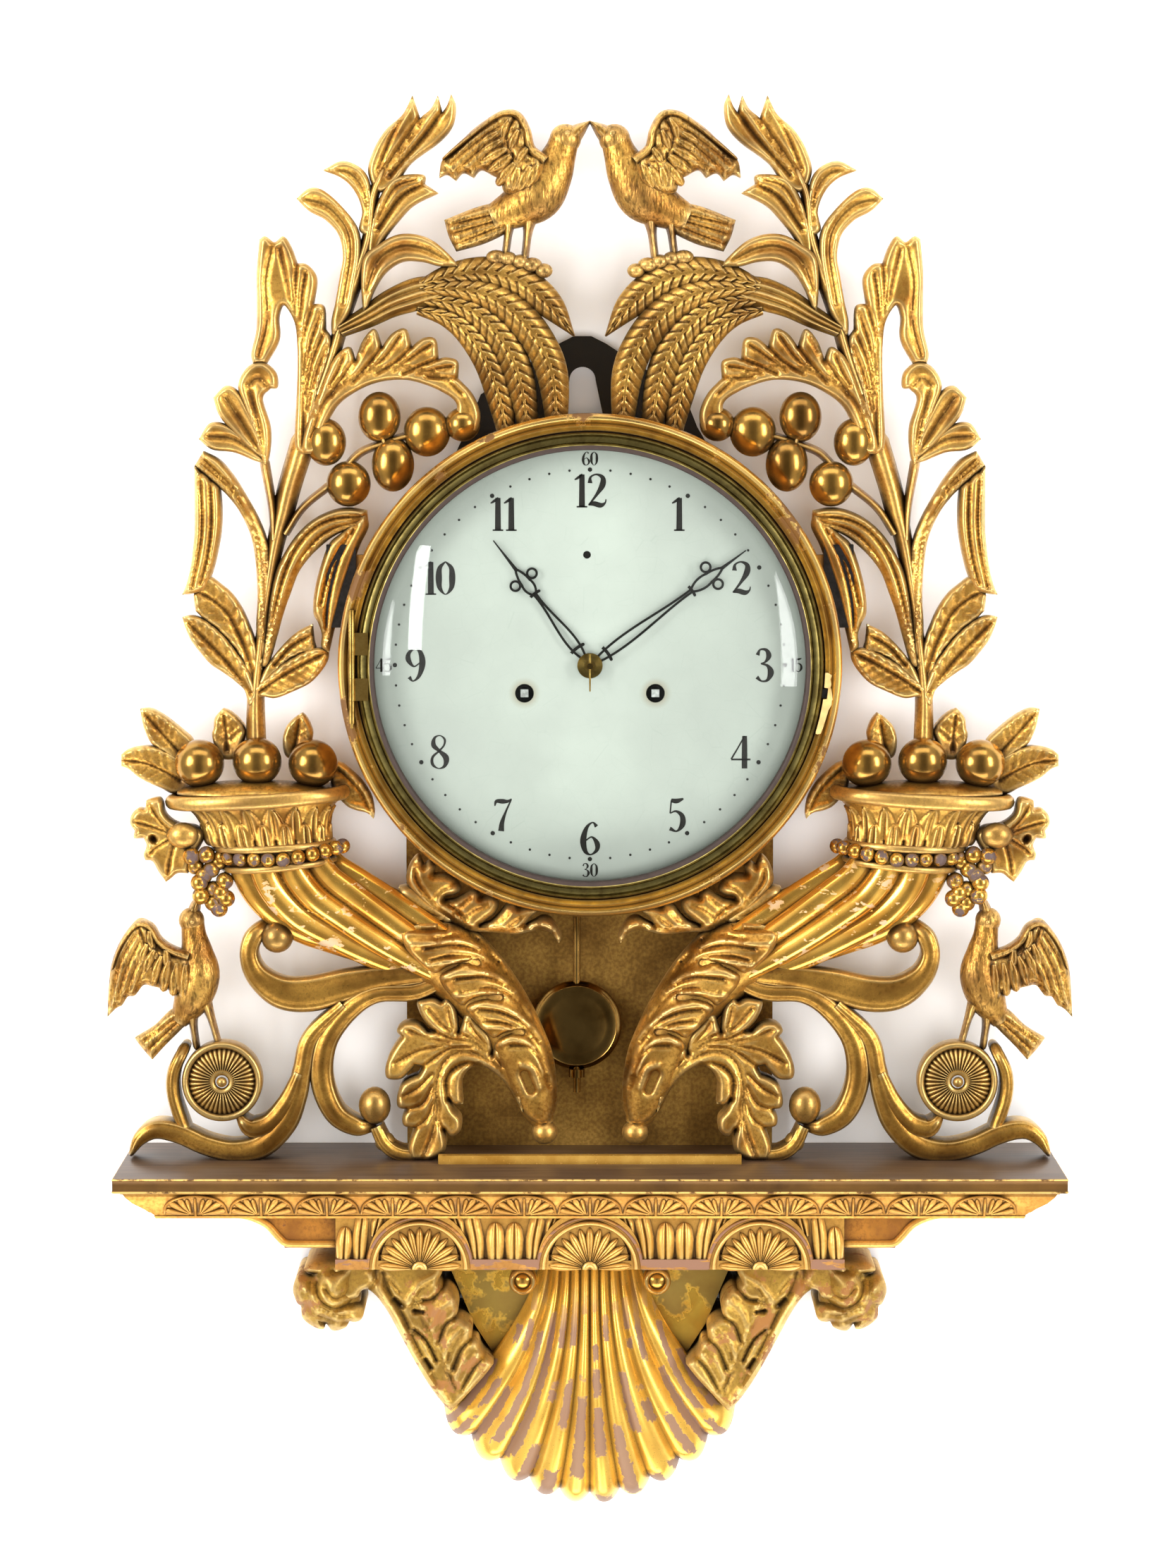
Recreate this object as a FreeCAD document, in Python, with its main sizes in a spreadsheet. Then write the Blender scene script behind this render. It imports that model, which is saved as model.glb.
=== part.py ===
import FreeCAD, Part
import math
import os
import re

import Sketcher
from FreeCAD import Matrix, Placement, Rotation, Vector

# A carved and gilded wall clock: a round dial in a drum, standing on a bracket shelf between two
# cornucopias with foliage, birds and palms, with a pendulum swinging in front of its back board.
# Millimetres. The wall is the plane y = 0, the front is towards -y, and z is up.
# The dial's axis passes through x = 0, z = 0. Depths are distances in front of the wall.

SIZES = [
    ("running_gap", 0.06, "radial play of an arbor in its hole"),
    ("touch_gap", 0.3, "room between a moving piece and its neighbour"),
    ("board_thick", 10, "back board, front to back"),
    ("board_half_width", 127, "half the width of the back board"),
    ("hanger_height", 221, "peak of the hanging board above the dial axis"),
    ("hanger_shift", -5, "sideways place of the hanging eye"),
    ("eye_height", 200, "top of the hanging eye above the dial axis"),
    ("eye_radius", 9, "radius of the hanging eye's arched top"),
    ("drum_radius", 166, "outside of the drum"),
    ("drum_wall", 10, "thickness of the drum's wall"),
    ("drum_depth", 98, "depth of the drum's front edge"),
    ("ledge_width", 10, "ledge in the drum that carries the dial"),
    ("ledge_thick", 6, "ledge, front to back"),
    ("ring_radius", 168, "outside of the gilded front ring"),
    ("ring_bore", 157, "opening of the front ring"),
    ("ring_depth", 112, "depth of the front ring's face"),
    ("bezel_radius", 156, "outside of the brass bezel"),
    ("bezel_bore", 144.5, "sight radius of the brass bezel"),
    ("bezel_depth", 113.5, "depth of the bezel's face"),
    ("rebate_width", 4, "seat of the glass behind the bezel's lip"),
    ("glass_depth", 103, "depth of the glass dome's edge"),
    ("glass_rise", 28, "rise of the glass dome"),
    ("glass_thick", 2.2, "thickness of the glass"),
    ("hinge_offset", 159, "hinge axis left of the dial axis"),
    ("hinge_length", 76, "length of the hinge"),
    ("knuckle_radius", 2.2, "outside of the hinge knuckles"),
    ("hinge_pin_radius", 1.1, "hinge pin"),
    ("dial_radius", 152, "dial plate"),
    ("dial_thick", 1.5, "dial plate, front to back"),
    ("dial_depth", 92, "depth of the dial's face"),
    ("winding_spread", 44, "winding arbors left and right of the dial axis"),
    ("winding_drop", 19, "winding arbors below the dial axis"),
    ("winding_hole", 6.3, "winding holes in the dial"),
    ("winding_square", 5.2, "side of the winding squares"),
    ("regulator_height", 74, "regulator arbor above the dial axis"),
    ("regulator_shift", -2, "regulator arbor beside the dial axis"),
    ("regulator_hole", 2.6, "regulator hole in the dial"),
    ("minute_reach", 130, "minute hand from its axis to its tip"),
    ("minute_angle", 53.5, "minute hand, degrees clockwise from twelve"),
    ("hour_reach", 106, "hour hand from its axis to its tip"),
    ("hour_angle", 322.3, "hour hand, degrees clockwise from twelve"),
    ("hand_thick", 0.9, "hands, front to back"),
    ("hour_hand_depth", 96.2, "depth of the hour hand's face"),
    ("minute_hand_depth", 99.5, "depth of the minute hand's face"),
    ("collet_radius", 8.5, "domed hand collet"),
    ("shelf_drop", 340, "shelf top below the dial axis"),
    ("shelf_half_width", 319, "half the width of the shelf"),
    ("shelf_depth", 145, "shelf, wall to front"),
    ("shelf_thick", 10, "shelf board"),
    ("moulding_height", 19, "moulding under the shelf"),
    ("moulding_inset", 5, "moulding's top edge inside the shelf's edge"),
    ("moulding_run", 23, "how far the moulding draws in to its foot"),
    ("frieze_half_width", 172, "half the width of the frieze block"),
    ("frieze_height", 39, "frieze block"),
    ("frieze_depth", 105, "frieze block, wall to front"),
    ("arch_spacing", 115, "frieze arches, centre to centre"),
    ("arch_radius", 35, "outside of a frieze arch"),
    ("arch_width", 7, "width of an arch's band"),
    ("arch_proud", 5, "how far the arches stand proud"),
    ("patera_radius", 26, "half rosettes in the arches"),
    ("base_strip", 6, "strip along the foot of the frieze"),
    ("wing_reach", 80, "side wings of the frieze, outwards"),
    ("wing_height", 27, "side wings of the frieze"),
    ("wing_depth", 95, "side wings, wall to front"),
    ("console_depth", 76, "bracket scrolls, wall to front"),
    ("console_back_depth", 40, "panel between the bracket scrolls"),
    ("shell_depth", 84, "shell's boldest point in front of the wall"),
    ("shell_flutes", 10, "ribs of the shell"),
    ("volute_radius", 25, "curled ends of the bracket scrolls"),
    ("sill_half_width", 103, "half the length of the strip in front of the trunk"),
    ("sill_height", 6, "strip in front of the trunk"),
    ("sill_depth", 88, "front of that strip"),
    ("sill_thick", 7, "that strip, front to back"),
    ("carving_datum", 335, "height of the carvings' drawing line above the shelf"),
    ("carving_depth", 62, "depth of the carvings' middle plane"),
    ("horn_flutes", 9, "twisted flutes of a horn"),
    ("horn_flatness", 0.8, "depth of a horn against its width"),
    ("basket_flatness", 0.52, "depth of a basket against its width"),
    ("fruit_radius", 16.5, "fruit in the baskets"),
    ("scroll_patera", 27, "rosettes in the lower scrolls"),
    ("cleat_thick", 12, "blocks that tie the foliage to the drum"),
    ("pendulum_shift", -9, "pendulum beside the dial axis"),
    ("pendulum_depth", 27, "depth of the pendulum"),
    ("pendulum_height", 52, "suspension above the dial axis"),
    ("pendulum_length", 305, "suspension to the middle of the bob"),
    ("bob_radius", 30.5, "pendulum bob"),
    ("bob_thick", 11, "pendulum bob, front to back"),
    ("rod_radius", 2.5, "pendulum rod"),
    ("nut_radius", 5.5, "rating nut"),
    ("stud_radius", 1.6, "suspension stud"),
    ("plate_half_width", 92, "half the width of the movement plates"),
    ("plate_rise", 84, "movement plates above the dial axis"),
    ("plate_fall", 78, "movement plates below the dial axis"),
    ("plate_thick", 2.5, "movement plates"),
    ("front_plate_depth", 80, "depth of the front plate's face"),
    ("rear_plate_depth", 40, "depth of the rear plate's inner face"),
    ("pillar_radius", 4, "pillars between the plates"),
    ("pillar_inset", 9, "pillars in from the plates' edges"),
    ("arbor_radius", 2, "wheel arbors"),
    ("pivot_radius", 1.4, "ends of the wheel arbors"),
    ("winding_arbor_radius", 4, "winding arbors"),
    ("barrel_radius", 37, "spring barrels"),
    ("barrel_length", 21, "spring barrels, front to back"),
    ("wheel_thick", 1.6, "wheels of the trains"),
    ("great_teeth", 72, "teeth of the great wheels"),
    ("centre_teeth", 96, "teeth of the centre wheel"),
    ("third_teeth", 94, "teeth of the third wheel"),
    ("escape_teeth", 36, "teeth of the escape wheel"),
    ("pinion_leaves", 10, "leaves of the pinions"),
    ("centre_module", 0.58, "tooth module of the centre wheel"),
    ("third_module", 0.5, "tooth module of the third wheel"),
    ("motion_module", 0.75, "tooth module of the cannon pinion"),
    ("cannon_teeth", 12, "teeth of the cannon pinion"),
    ("minute_teeth", 36, "teeth of the minute wheel"),
    ("hour_teeth", 40, "teeth of the hour wheel"),
    ("cannon_radius", 3, "pipe of the cannon pinion"),
    ("hour_pipe_radius", 4.6, "pipe of the hour wheel"),
    ("escape_radius", 16, "escape wheel"),
    ("escape_drop", 23, "escape arbor below the pallet arbor"),
    ("bell_radius", 34, "bell"),
    ("bell_height", 72, "bell above the dial axis"),
    ("bell_shift", 48, "bell beside the dial axis"),
    ("hammer_shift", 84, "hammer arbor beside the dial axis"),
    ("hammer_height", 30, "hammer arbor above the dial axis"),
    ("catch_drop", 21, "door catch below the dial axis"),
    ("catch_size", 6, "door catch, top to bottom"),
    ("dial_bore", 6, "middle hole of the dial"),
    ("foot_spread", 70, "dial feet left and right of the dial axis"),
    ("foot_rise", 50, "dial feet above the dial axis"),
    ("foot_fall", 62, "dial feet below the dial axis"),
    ("foot_radius", 2.5, "dial feet"),
    ("hand_wire", 1.6, "width of the hands' thin bars"),
    ("pin_wheel_radius", 12, "pin wheel of the strike train"),
    ("ratchet_radius", 10, "winding ratchets"),
]

doc = FreeCAD.newDocument("cartel_clock")
sheet = doc.addObject("Spreadsheet::Sheet", "Sizes")
for row, (alias, value, note) in enumerate(SIZES, start=1):
    sheet.set(f"A{row}", note)
    sheet.set(f"B{row}", str(value))
    sheet.setAlias(f"B{row}", alias)
doc.recompute()

ALIASES = {alias for alias, value, note in SIZES}
FORWARD = Rotation(Vector(1, 0, 0), 90)


def size(alias):
    return float(sheet.get(alias))


def cells(formula):
    """The formula with each size's name turned into a reference to its cell."""
    return re.sub(r"[a-z_]+", lambda m: "Sizes." + m[0] if m[0] in ALIASES else m[0], str(formula))


NODES = []


def node(piece, name):
    """Names a finished sub-part."""
    piece.Label = name
    NODES.append(piece)
    return piece


def bound(kind, name, place, turn=None, **sizes):
    """A primitive whose sizes and place are formulas of the sheet's cells."""
    piece = doc.addObject("Part::" + kind, name)
    for prop, formula in sizes.items():
        piece.setExpression(prop, cells(formula))
    piece.Placement = Placement(Vector(), turn or Rotation())
    for axis, formula in zip("xyz", place):
        piece.setExpression("Placement.Base." + axis, cells(formula))
    return piece


def rod(name, radius, back, front, x="0", z="0"):
    """A round bar along the depth, from one depth to a larger one."""
    place = (x, f"-({back})", z)
    return bound("Cylinder", name, place, FORWARD, Radius=radius, Height=f"({front}) - ({back})")


def block(name, low_x, high_x, back, front, low_z, high_z):
    """A box between two depths."""
    return bound(
        "Box", name, (low_x, f"-({front})", low_z),
        Length=f"({high_x}) - ({low_x})", Width=f"({front}) - ({back})", Height=f"({high_z}) - ({low_z})",
    )


def joined(name, *pieces):
    whole = doc.addObject("Part::MultiFuse", name)
    whole.Shapes = list(pieces)
    return whole


def cut(name, base, *tools):
    """The base less each of the tools."""
    for number, tool in enumerate(tools):
        less = doc.addObject("Part::Cut", f"{name}_cut_{number}")
        less.Base = base
        less.Tool = tool
        base = less
    return base


def turned(name, profile):
    """A body turned about the dial axis from a profile of radius and depth formulas."""
    body = doc.addObject("PartDesign::Body", name)
    body.Placement = Placement(Vector(), Rotation(Vector(1, 0, 0), 180))
    plane = next(f for f in body.Origin.OriginFeatures if f.Role == "XY_Plane")
    sketch = body.newObject("Sketcher::SketchObject", name + "_profile")
    sketch.AttachmentSupport = [(plane, "")]
    sketch.MapMode = "FlatFace"
    values = [(sheet_value(r), sheet_value(d)) for r, d in profile]
    count = len(profile)
    for i in range(count):
        here = Vector(*values[i], 0)
        there = Vector(*values[(i + 1) % count], 0)
        sketch.addGeometry(Part.LineSegment(here, there), False)
    for i in range(count):
        sketch.addConstraint(Sketcher.Constraint("Coincident", i, 2, (i + 1) % count, 1))
    for i, (radius, depth) in enumerate(profile):
        if radius == "0":
            sketch.addConstraint(Sketcher.Constraint("PointOnObject", i, 1, -2))
        else:
            across = sketch.addConstraint(Sketcher.Constraint("DistanceX", -1, 1, i, 1, values[i][0]))
            sketch.setExpression(f"Constraints[{across}]", cells(radius))
        along = sketch.addConstraint(Sketcher.Constraint("DistanceY", -1, 1, i, 1, values[i][1]))
        sketch.setExpression(f"Constraints[{along}]", cells(depth))
    turn = body.newObject("PartDesign::Revolution", name + "_turn")
    turn.Profile = sketch
    turn.ReferenceAxis = (sketch, ["V_Axis"])
    turn.Angle = 360
    return body


def sheet_value(formula):
    """What a formula of the sheet's cells comes to."""
    sheet.set("D1", "=" + re.sub(r"Sizes\.", "", cells(formula)))
    sheet.recompute()
    return float(sheet.get("D1"))


def feature(name, shape):
    piece = doc.addObject("Part::Feature", name)
    piece.Shape = shape
    return piece


def carving_height(z):
    """Height in the clock's frame of a height drawn from the carvings' datum line."""
    return z + size("carving_datum") - size("shelf_drop")


def ribbon(points):
    """The outline of a leaf or stem in the carving plane, through (x, height, width) along its midrib."""
    middle = Part.BSplineCurve()
    middle.interpolate([Vector(x, 0, z) for x, z, width in points])
    left, right, ends = [], [], []
    for x, z, width in points:
        here = Vector(x, 0, z)
        along = middle.tangent(middle.parameter(here))[0]
        aside = Vector(-along.z, 0, along.x) * (width / 2)
        left.append(here + aside)
        right.append(here - aside)
        ends.append(here + along * (width / 2))
    edges = [curve_through(left), Part.Arc(left[-1], ends[-1], right[-1]).toShape()]
    edges += [curve_through(right[::-1]), Part.LineSegment(right[0], left[0]).toShape()]
    return Part.Face(Part.Wire(edges))


def curve_through(points, closed=False):
    curve = Part.BSplineCurve()
    curve.interpolate(points, PeriodicFlag=closed)
    return curve.toShape()


def carved(strokes, back, front):
    """Leaves and stems drawn as ribbons, run together and cut to one thickness between two depths."""
    depth = Vector(0, -(front - back), 0)
    slabs = [ribbon(points).extrude(depth) for points in strokes]
    whole = slabs[0].multiFuse(slabs[1:]) if len(slabs) > 1 else slabs[0]
    whole = whole.removeSplitter()
    whole.translate(Vector(0, -back, carving_height(0)))
    return whole


def ball(x, z, across, up=None, depth=None, deep=None):
    """An egg: half-sizes across and up the carving plane, with deep along the depth."""
    up = up or across
    deep = deep or min(across, up)
    shape = Part.makeSphere(1)
    stretch = Matrix()
    stretch.scale(Vector(across, deep, up))
    shape = shape.transformGeometry(stretch) if (across, deep) != (up, up) else Part.makeSphere(up)
    shape.translate(Vector(x, -(depth or size("carving_depth")), carving_height(z)))
    return shape


def section(centre, along, points):
    """A closed curve of (aside, depth) points, set square across a line in the carving plane."""
    aside = Vector(-along.z, 0, along.x)
    return Part.Wire(curve_through([centre + aside * a + Vector(0, d, 0) for a, d in points], closed=True))


def limb(path, flatness=1.0, flutes=0, flute_depth=0.0, twist=0.0):
    """A rounded limb lofted through (x, height, radius) points, with fluting that can twist along it."""
    middle = Part.BSplineCurve()
    middle.interpolate([Vector(x, 0, z) for x, z, radius in path])
    steps = 4 * flutes if flutes else 12
    depth = size("carving_depth")
    wires = []
    for number, (x, z, radius) in enumerate(path):
        along = middle.tangent(middle.parameter(Vector(x, 0, z)))[0]
        fade = 1 - number / (len(path) - 1)
        points = []
        for step in range(steps):
            angle = 2 * math.pi * step / steps
            swell = 1 + flute_depth * fade * math.cos(flutes * angle) if flutes else 1
            turn = angle + twist * number
            points.append((radius * swell * math.cos(turn), radius * swell * flatness * math.sin(turn)))
        wires.append(section(Vector(x, -depth, carving_height(z)), along, points))
    return Part.makeLoft(wires, True)


def stack(levels, flatness):
    """An oval vessel lofted through (centre x, height, half width) levels."""
    wires = []
    for x, z, half in levels:
        centre = Vector(x, -size("carving_depth"), carving_height(z))
        oval = Part.Ellipse(Vector(), half, half * flatness).toShape()
        oval.translate(centre)
        wires.append(Part.Wire(oval))
    return Part.makeLoft(wires, True)


def fused(shapes):
    return shapes[0].multiFuse(shapes[1:]).removeSplitter()


def pair(name, shape):
    """A left-hand carving and its mirror image on the right, as two sub-parts."""
    left = node(feature("left_" + name, shape), "left_" + name)
    right = node(feature("right_" + name, mirrored(shape)), "right_" + name)
    return left, right


def mirrored(shape):
    return shape.mirror(Vector(), Vector(1, 0, 0))


def prism(points, back, front):
    """A straight-sided plate of (x, z) corners in the clock's frame, between two depths."""
    wire = Part.makePolygon([Vector(x, -back, z) for x, z in points + points[:1]])
    return Part.Face(wire).extrude(Vector(0, back - front, 0))


# Case: the back board with its hanging eye, the drum and the front ring

def back_board():
    half = size("board_half_width")
    middle = size("hanger_shift")
    peak = size("hanger_height")
    shoulder = 0.72 * peak
    outline = [
        (-half, -size("shelf_drop")), (half, -size("shelf_drop")), (half, 0.3 * peak),
        (0.62 * half + middle, shoulder), (0.55 * half + middle, 0.82 * peak), (16 + middle, peak - 5),
        (6 + middle, peak), (-6 + middle, peak), (-16 + middle, peak - 5),
        (-0.55 * half + middle, 0.82 * peak), (-0.62 * half + middle, shoulder), (-half, 0.3 * peak),
    ]
    thick = size("board_thick")
    board = prism(outline, 0, thick)
    radius = size("eye_radius")
    top = size("eye_height") - radius
    foot = size("drum_radius") - 2 * radius
    eye = prism([(middle - radius, top), (middle + radius, top), (middle + 2 * radius, foot),
                 (middle - 2 * radius, foot)], -thick, 2 * thick)
    arch = Part.makeCylinder(radius, 3 * thick, Vector(middle, thick, top), Vector(0, -1, 0))
    return board.cut(eye).cut(arch)


node(feature("board", back_board()), "back_board")

drum = turned("drum_shell", [
    ("drum_radius - drum_wall", "board_thick"),
    ("drum_radius", "board_thick"),
    ("drum_radius", "drum_depth"),
    ("drum_radius - drum_wall", "drum_depth"),
    ("drum_radius - drum_wall", "dial_depth - dial_thick"),
    ("drum_radius - drum_wall - ledge_width", "dial_depth - dial_thick"),
    ("drum_radius - drum_wall - ledge_width", "dial_depth - dial_thick - ledge_thick"),
    ("drum_radius - drum_wall", "dial_depth - dial_thick - ledge_thick"),
])
slot_half = "bob_radius"
rod_slot = block(
    "rod_slot", f"pendulum_shift - {slot_half}", f"pendulum_shift + {slot_half}",
    "board_thick", "2 * pendulum_depth - board_thick", "-drum_radius - drum_wall", "0",
)


CLEAT_FOOT, CLEAT_TOP = 32, 78
CLEAT_LEFT, CLEAT_WIDTH = -172, 20


def cleat(side):
    """A block from the drum to the reed beside it."""
    low, high = carving_height(CLEAT_FOOT), carving_height(CLEAT_TOP)
    thick = size("cleat_thick")
    corner = Vector(CLEAT_LEFT, -size("carving_depth") - thick / 2, low)
    shape = Part.makeBox(CLEAT_WIDTH, thick, high - low, corner)
    core_radius = size("drum_radius") - size("drum_wall") / 2
    core = Part.makeCylinder(core_radius, size("ring_depth"), Vector(), Vector(0, -1, 0))
    shape = shape.cut(core)
    return shape if side < 0 else mirrored(shape)


cleats = [feature(f"cleat_{number}", cleat(side)) for number, side in enumerate((-1, 1))]
node(cut("drum", joined("drum_and_cleats", drum, *cleats), rod_slot), "drum")

front_ring = turned("ring_shell", [
    ("ring_bore", "drum_depth"),
    ("ring_radius", "drum_depth"),
    ("ring_radius", "ring_depth - 8"),
    ("ring_radius - 1.5", "ring_depth - 3.5"),
    ("ring_radius - 5", "ring_depth"),
    ("ring_bore + 3", "ring_depth - 1.5"),
    ("ring_bore + 2", "ring_depth - 3"),
    ("ring_bore", "ring_depth - 2"),
])
hinge_recess = block(
    "hinge_recess", "-hinge_offset - knuckle_radius - touch_gap", "-hinge_offset + 12",
    "ring_depth - 2 * knuckle_radius - touch_gap", "ring_depth + 10", "-hinge_length / 2 - 4",
    "hinge_length / 2 + touch_gap",
)
catch_notch = block(
    "catch_notch", "0", "ring_bore + 6", "ring_depth - 9", "ring_depth + 10",
    "-catch_drop - touch_gap", "-catch_drop + catch_size + touch_gap",
)
node(cut("ring", front_ring, hinge_recess, catch_notch), "front_ring")

# Shelf, moulding and frieze

node(block("shelf", "-shelf_half_width", "shelf_half_width", "0", "shelf_depth", "-shelf_drop - shelf_thick",
           "-shelf_drop"), "shelf_board")


# Shares of the moulding's height and of its run, from its top edge to its foot
CYMA = [(0, 0), (0.16, 0.04), (0.4, 0.3), (0.62, 0.72), (0.84, 0.94), (1, 1)]


def shelf_moulding():
    """A cyma moulding that draws in on three sides and is flush with the wall."""
    top = -size("shelf_drop") - size("shelf_thick")
    wires = []
    for fall, draw in CYMA:
        inset = size("moulding_inset") + size("moulding_run") * draw
        half = size("shelf_half_width") - inset
        front = size("shelf_depth") - inset
        z = top - size("moulding_height") * fall
        corners = [Vector(-half, 0, z), Vector(half, 0, z), Vector(half, -front, z), Vector(-half, -front, z)]
        wires.append(Part.makePolygon(corners + corners[:1]))
    return Part.makeLoft(wires, True, True)


node(feature("moulding", shelf_moulding()), "shelf_moulding")

FRIEZE_TOP = "-shelf_drop - shelf_thick - moulding_height"
FRIEZE_FOOT = f"{FRIEZE_TOP} - frieze_height"
frieze_block = block("frieze_block", "-frieze_half_width", "frieze_half_width", "0", "frieze_depth",
                     FRIEZE_FOOT, FRIEZE_TOP)
frieze_strip = block("frieze_strip", "-frieze_half_width", "frieze_half_width", "frieze_depth",
                     "frieze_depth + arch_proud", FRIEZE_FOOT, f"{FRIEZE_FOOT} + base_strip")
arches = []
for place in (-1, 0, 1):
    x = f"{place} * arch_spacing"
    z = f"{FRIEZE_FOOT} + base_strip"
    label = f"arch_{place + 1}"
    front = "frieze_depth + arch_proud"
    outer = rod(label + "_outer", "arch_radius", "frieze_depth", front, x, z)
    inner = rod(label + "_inner", "arch_radius - arch_width", "frieze_depth - 1", front + " + 1", x, z)
    rosette = rod(label + "_rosette", "patera_radius", "frieze_depth", front + " - 1", x, z)
    arches += [cut(label, outer, inner), rosette]
below = block("below_arches", "-frieze_half_width", "frieze_half_width", "0",
              "frieze_depth + 2 * arch_proud", f"{FRIEZE_FOOT} - 2 * arch_radius",
              f"{FRIEZE_FOOT} + base_strip")
above = block("above_arches", "-frieze_half_width", "frieze_half_width", "frieze_depth",
              "frieze_depth + 2 * arch_proud", FRIEZE_TOP, f"{FRIEZE_TOP} + arch_radius")
arch_band = cut("arch_band", joined("arch_group", *arches), below, above)
node(joined("frieze", frieze_block, frieze_strip, arch_band), "frieze")


def frieze_wing():
    """A side wing of the frieze: a hollow curve from its tongue down to the block."""
    inner = -size("frieze_half_width")
    reach = size("wing_reach")
    top = sheet_value(FRIEZE_TOP)
    fall = size("wing_height")
    tip = Vector(inner - reach, 0, top)
    lip = Vector(inner - reach, 0, top - 0.2 * fall)
    hollow = Vector(inner - 0.55 * reach, 0, top - 0.38 * fall)
    foot = Vector(inner - 0.44 * reach, 0, top - fall)
    edges = [
        Part.LineSegment(Vector(inner, 0, top), tip).toShape(),
        Part.LineSegment(tip, lip).toShape(),
        Part.Arc(lip, hollow, foot).toShape(),
        Part.LineSegment(foot, Vector(inner, 0, top - fall)).toShape(),
        Part.LineSegment(Vector(inner, 0, top - fall), Vector(inner, 0, top)).toShape(),
    ]
    return Part.Face(Part.Wire(edges)).extrude(Vector(0, -size("wing_depth"), 0))


wing = frieze_wing()
node(feature("wings", Part.makeCompound([wing, mirrored(wing)])), "frieze_wings")

# Bracket below: scrolls, panel and shell

CONSOLE_TOP = sheet_value(FRIEZE_FOOT)


def below_frieze(shape):
    """Keeps what lies under the frieze."""
    big = 2 * size("shelf_half_width")
    lid = Part.makeBox(big, big, big, Vector(-big / 2, -big / 2, CONSOLE_TOP))
    return shape.cut(lid)


SHELL_EDGE = [(33, -400), (34, -418), (38, -428), (48, -449), (66, -475), (83, -497), (93, -508)]
SHELL_LOBES = [((93, -508), (90, -519), (79, -521)), ((79, -521), (75.6, -537), (61, -545)),
               ((61, -545), (54, -556.5), (41, -555)), ((41, -555), (33, -565.5), (20, -563)),
               ((20, -563), (10.5, -571), (0, -565))]


def shell_outline():
    """Front view of the shell: hollow sides and a lobe at the end of each rib."""
    def at(x, z):
        return Vector(x, 0, carving_height(z))
    edges = []
    for side in (1, -1):
        edges.append(curve_through([at(side * x, z) for x, z in SHELL_EDGE]))
        for ends in SHELL_LOBES:
            edges.append(Part.Arc(*[at(side * x, z) for x, z in ends]).toShape())
    x, z = SHELL_EDGE[0]
    edges.append(Part.LineSegment(at(-x, z), at(x, z)).toShape())
    return Part.Face(Part.Wire(Part.__sortEdges__(edges)))


# Height, half width and share of the boldest depth at each level of the shell
SHELL_LEVELS = [(-395, 30, 0.55), (-430, 44, 0.78), (-470, 74, 0.95), (-510, 104, 1.0), (-550, 128, 0.9),
                (-580, 146, 0.74)]
SHELL_RIPPLE = 0.03
SHELL_SPAN = math.pi / 2.3


def shell():
    """A fluted fan, bulging forward, trimmed to its front outline."""
    flutes = int(size("shell_flutes"))
    bold = size("shell_depth")
    wires = []
    for z, half, share in SHELL_LEVELS:
        points = []
        for step in range(4 * flutes + 1):
            spot = -1 + step / (2 * flutes)
            ripple = -SHELL_RIPPLE * bold * math.cos(math.pi * step / 2)
            depth = share * bold * (0.5 + 0.5 * math.cos(spot * SHELL_SPAN)) + ripple
            points.append(Vector(spot * half, -depth, carving_height(z)))
        front = curve_through(points)
        left = Vector(points[0].x, 0, points[0].z)
        right = Vector(points[-1].x, 0, points[-1].z)
        rear = [Part.LineSegment(points[-1], right).toShape(), Part.LineSegment(right, left).toShape(),
                Part.LineSegment(left, points[0]).toShape()]
        wires.append(Part.Wire([front] + rear))
    fan = Part.makeLoft(wires, True)
    outline = shell_outline().extrude(Vector(0, -2 * bold, 0))
    return below_frieze(fan.common(outline))


SHELL = shell()
node(feature("shell_fan", SHELL), "shell")

CONSOLE_LEG = [(-126, -398, 52), (-121, -428, 44), (-110, -455, 36), (-99, -480, 26), (-88, -503, 12)]
CONSOLE_TOP_BAR = [(-110, -405, 16), (-150, -406, 18), (-185, -406, 14)]
CONSOLE_PANEL = [(-104, -398), (104, -398), (80, -455), (64, -480), (-64, -480), (-80, -455)]
VOLUTE_MIDDLE = (-178, -425)


def console_scroll():
    """A bracket leg that curls outwards at its top into a volute."""
    front = size("console_depth")
    leg = carved([CONSOLE_LEG, CONSOLE_TOP_BAR], 0, front)
    x, z = VOLUTE_MIDDLE
    middle = Vector(x, 0, carving_height(z))
    volute = Part.makeCylinder(size("volute_radius"), front, middle, Vector(0, -1, 0))
    return below_frieze(fused([leg, volute])).cut(SHELL)


CONSOLE = console_scroll()
node(feature("consoles", Part.makeCompound([CONSOLE, mirrored(CONSOLE)])), "console_scrolls")

panel = prism([(x, carving_height(z)) for x, z in CONSOLE_PANEL], 0, size("console_back_depth"))
panel = below_frieze(panel).cut(SHELL).cut(CONSOLE).cut(mirrored(CONSOLE))
node(feature("panel", panel), "console_back")

node(block("sill", "-sill_half_width", "sill_half_width", "sill_depth - sill_thick", "sill_depth",
           "-shelf_drop", "-shelf_drop + sill_height"), "trunk_sill")

# Carvings of the left side, each drawn as (x, height, width) along its midribs

DRUM_ROOM = Part.makeCylinder(size("drum_radius"), size("drum_depth"), Vector(), Vector(0, -1, 0))
UNDER_SHELF = 5 * size("shelf_thick")
SHELF_ROOM = Part.makeBox(
    2 * size("shelf_half_width"), size("shelf_depth"), UNDER_SHELF,
    Vector(-size("shelf_half_width"), -size("shelf_depth"), -size("shelf_drop") - UNDER_SHELF),
)

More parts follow.
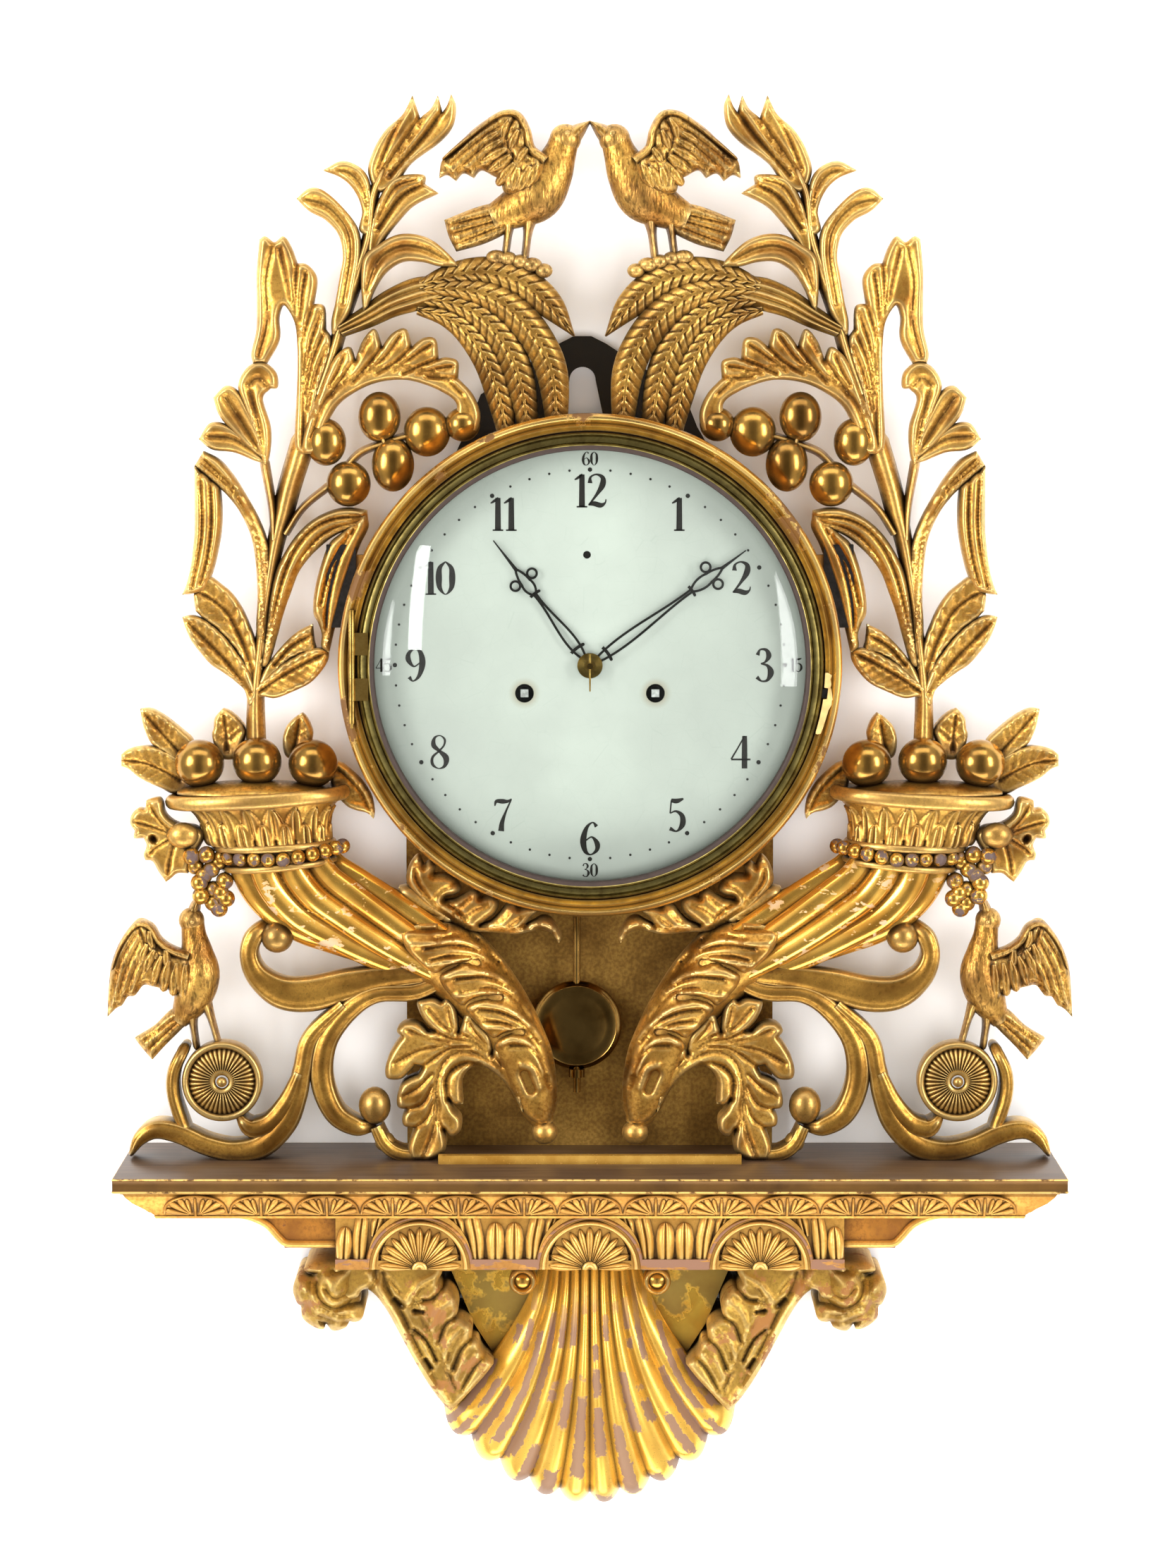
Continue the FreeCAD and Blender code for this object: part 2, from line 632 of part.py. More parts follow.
HORN = [(-208, -128, 38), (-197, -147, 32), (-176, -161, 32), (-140, -178, 28), (-101, -196, 23),
        (-73, -222, 22), (-53, -249, 20), (-41, -279, 17), (-35, -302, 12), (-30, -312, 6)]
HORN_FLUTE_DEPTH = 0.05
HORN_TWIST = 0.12
BASKET = [(-208, -133, 37), (-213, -124, 43), (-219, -117, 41), (-226, -104, 50), (-227, -91, 58)]
BASKET_RIM = [(-227, -91, 59), (-227, -87, 63), (-227, -83, 63), (-227, -80, 60)]
HORN_TIP = (-30, -317, 9)
HORN_ACANTHUS = [
    [(-62, -262, 14), (-80, -256, 20), (-97, -261, 22), (-105, -281, 22), (-105, -305, 22), (-112, -332, 18)],
    [(-85, -250, 14), (-100, -240, 22), (-112, -231, 14)],
    [(-72, -256, 10), (-80, -246, 14), (-84, -238, 8)],
    [(-95, -258, 14), (-115, -253, 16), (-128, -246, 8)],
    [(-100, -262, 14), (-121, -264, 26), (-134, -275, 14)],
    [(-104, -280, 14), (-118, -290, 22), (-126, -296, 12)],
    [(-106, -300, 12), (-116, -306, 16), (-124, -311, 8)],
    [(-104, -298, 12), (-97, -309, 16), (-93, -315, 10)],
    [(-92, -262, 8), (-94, -280, 12), (-89, -296, 7)],
    [(-110, -320, 18), (-118, -334, 14), (-128, -336, 10)],
]
VINE = [
    [(-258, -106, 18), (-286, -104, 18), (-309, -101, 8)],
    [(-268, -108, 20), (-290, -98, 14), (-296, -91, 5)],
    [(-264, -110, 24), (-277, -126, 24), (-287, -142, 6)],
    [(-276, -118, 20), (-294, -122, 16), (-303, -127, 6)],
]
GRAPES = [(-268, -134), (-258, -136), (-265, -144), (-256, -149), (-248, -143), (-264, -153), (-256, -158),
          (-248, -155), (-254, -127), (-262, -126)]
GRAPE_RADIUS = 5.6


def cornucopia():
    """A twisted horn with its basket, rim, acanthus sheath and hanging vine, carved in one piece."""
    middle = size("carving_depth")
    horn = limb(HORN, size("horn_flatness"), int(size("horn_flutes")), HORN_FLUTE_DEPTH, HORN_TWIST)
    basket = stack(BASKET, size("basket_flatness"))
    rim = stack(BASKET_RIM, size("basket_flatness"))
    tip = ball(*HORN_TIP)
    sheath = carved(HORN_ACANTHUS, middle - 14, middle + 14)
    vine = carved(VINE, middle - 8, middle + 8)
    grapes = [ball(x, z, GRAPE_RADIUS, depth=middle + 4) for x, z in GRAPES]
    whole = fused([horn, basket, rim, tip, sheath, vine] + grapes)
    return whole.cut(SHELF_ROOM).cut(DRUM_ROOM)


CORNUCOPIA = cornucopia()
pair("cornucopia", CORNUCOPIA)

FRUIT = [(-265, -64), (-226, -62.5), (-188, -64)]
FRUIT_LEAVES = [
    [(-279, -57, 12), (-293, -43, 20), (-305, -29, 3)],
    [(-276, -76, 14), (-298, -67, 20), (-319, -62, 7)],
    [(-246, -55, 13), (-249, -40, 19), (-250, -29, 3)],
    [(-202, -55, 13), (-199, -42, 17), (-196, -32, 3)],
    [(-174, -70, 13), (-163, -84, 17), (-149, -101, 3)],
    [(-276, -73, 13), (-226, -73, 13), (-176, -73, 13)],
]


def basket_fruit():
    middle = size("carving_depth")
    fruit = [ball(x, z, size("fruit_radius"), depth=middle + 4) for x, z in FRUIT]
    leaves = carved(FRUIT_LEAVES, middle - 16, middle - 4)
    return fused(fruit + [leaves]).cut(CORNUCOPIA).cut(DRUM_ROOM)


BASKET_FRUIT = basket_fruit()
node(feature("fruit", Part.makeCompound([BASKET_FRUIT, mirrored(BASKET_FRUIT)])), "basket_fruit")

FOLIAGE = [
    [(-226, -52, 11), (-226, -20, 10), (-224, 12, 9), (-219, 50, 9), (-213, 85, 10), (-208, 105, 11),
     (-203, 125, 10), (-195, 152, 12)],
    [(-229, -12, 6), (-240, 4, 17), (-256, 18, 21), (-275, 35, 2)],
    [(-226, 0, 6), (-231, 20, 13), (-243, 40, 19), (-264, 56, 9)],
    [(-222, -18, 6), (-208, -7, 15), (-195, 2, 20), (-177, 12, 3)],
    [(-221, -6, 6), (-213, 8, 12), (-202, 19, 14), (-187, 25, 12)],
    [(-223, 15, 8), (-221, 45, 11), (-221, 75, 12), (-228, 98, 13), (-240, 119, 14), (-253, 136, 13),
     (-261, 144, 9)],
    [(-260, 142, 13), (-260, 120, 16), (-259, 100, 18), (-261, 80, 17), (-266, 64, 13), (-271, 53, 8)],
    [(-221, 12, 9), (-212, 42, 12), (-204, 66, 14), (-192, 83, 15), (-176, 96, 16), (-157, 102, 13)],
    [(-157, 100, 12), (-167, 80, 18), (-174, 60, 19), (-179, 40, 16), (-182, 22, 9)],
    [(-212, 100, 6), (-214, 120, 6), (-220, 140, 7)],
    [(-222, 143, 8), (-238, 153, 12), (-250, 159, 14), (-261, 156, 8)],
    [(-222, 143, 7), (-235, 165, 13), (-244, 180, 16), (-248, 188, 9)],
    [(-220, 141, 8), (-224, 165, 15), (-229, 183, 15), (-229, 198, 10)],
    [(-230, 194, 9), (-224, 202, 10), (-216, 200, 10), (-213, 193, 6)],
    [(-197, 148, 10), (-191, 178, 15), (-184, 202, 14), (-179, 222, 6)],
    [(-195, 180, 8), (-192, 214, 16), (-182, 244, 7)],
    [(-196, 200, 8), (-195, 238, 17), (-186, 267, 9)],
    [(-198, 220, 8), (-201, 258, 17), (-203, 288, 9)],
    [(-208, 286, 14), (-215, 270, 16), (-216.5, 250, 15), (-217, 230, 14), (-220, 217, 11), (-223, 209, 9)],
    [(-193, 152, 12), (-183, 178, 14), (-172, 190, 14), (-156, 197, 12), (-138, 202, 12), (-118, 201, 12),
     (-101, 195, 12), (-90, 186, 13), (-83, 172, 13)],
    [(-178, 182, 8), (-170, 200, 12), (-163, 216, 5)],
    [(-170, 190, 10), (-158, 208, 17), (-146, 227, 6)],
    [(-156, 196, 10), (-141, 211, 17), (-125, 228, 5)],
    [(-142, 200, 10), (-124, 210, 16), (-105, 221, 5)],
    [(-126, 201, 10), (-108, 204, 14), (-90, 206, 4)],
    [(-181, 190, 8), (-173, 212, 8), (-169, 228, 9), (-165, 243, 10), (-156, 269, 11), (-150, 285, 8)],
    [(-171, 236, 7), (-166, 262, 10), (-161, 282, 11), (-163, 297, 12), (-171, 308, 13), (-182, 314, 13),
     (-193, 317, 8)],
    [(-151, 284, 6), (-151, 312, 8), (-153, 324, 10), (-161, 333, 9), (-170, 336, 8), (-177, 336, 3)],
    [(-151, 312, 8), (-146, 328, 10), (-140, 345, 18), (-131, 362, 16), (-119.5, 384, 1.5)],
    [(-142, 326, 10), (-128, 344, 16), (-113, 363, 10), (-102.5, 384, 1.5)],
    [(-140, 328, 8), (-120, 345, 13), (-102, 362, 13), (-93, 385, 1.5)],
    [(-151, 280, 6), (-144, 304, 10), (-133, 324, 11), (-113, 330, 4)],
    [(-151, 280, 6), (-138, 302, 10), (-124, 316, 10), (-104, 321, 2)],
    [(-160, 252, 12), (-150, 270, 12), (-141, 279, 14), (-128, 284, 16), (-114, 284, 15), (-101, 280, 13),
     (-91, 275, 3)],
    [(-204, 108, 6), (-187, 117, 6), (-176, 124, 6)],
    [(-198, 150, 6), (-188, 152, 6), (-176, 152, 6)],
    [(-166, 136, 6), (-155, 147, 6), (-140, 153, 6), (-124, 158, 6), (-110, 160, 6)],
    [(-141, 168, 6), (-139, 154, 6), (-133, 142, 6)],
]
BERRIES = [(-176, 153, 11, 11.5), (-162, 125, 13.5, 14), (-141, 170, 13, 14), (-131, 137, 13.5, 15),
           (-110, 160, 14, 16), (-86, 166, 10.5, 10.5)]


def foliage():
    """Stems, reeds, tulip, acanthus and berries that rise from the basket."""
    middle = size("carving_depth")
    leaves = carved(FOLIAGE, middle - 9, middle + 9)
    berries = [ball(*berry) for berry in BERRIES]
    return fused([leaves] + berries).cut(DRUM_ROOM).cut(BASKET_FRUIT).cut(cleat(-1))


LEFT_FOLIAGE = foliage()
pair("foliage", LEFT_FOLIAGE)

PALM = [
    [(-166, 231, 10), (-146, 241, 15), (-128, 250, 20), (-108, 254, 20)],
    [(-112, 258, 8), (-92, 266, 13), (-69, 268, 15), (-47, 263, 16), (-27, 249, 15), (-12, 228, 3)],
    [(-112, 255, 8), (-89, 258, 12), (-68, 254, 15), (-50, 242, 17), (-34, 222, 18), (-25, 200, 18),
     (-23, 164, 14)],
    [(-112, 250, 8), (-92, 247, 10), (-73, 237, 13), (-58, 219, 15), (-48, 195, 15), (-43, 159, 13)],
    [(-112, 245, 8), (-95, 238, 10), (-80, 225, 12), (-68, 204, 12), (-60, 178, 10), (-56, 155, 9)],
]


def palm():
    middle = size("carving_depth")
    return carved(PALM, middle - 8, middle + 8).cut(DRUM_ROOM).cut(LEFT_FOLIAGE)


LEFT_PALM = palm()
pair("palm", LEFT_PALM)

LOVEBIRD_BODY = [(-66, 304, 9), (-50, 311, 14), (-36, 320, 18), (-26, 335, 15), (-20, 348, 10.5),
                 (-17, 358, 9)]
LOVEBIRD_HEAD = (-16.5, 357, 10)
LOVEBIRD_WING = [
    [(-36, 338, 20), (-46, 354, 22), (-54, 366, 16)],
    [(-48, 346, 28), (-70, 352, 26), (-95, 338, 9)],
    [(-52, 334, 16), (-75, 340, 18), (-94, 333, 8)],
]
LOVEBIRD_TRIM = [
    [(-55, 304, 16), (-78, 299, 20), (-91, 293, 18)],
    [(-12, 359, 12), (-7, 365, 8), (-1.5, 368, 2)],
    [(-55, 306, 6), (-55.5, 290, 5), (-56, 274, 6)],
    [(-41, 306, 6), (-42, 290, 5), (-43, 270, 6)],
    [(-66, 277, 7), (-50, 274, 9), (-31, 268, 7)],
]


def lovebird():
    """A bird with raised wing and spread tail, standing on the palm."""
    middle = size("carving_depth")
    body = limb(LOVEBIRD_BODY, 0.85)
    head = ball(*LOVEBIRD_HEAD)
    wing_slab = carved(LOVEBIRD_WING, middle - 4, middle + 14)
    trim = carved(LOVEBIRD_TRIM, middle - 5, middle + 5)
    return fused([body, head, wing_slab, trim]).cut(LEFT_PALM).cut(LEFT_FOLIAGE)


pair("lovebird", lovebird())

SCROLL = [
    [(-112, -208, 10), (-140, -209, 14), (-165, -215, 20), (-190, -221, 23), (-210, -220, 22),
     (-226, -210, 15), (-231, -196, 12), (-228, -183, 12), (-221, -175, 12)],
    [(-112, -219, 9), (-145, -221, 9), (-162, -230, 11), (-178, -250, 13), (-183, -270, 14), (-181, -288, 14),
     (-173, -304, 13), (-160, -312, 11), (-150, -313, 9)],
    [(-168, -228, 7), (-190, -250, 10), (-196, -272, 11), (-200, -290, 13), (-208, -309, 15),
     (-224, -325, 15), (-243, -329, 13), (-262, -325, 12), (-280, -317, 13), (-296, -314, 12),
     (-307, -320, 9), (-313, -331, 3)],
    [(-198, -275, 8), (-206, -294, 12), (-218, -310, 13), (-231, -314, 12), (-239, -306, 7)],
    [(-279, -312, 8), (-283, -290, 7), (-282, -273, 7), (-276, -260, 7)],
    [(-146, -312, 8), (-140, -324, 9), (-130, -331, 9), (-116, -332, 8)],
]
SCROLL_BALLS = [(-213, -182, 11), (-147, -298, 11, 13), (-140, -323, 7)]
SCROLL_PATERA = (-251, -281)
PATERA_BACK, PATERA_THICK = 12, 22


def scroll():
    """The scrolls that carry a cornucopia on the shelf, with a rosette."""
    middle = size("carving_depth")
    straps = carved(SCROLL, middle - 16, middle + 14)
    balls = [ball(*spot) for spot in SCROLL_BALLS]
    x, z = SCROLL_PATERA
    centre = Vector(x, PATERA_BACK - middle, carving_height(z))
    rosette = Part.makeCylinder(size("scroll_patera"), PATERA_THICK, centre, Vector(0, -1, 0))
    return fused([straps, rosette] + balls).cut(SHELF_ROOM).cut(CORNUCOPIA)


LEFT_SCROLL = scroll()
pair("scroll", LEFT_SCROLL)

GRAPE_BIRD_BODY = [(-281, -241, 6), (-272, -226, 12.5), (-266, -209, 13.5), (-268, -193, 10.5),
                   (-270, -181, 8), (-271, -170, 7)]
GRAPE_BIRD_HEAD = (-271, -171, 8.5)
GRAPE_BIRD_WING = [
    [(-276, -207, 20), (-296, -194, 26), (-306, -182, 18)],
    [(-296, -190, 24), (-313, -205, 22), (-326, -233, 3)],
]
GRAPE_BIRD_TRIM = [
    [(-278, -238, 10), (-292, -248, 13), (-302, -257, 14)],
    [(-271, -168, 8), (-269, -161, 6), (-265, -153, 3)],
    [(-270, -234, 5), (-269.5, -243, 4), (-269, -262, 5)],
    [(-262, -228, 5), (-258, -240, 4), (-254, -258, 5)],
]


def grape_bird():
    """A bird that stands on the rosette and pecks at the grapes."""
    middle = size("carving_depth")
    body = limb(GRAPE_BIRD_BODY, 0.95)
    head = ball(*GRAPE_BIRD_HEAD)
    wing_slab = carved(GRAPE_BIRD_WING, middle - 6, middle + 8)
    trim = carved(GRAPE_BIRD_TRIM, middle - 4, middle + 4)
    return fused([body, head, wing_slab, trim]).cut(LEFT_SCROLL).cut(CORNUCOPIA)


pair("grape_bird", grape_bird())

SPANDREL = [
    [(-112, -168, 18), (-90, -170, 20), (-68, -174, 14), (-45, -172, 12), (-30, -172, 9), (-21, -184, 2)],
    [(-104, -168, 14), (-116, -148, 12), (-120, -131, 6)],
    [(-100, -165, 14), (-95, -150, 18), (-92, -138, 12)],
    [(-85, -168, 14), (-76, -156, 16), (-68, -148, 12)],
    [(-62, -173, 10), (-52, -164, 12), (-42, -158, 8)],
    [(-108, -172, 16), (-120, -160, 16), (-128, -150, 6)],
]
SPANDREL_LEAF = carved(SPANDREL, size("carving_depth") - 10, size("carving_depth") + 12)
SPANDREL_LEAF = SPANDREL_LEAF.cut(CORNUCOPIA).cut(DRUM_ROOM)
SPANDREL_LEAF = max(SPANDREL_LEAF.Solids, key=lambda solid: solid.Volume)
node(feature("spandrels", Part.makeCompound([SPANDREL_LEAF, mirrored(SPANDREL_LEAF)])), "spandrel_leaves")

# Dial and hands

DIAL_BACK = "dial_depth - dial_thick"
DRILL_BACK = "dial_depth - 2 * dial_thick"
DRILL_FRONT = "dial_depth + dial_thick"
dial_disc = rod("dial_disc", "dial_radius", DIAL_BACK, "dial_depth")
holes = [rod("dial_centre_hole", "dial_bore", DRILL_BACK, DRILL_FRONT)]
for label, side in (("left", -1), ("right", 1)):
    holes.append(rod(label + "_winding_hole", "winding_hole", DRILL_BACK, DRILL_FRONT,
                     f"{side} * winding_spread", "-winding_drop"))
holes.append(rod("dial_regulator_hole", "regulator_hole", DRILL_BACK, DRILL_FRONT,
                 "regulator_shift", "regulator_height"))
feet = []
for label, side in (("left", -1), ("right", 1)):
    for level, z in (("upper", "foot_rise"), ("lower", "-foot_fall")):
        feet.append(rod(f"{label}_{level}_foot", "foot_radius", "front_plate_depth", DIAL_BACK,
                        f"{side} * foot_spread", z))
node(joined("dial", cut("dial_face", dial_disc, *holes), *feet), "dial_plate")


HAND_RING_RADIUS, HAND_RING_SHIFT = 4, 7


def hand_outline(reach, waist, rings, boss, bore):
    """An openwork hand that points up: a boss, a long loop, a crossbar with side rings, and a spear."""
    wire = size("hand_wire")
    front = Vector(0, -1, 0)
    disc = Part.makeCylinder(boss, 1, Vector(), front)
    strokes = []
    for side in (-1, 1):
        strokes.append([(side * 1.5, boss - 1, wire), (side * 3.3, 0.26 * waist, wire),
                        (side * 2.4, 0.6 * waist, wire), (side * 0.9, waist, wire)])
        strokes.append([(0, waist - 1, wire), (side * 3.4, waist + 0.35 * (rings - waist), wire),
                        (side * 3.2, rings - 2, wire)])
        strokes.append([(side * 3.2, rings - 3, wire), (side * 2.2, rings + 4, wire), (0, rings + 9, wire)])
    strokes.append([(-5, 14, 2.2), (0, 14.6, 2.2), (5, 14, 2.2)])
    strokes.append([(-3.6, waist, 2), (0, waist + 0.4, 2), (3.6, waist, 2)])
    strokes.append([(0, rings + 7, 2.6), (0, 0.5 * (rings + reach), 1.8), (0, reach - 0.5, 0.8)])
    slabs = [disc] + [ribbon(points).extrude(front) for points in strokes]
    for side in (-1, 1):
        centre = Vector(side * HAND_RING_SHIFT, 0, rings)
        outer = Part.makeCylinder(HAND_RING_RADIUS, 1, centre, front)
        slabs.append(outer.cut(Part.makeCylinder(HAND_RING_RADIUS - wire, 1, centre, front)))
    return fused(slabs).cut(Part.makeCylinder(bore, 1, Vector(), front))


def set_hand(shape, angle, face):
    """Thins a hand to its real thickness, brings it to its depth and turns it clockwise."""
    thick = size("hand_thick")
    squash = Matrix()
    squash.scale(Vector(1, thick, 1))
    shape = shape.transformGeometry(squash) if thick != 1 else shape
    shape.translate(Vector(0, -(face - thick), 0))
    shape.rotate(Vector(), Vector(0, 1, 0), angle)
    return shape


def tube(outer, inner, back, front, x=0, z=0):
    """A pipe along the depth, or a bar where the inner radius is nought."""
    bar = Part.makeCylinder(outer, front - back, Vector(x, -back, z), Vector(0, -1, 0))
    if inner:
        bar = bar.cut(Part.makeCylinder(inner, front - back, Vector(x, -back, z), Vector(0, -1, 0)))
    return bar


MINUTE_BOSS = 7
HOUR_BOSS = 8
MINUTE_REACH = size("minute_reach")
HOUR_REACH = size("hour_reach")
minute_outline = hand_outline(MINUTE_REACH, 0.65 * MINUTE_REACH, 0.78 * MINUTE_REACH, MINUTE_BOSS,
                              size("cannon_radius"))
hour_outline = hand_outline(HOUR_REACH, 0.57 * HOUR_REACH, 0.685 * HOUR_REACH, HOUR_BOSS,
                            size("hour_pipe_radius"))
minute_shape = set_hand(minute_outline, size("minute_angle"), size("minute_hand_depth"))
hour_shape = set_hand(hour_outline, size("hour_angle"), size("hour_hand_depth"))
node(feature("minute", minute_shape), "minute_hand")
node(feature("hour", hour_shape), "hour_hand")

# Door: bezel, domed glass, hinge and catch

BEZEL_BACK = "drum_depth + touch_gap"
GLASS_EDGE = "(bezel_bore + rebate_width - touch_gap)"
LIP_BACK = "glass_depth + 1.7"
bezel = turned("bezel", [
    ("bezel_bore + rebate_width", BEZEL_BACK),
    ("bezel_radius", BEZEL_BACK),
    ("bezel_radius", "bezel_depth - 3"),
    ("bezel_radius - 1.5", "bezel_depth - 1"),
    ("bezel_radius - 3.5", "bezel_depth - 1.5"),
    ("bezel_bore + 3.5", "bezel_depth - 1.5"),
    ("bezel_bore + 2", "bezel_depth"),
    ("bezel_bore", "bezel_depth - 2"),
    ("bezel_bore", LIP_BACK),
    ("bezel_bore + rebate_width", LIP_BACK),
])
node(bezel, "door_bezel")

GLASS_RADIUS = f"(({GLASS_EDGE}^2 + glass_rise^2) / (2 * glass_rise))"
GLASS_CENTRE = f"-(glass_depth + glass_rise - {GLASS_RADIUS})"
glass_outer = bound("Sphere", "glass_outer", ("0", GLASS_CENTRE, "0"), FORWARD, Radius=GLASS_RADIUS)
glass_inner = bound("Sphere", "glass_inner", ("0", GLASS_CENTRE, "0"), FORWARD,
                    Radius=f"{GLASS_RADIUS} - glass_thick")
glass_blank = rod("glass_blank", GLASS_EDGE, "glass_depth - 2 * glass_thick", "glass_depth + glass_rise + 1")
glass_cap = doc.addObject("Part::MultiCommon", "glass_cap")
glass_cap.Shapes = [glass_outer, glass_blank]
node(cut("glass", glass_cap, glass_inner), "dome_glass")

doc.recompute()


KNUCKLES = 5
KNUCKLE_GAP = 0.1


def hinge_leaf(knuckles, plate):
    """Knuckles along the hinge pin, each with the piece of leaf that carries it."""
    length = size("hinge_length")
    each = length / KNUCKLES
    gap = KNUCKLE_GAP
    axis = Vector(-size("hinge_offset"), -size("ring_depth"), 0)
    solids = []
    for number in knuckles:
        low = -length / 2 + number * each + gap
        place = Vector(axis.x, axis.y, low)
        solids.append(Part.makeCylinder(size("knuckle_radius"), each - 2 * gap, place))
        left, right, back, front = plate
        corner = Vector(axis.x + left, axis.y - front, low)
        solids.append(Part.makeBox(right - left, front - back, each - 2 * gap, corner))
    return solids


def hinge_bore(radius):
    length = size("hinge_length")
    return Part.makeCylinder(radius, 2 * length, Vector(-size("hinge_offset"), -size("ring_depth"), -length))


def case_hinge():
    """Case half of the hinge: three knuckles with the pin."""
    radius = size("knuckle_radius")
    seat = -2 * radius - size("touch_gap")
    solids = hinge_leaf((0, 2, 4), (-radius, radius - 0.4, seat, 0))
    pin = Part.makeCylinder(size("hinge_pin_radius"), size("hinge_length") + 3,
                            Vector(-size("hinge_offset"), -size("ring_depth"), -size("hinge_length") / 2 - 3))
    return fused(solids + [pin])


def door_hinge():
    """Door half of the hinge: two knuckles on leaves that reach the bezel."""
    reach = size("hinge_offset") - size("bezel_radius") + 8
    solids = fused(hinge_leaf((1, 3), (0, reach, -1.2, 0.6)))
    return solids.cut(hinge_bore(size("hinge_pin_radius") + size("running_gap"))).cut(bezel.Shape)


node(feature("case_leaf", case_hinge()), "case_hinge_leaf")
node(feature("door_leaf", door_hinge()), "door_hinge_leaf")
catch_bar = block("catch_bar", "bezel_radius - 6", "bezel_radius + 4", "ring_depth - 7", "ring_depth - 4",
                  "-catch_drop", "-catch_drop + catch_size")
node(cut("catch", catch_bar, bezel), "door_catch")

# Movement: plates, pillars, trains, motion work and winding

GAP = size("running_gap")
FRONT = size("front_plate_depth")
FRONT_BACK = FRONT - size("plate_thick")
REAR = size("rear_plate_depth")
REAR_BACK = REAR - size("plate_thick")


def meet(first, first_radius, second, second_radius):
    """Where two circles meet, on the right of the line from the first to the second."""
    gap = second - first
    length = gap.Length
    along = (length ** 2 + first_radius ** 2 - second_radius ** 2) / (2 * length)
    aside = math.sqrt(first_radius ** 2 - along ** 2)
    unit = gap / length
    return first + unit * along + Vector(unit.z, 0, -unit.x) * aside


CENTRE = Vector(0, 0, 0)
GOING = Vector(-size("winding_spread"), 0, -size("winding_drop"))
STRIKE = Vector(size("winding_spread"), 0, -size("winding_drop"))
PALLET = Vector(size("pendulum_shift"), 0, size("pendulum_height"))
ESCAPE = Vector(PALLET.x, 0, PALLET.z - size("escape_drop"))
LEAVES = size("pinion_leaves")
GREAT_MODULE = 2 * GOING.Length / (size("great_teeth") + LEAVES)
CENTRE_REACH = size("centre_module") * (size("centre_teeth") + LEAVES) / 2
THIRD_REACH = size("third_module") * (size("third_teeth") + LEAVES) / 2
THIRD = meet(CENTRE, CENTRE_REACH, ESCAPE, THIRD_REACH)
MOTION_REACH = size("motion_module") * (size("cannon_teeth") + size("minute_teeth")) / 2
HOUR_MODULE = 2 * MOTION_REACH / (LEAVES + size("hour_teeth"))
MINUTE = Vector(0, 0, -MOTION_REACH)
PIN_LEAN = math.radians(60)
PIN = STRIKE + Vector(math.cos(PIN_LEAN), 0, math.sin(PIN_LEAN)) * GOING.Length
HAMMER = Vector(size("hammer_shift"), 0, size("hammer_height"))
REGULATOR = Vector(size("regulator_shift"), 0, size("regulator_height"))
BELL = Vector(size("bell_shift"), 0, size("bell_height"))


def bearing(to, from_):
    """Direction from one arbor to another, as an angle from the x axis towards z."""
    return math.atan2(to.z - from_.z, to.x - from_.x)


PRESSURE = math.radians(20)


def wheel(teeth, module, place, facing, tooth_there, back, front):
    """A wheel of involute stub teeth with backlash, a tooth or else a gap in a given direction."""
    teeth = int(teeth)
    pitch = module * teeth / 2
    base = pitch * math.cos(PRESSURE)
    tip = pitch + 0.6 * module
    root = pitch - 0.95 * module
    slack = 0.08 * module / pitch

    def half_angle(radius):
        pressure = math.acos(min(1, base / max(radius, base)))
        involute = math.tan(pressure) - pressure
        start = math.tan(PRESSURE) - PRESSURE
        return math.pi / (2 * teeth) - slack + start - involute
    corners = []
    for tooth in range(teeth):
        middle = facing + 2 * math.pi * (tooth + (0 if tooth_there else 0.5)) / teeth
        for radius, side in ((root, -1), (tip, -1), (tip, 1), (root, 1)):
            angle = middle + side * half_angle(radius)
            corners.append((place.x + radius * math.cos(angle), place.z + radius * math.sin(angle)))
    return prism(corners, back, front)


def arbor_at(place, back, front, pivots=True):
    """An arbor between the plates, with thinner pivots that run in them."""
    body = tube(size("arbor_radius"), 0, back, front, place.x, place.z)
    if not pivots:
        return body
    ends = tube(size("pivot_radius"), 0, REAR_BACK, FRONT, place.x, place.z)
    return fused([body, ends])


THICK = size("wheel_thick")
PLAY = 0.4

great_depth = REAR + 6
strike_great_depth = FRONT_BACK - 6.5
centre_depth = FRONT_BACK - 3.5
third_depth = REAR + 2.5
escape_depth = 0.5 * (REAR + FRONT)

collet_back = size("minute_hand_depth") + 0.1
pin_depth = collet_back + 4.8


def hand_collet():
    """A domed washer on the centre arbor, held by a taper pin through the arbor."""
    radius = size("collet_radius")
    dome = Part.makeCone(radius, 0.45 * radius, 3.6, Vector(0, -collet_back, 0), Vector(0, -1, 0))
    dome = dome.cut(tube(size("arbor_radius"), 0, collet_back, collet_back + 4))
    pin = Part.makeCone(0.5, 0.95, 25, Vector(0, -pin_depth, -17))
    return Part.makeCompound([dome, pin]), pin


COLLET, TAPER_PIN = hand_collet()
node(feature("collet", COLLET), "hand_collet")


def centre_wheel():
    going_line = bearing(GOING, CENTRE)
    pinion = wheel(LEAVES, GREAT_MODULE, CENTRE, going_line, False, great_depth - 1, great_depth + THICK + 1)
    gear = wheel(size("centre_teeth"), size("centre_module"), CENTRE, bearing(THIRD, CENTRE), True,
                 centre_depth, centre_depth + THICK)
    shaft = tube(size("arbor_radius"), 0, REAR_BACK, pin_depth + 1.8)
    return fused([pinion, gear, shaft]).cut(TAPER_PIN)


def third_wheel():
    pinion = wheel(LEAVES, size("centre_module"), THIRD, bearing(CENTRE, THIRD), False,
                   centre_depth - 0.5, centre_depth + THICK + 0.5)
    gear = wheel(size("third_teeth"), size("third_module"), THIRD, bearing(ESCAPE, THIRD), True,
                 third_depth, third_depth + THICK)
    return fused([pinion, gear, arbor_at(THIRD, REAR + PLAY, FRONT_BACK - PLAY)])


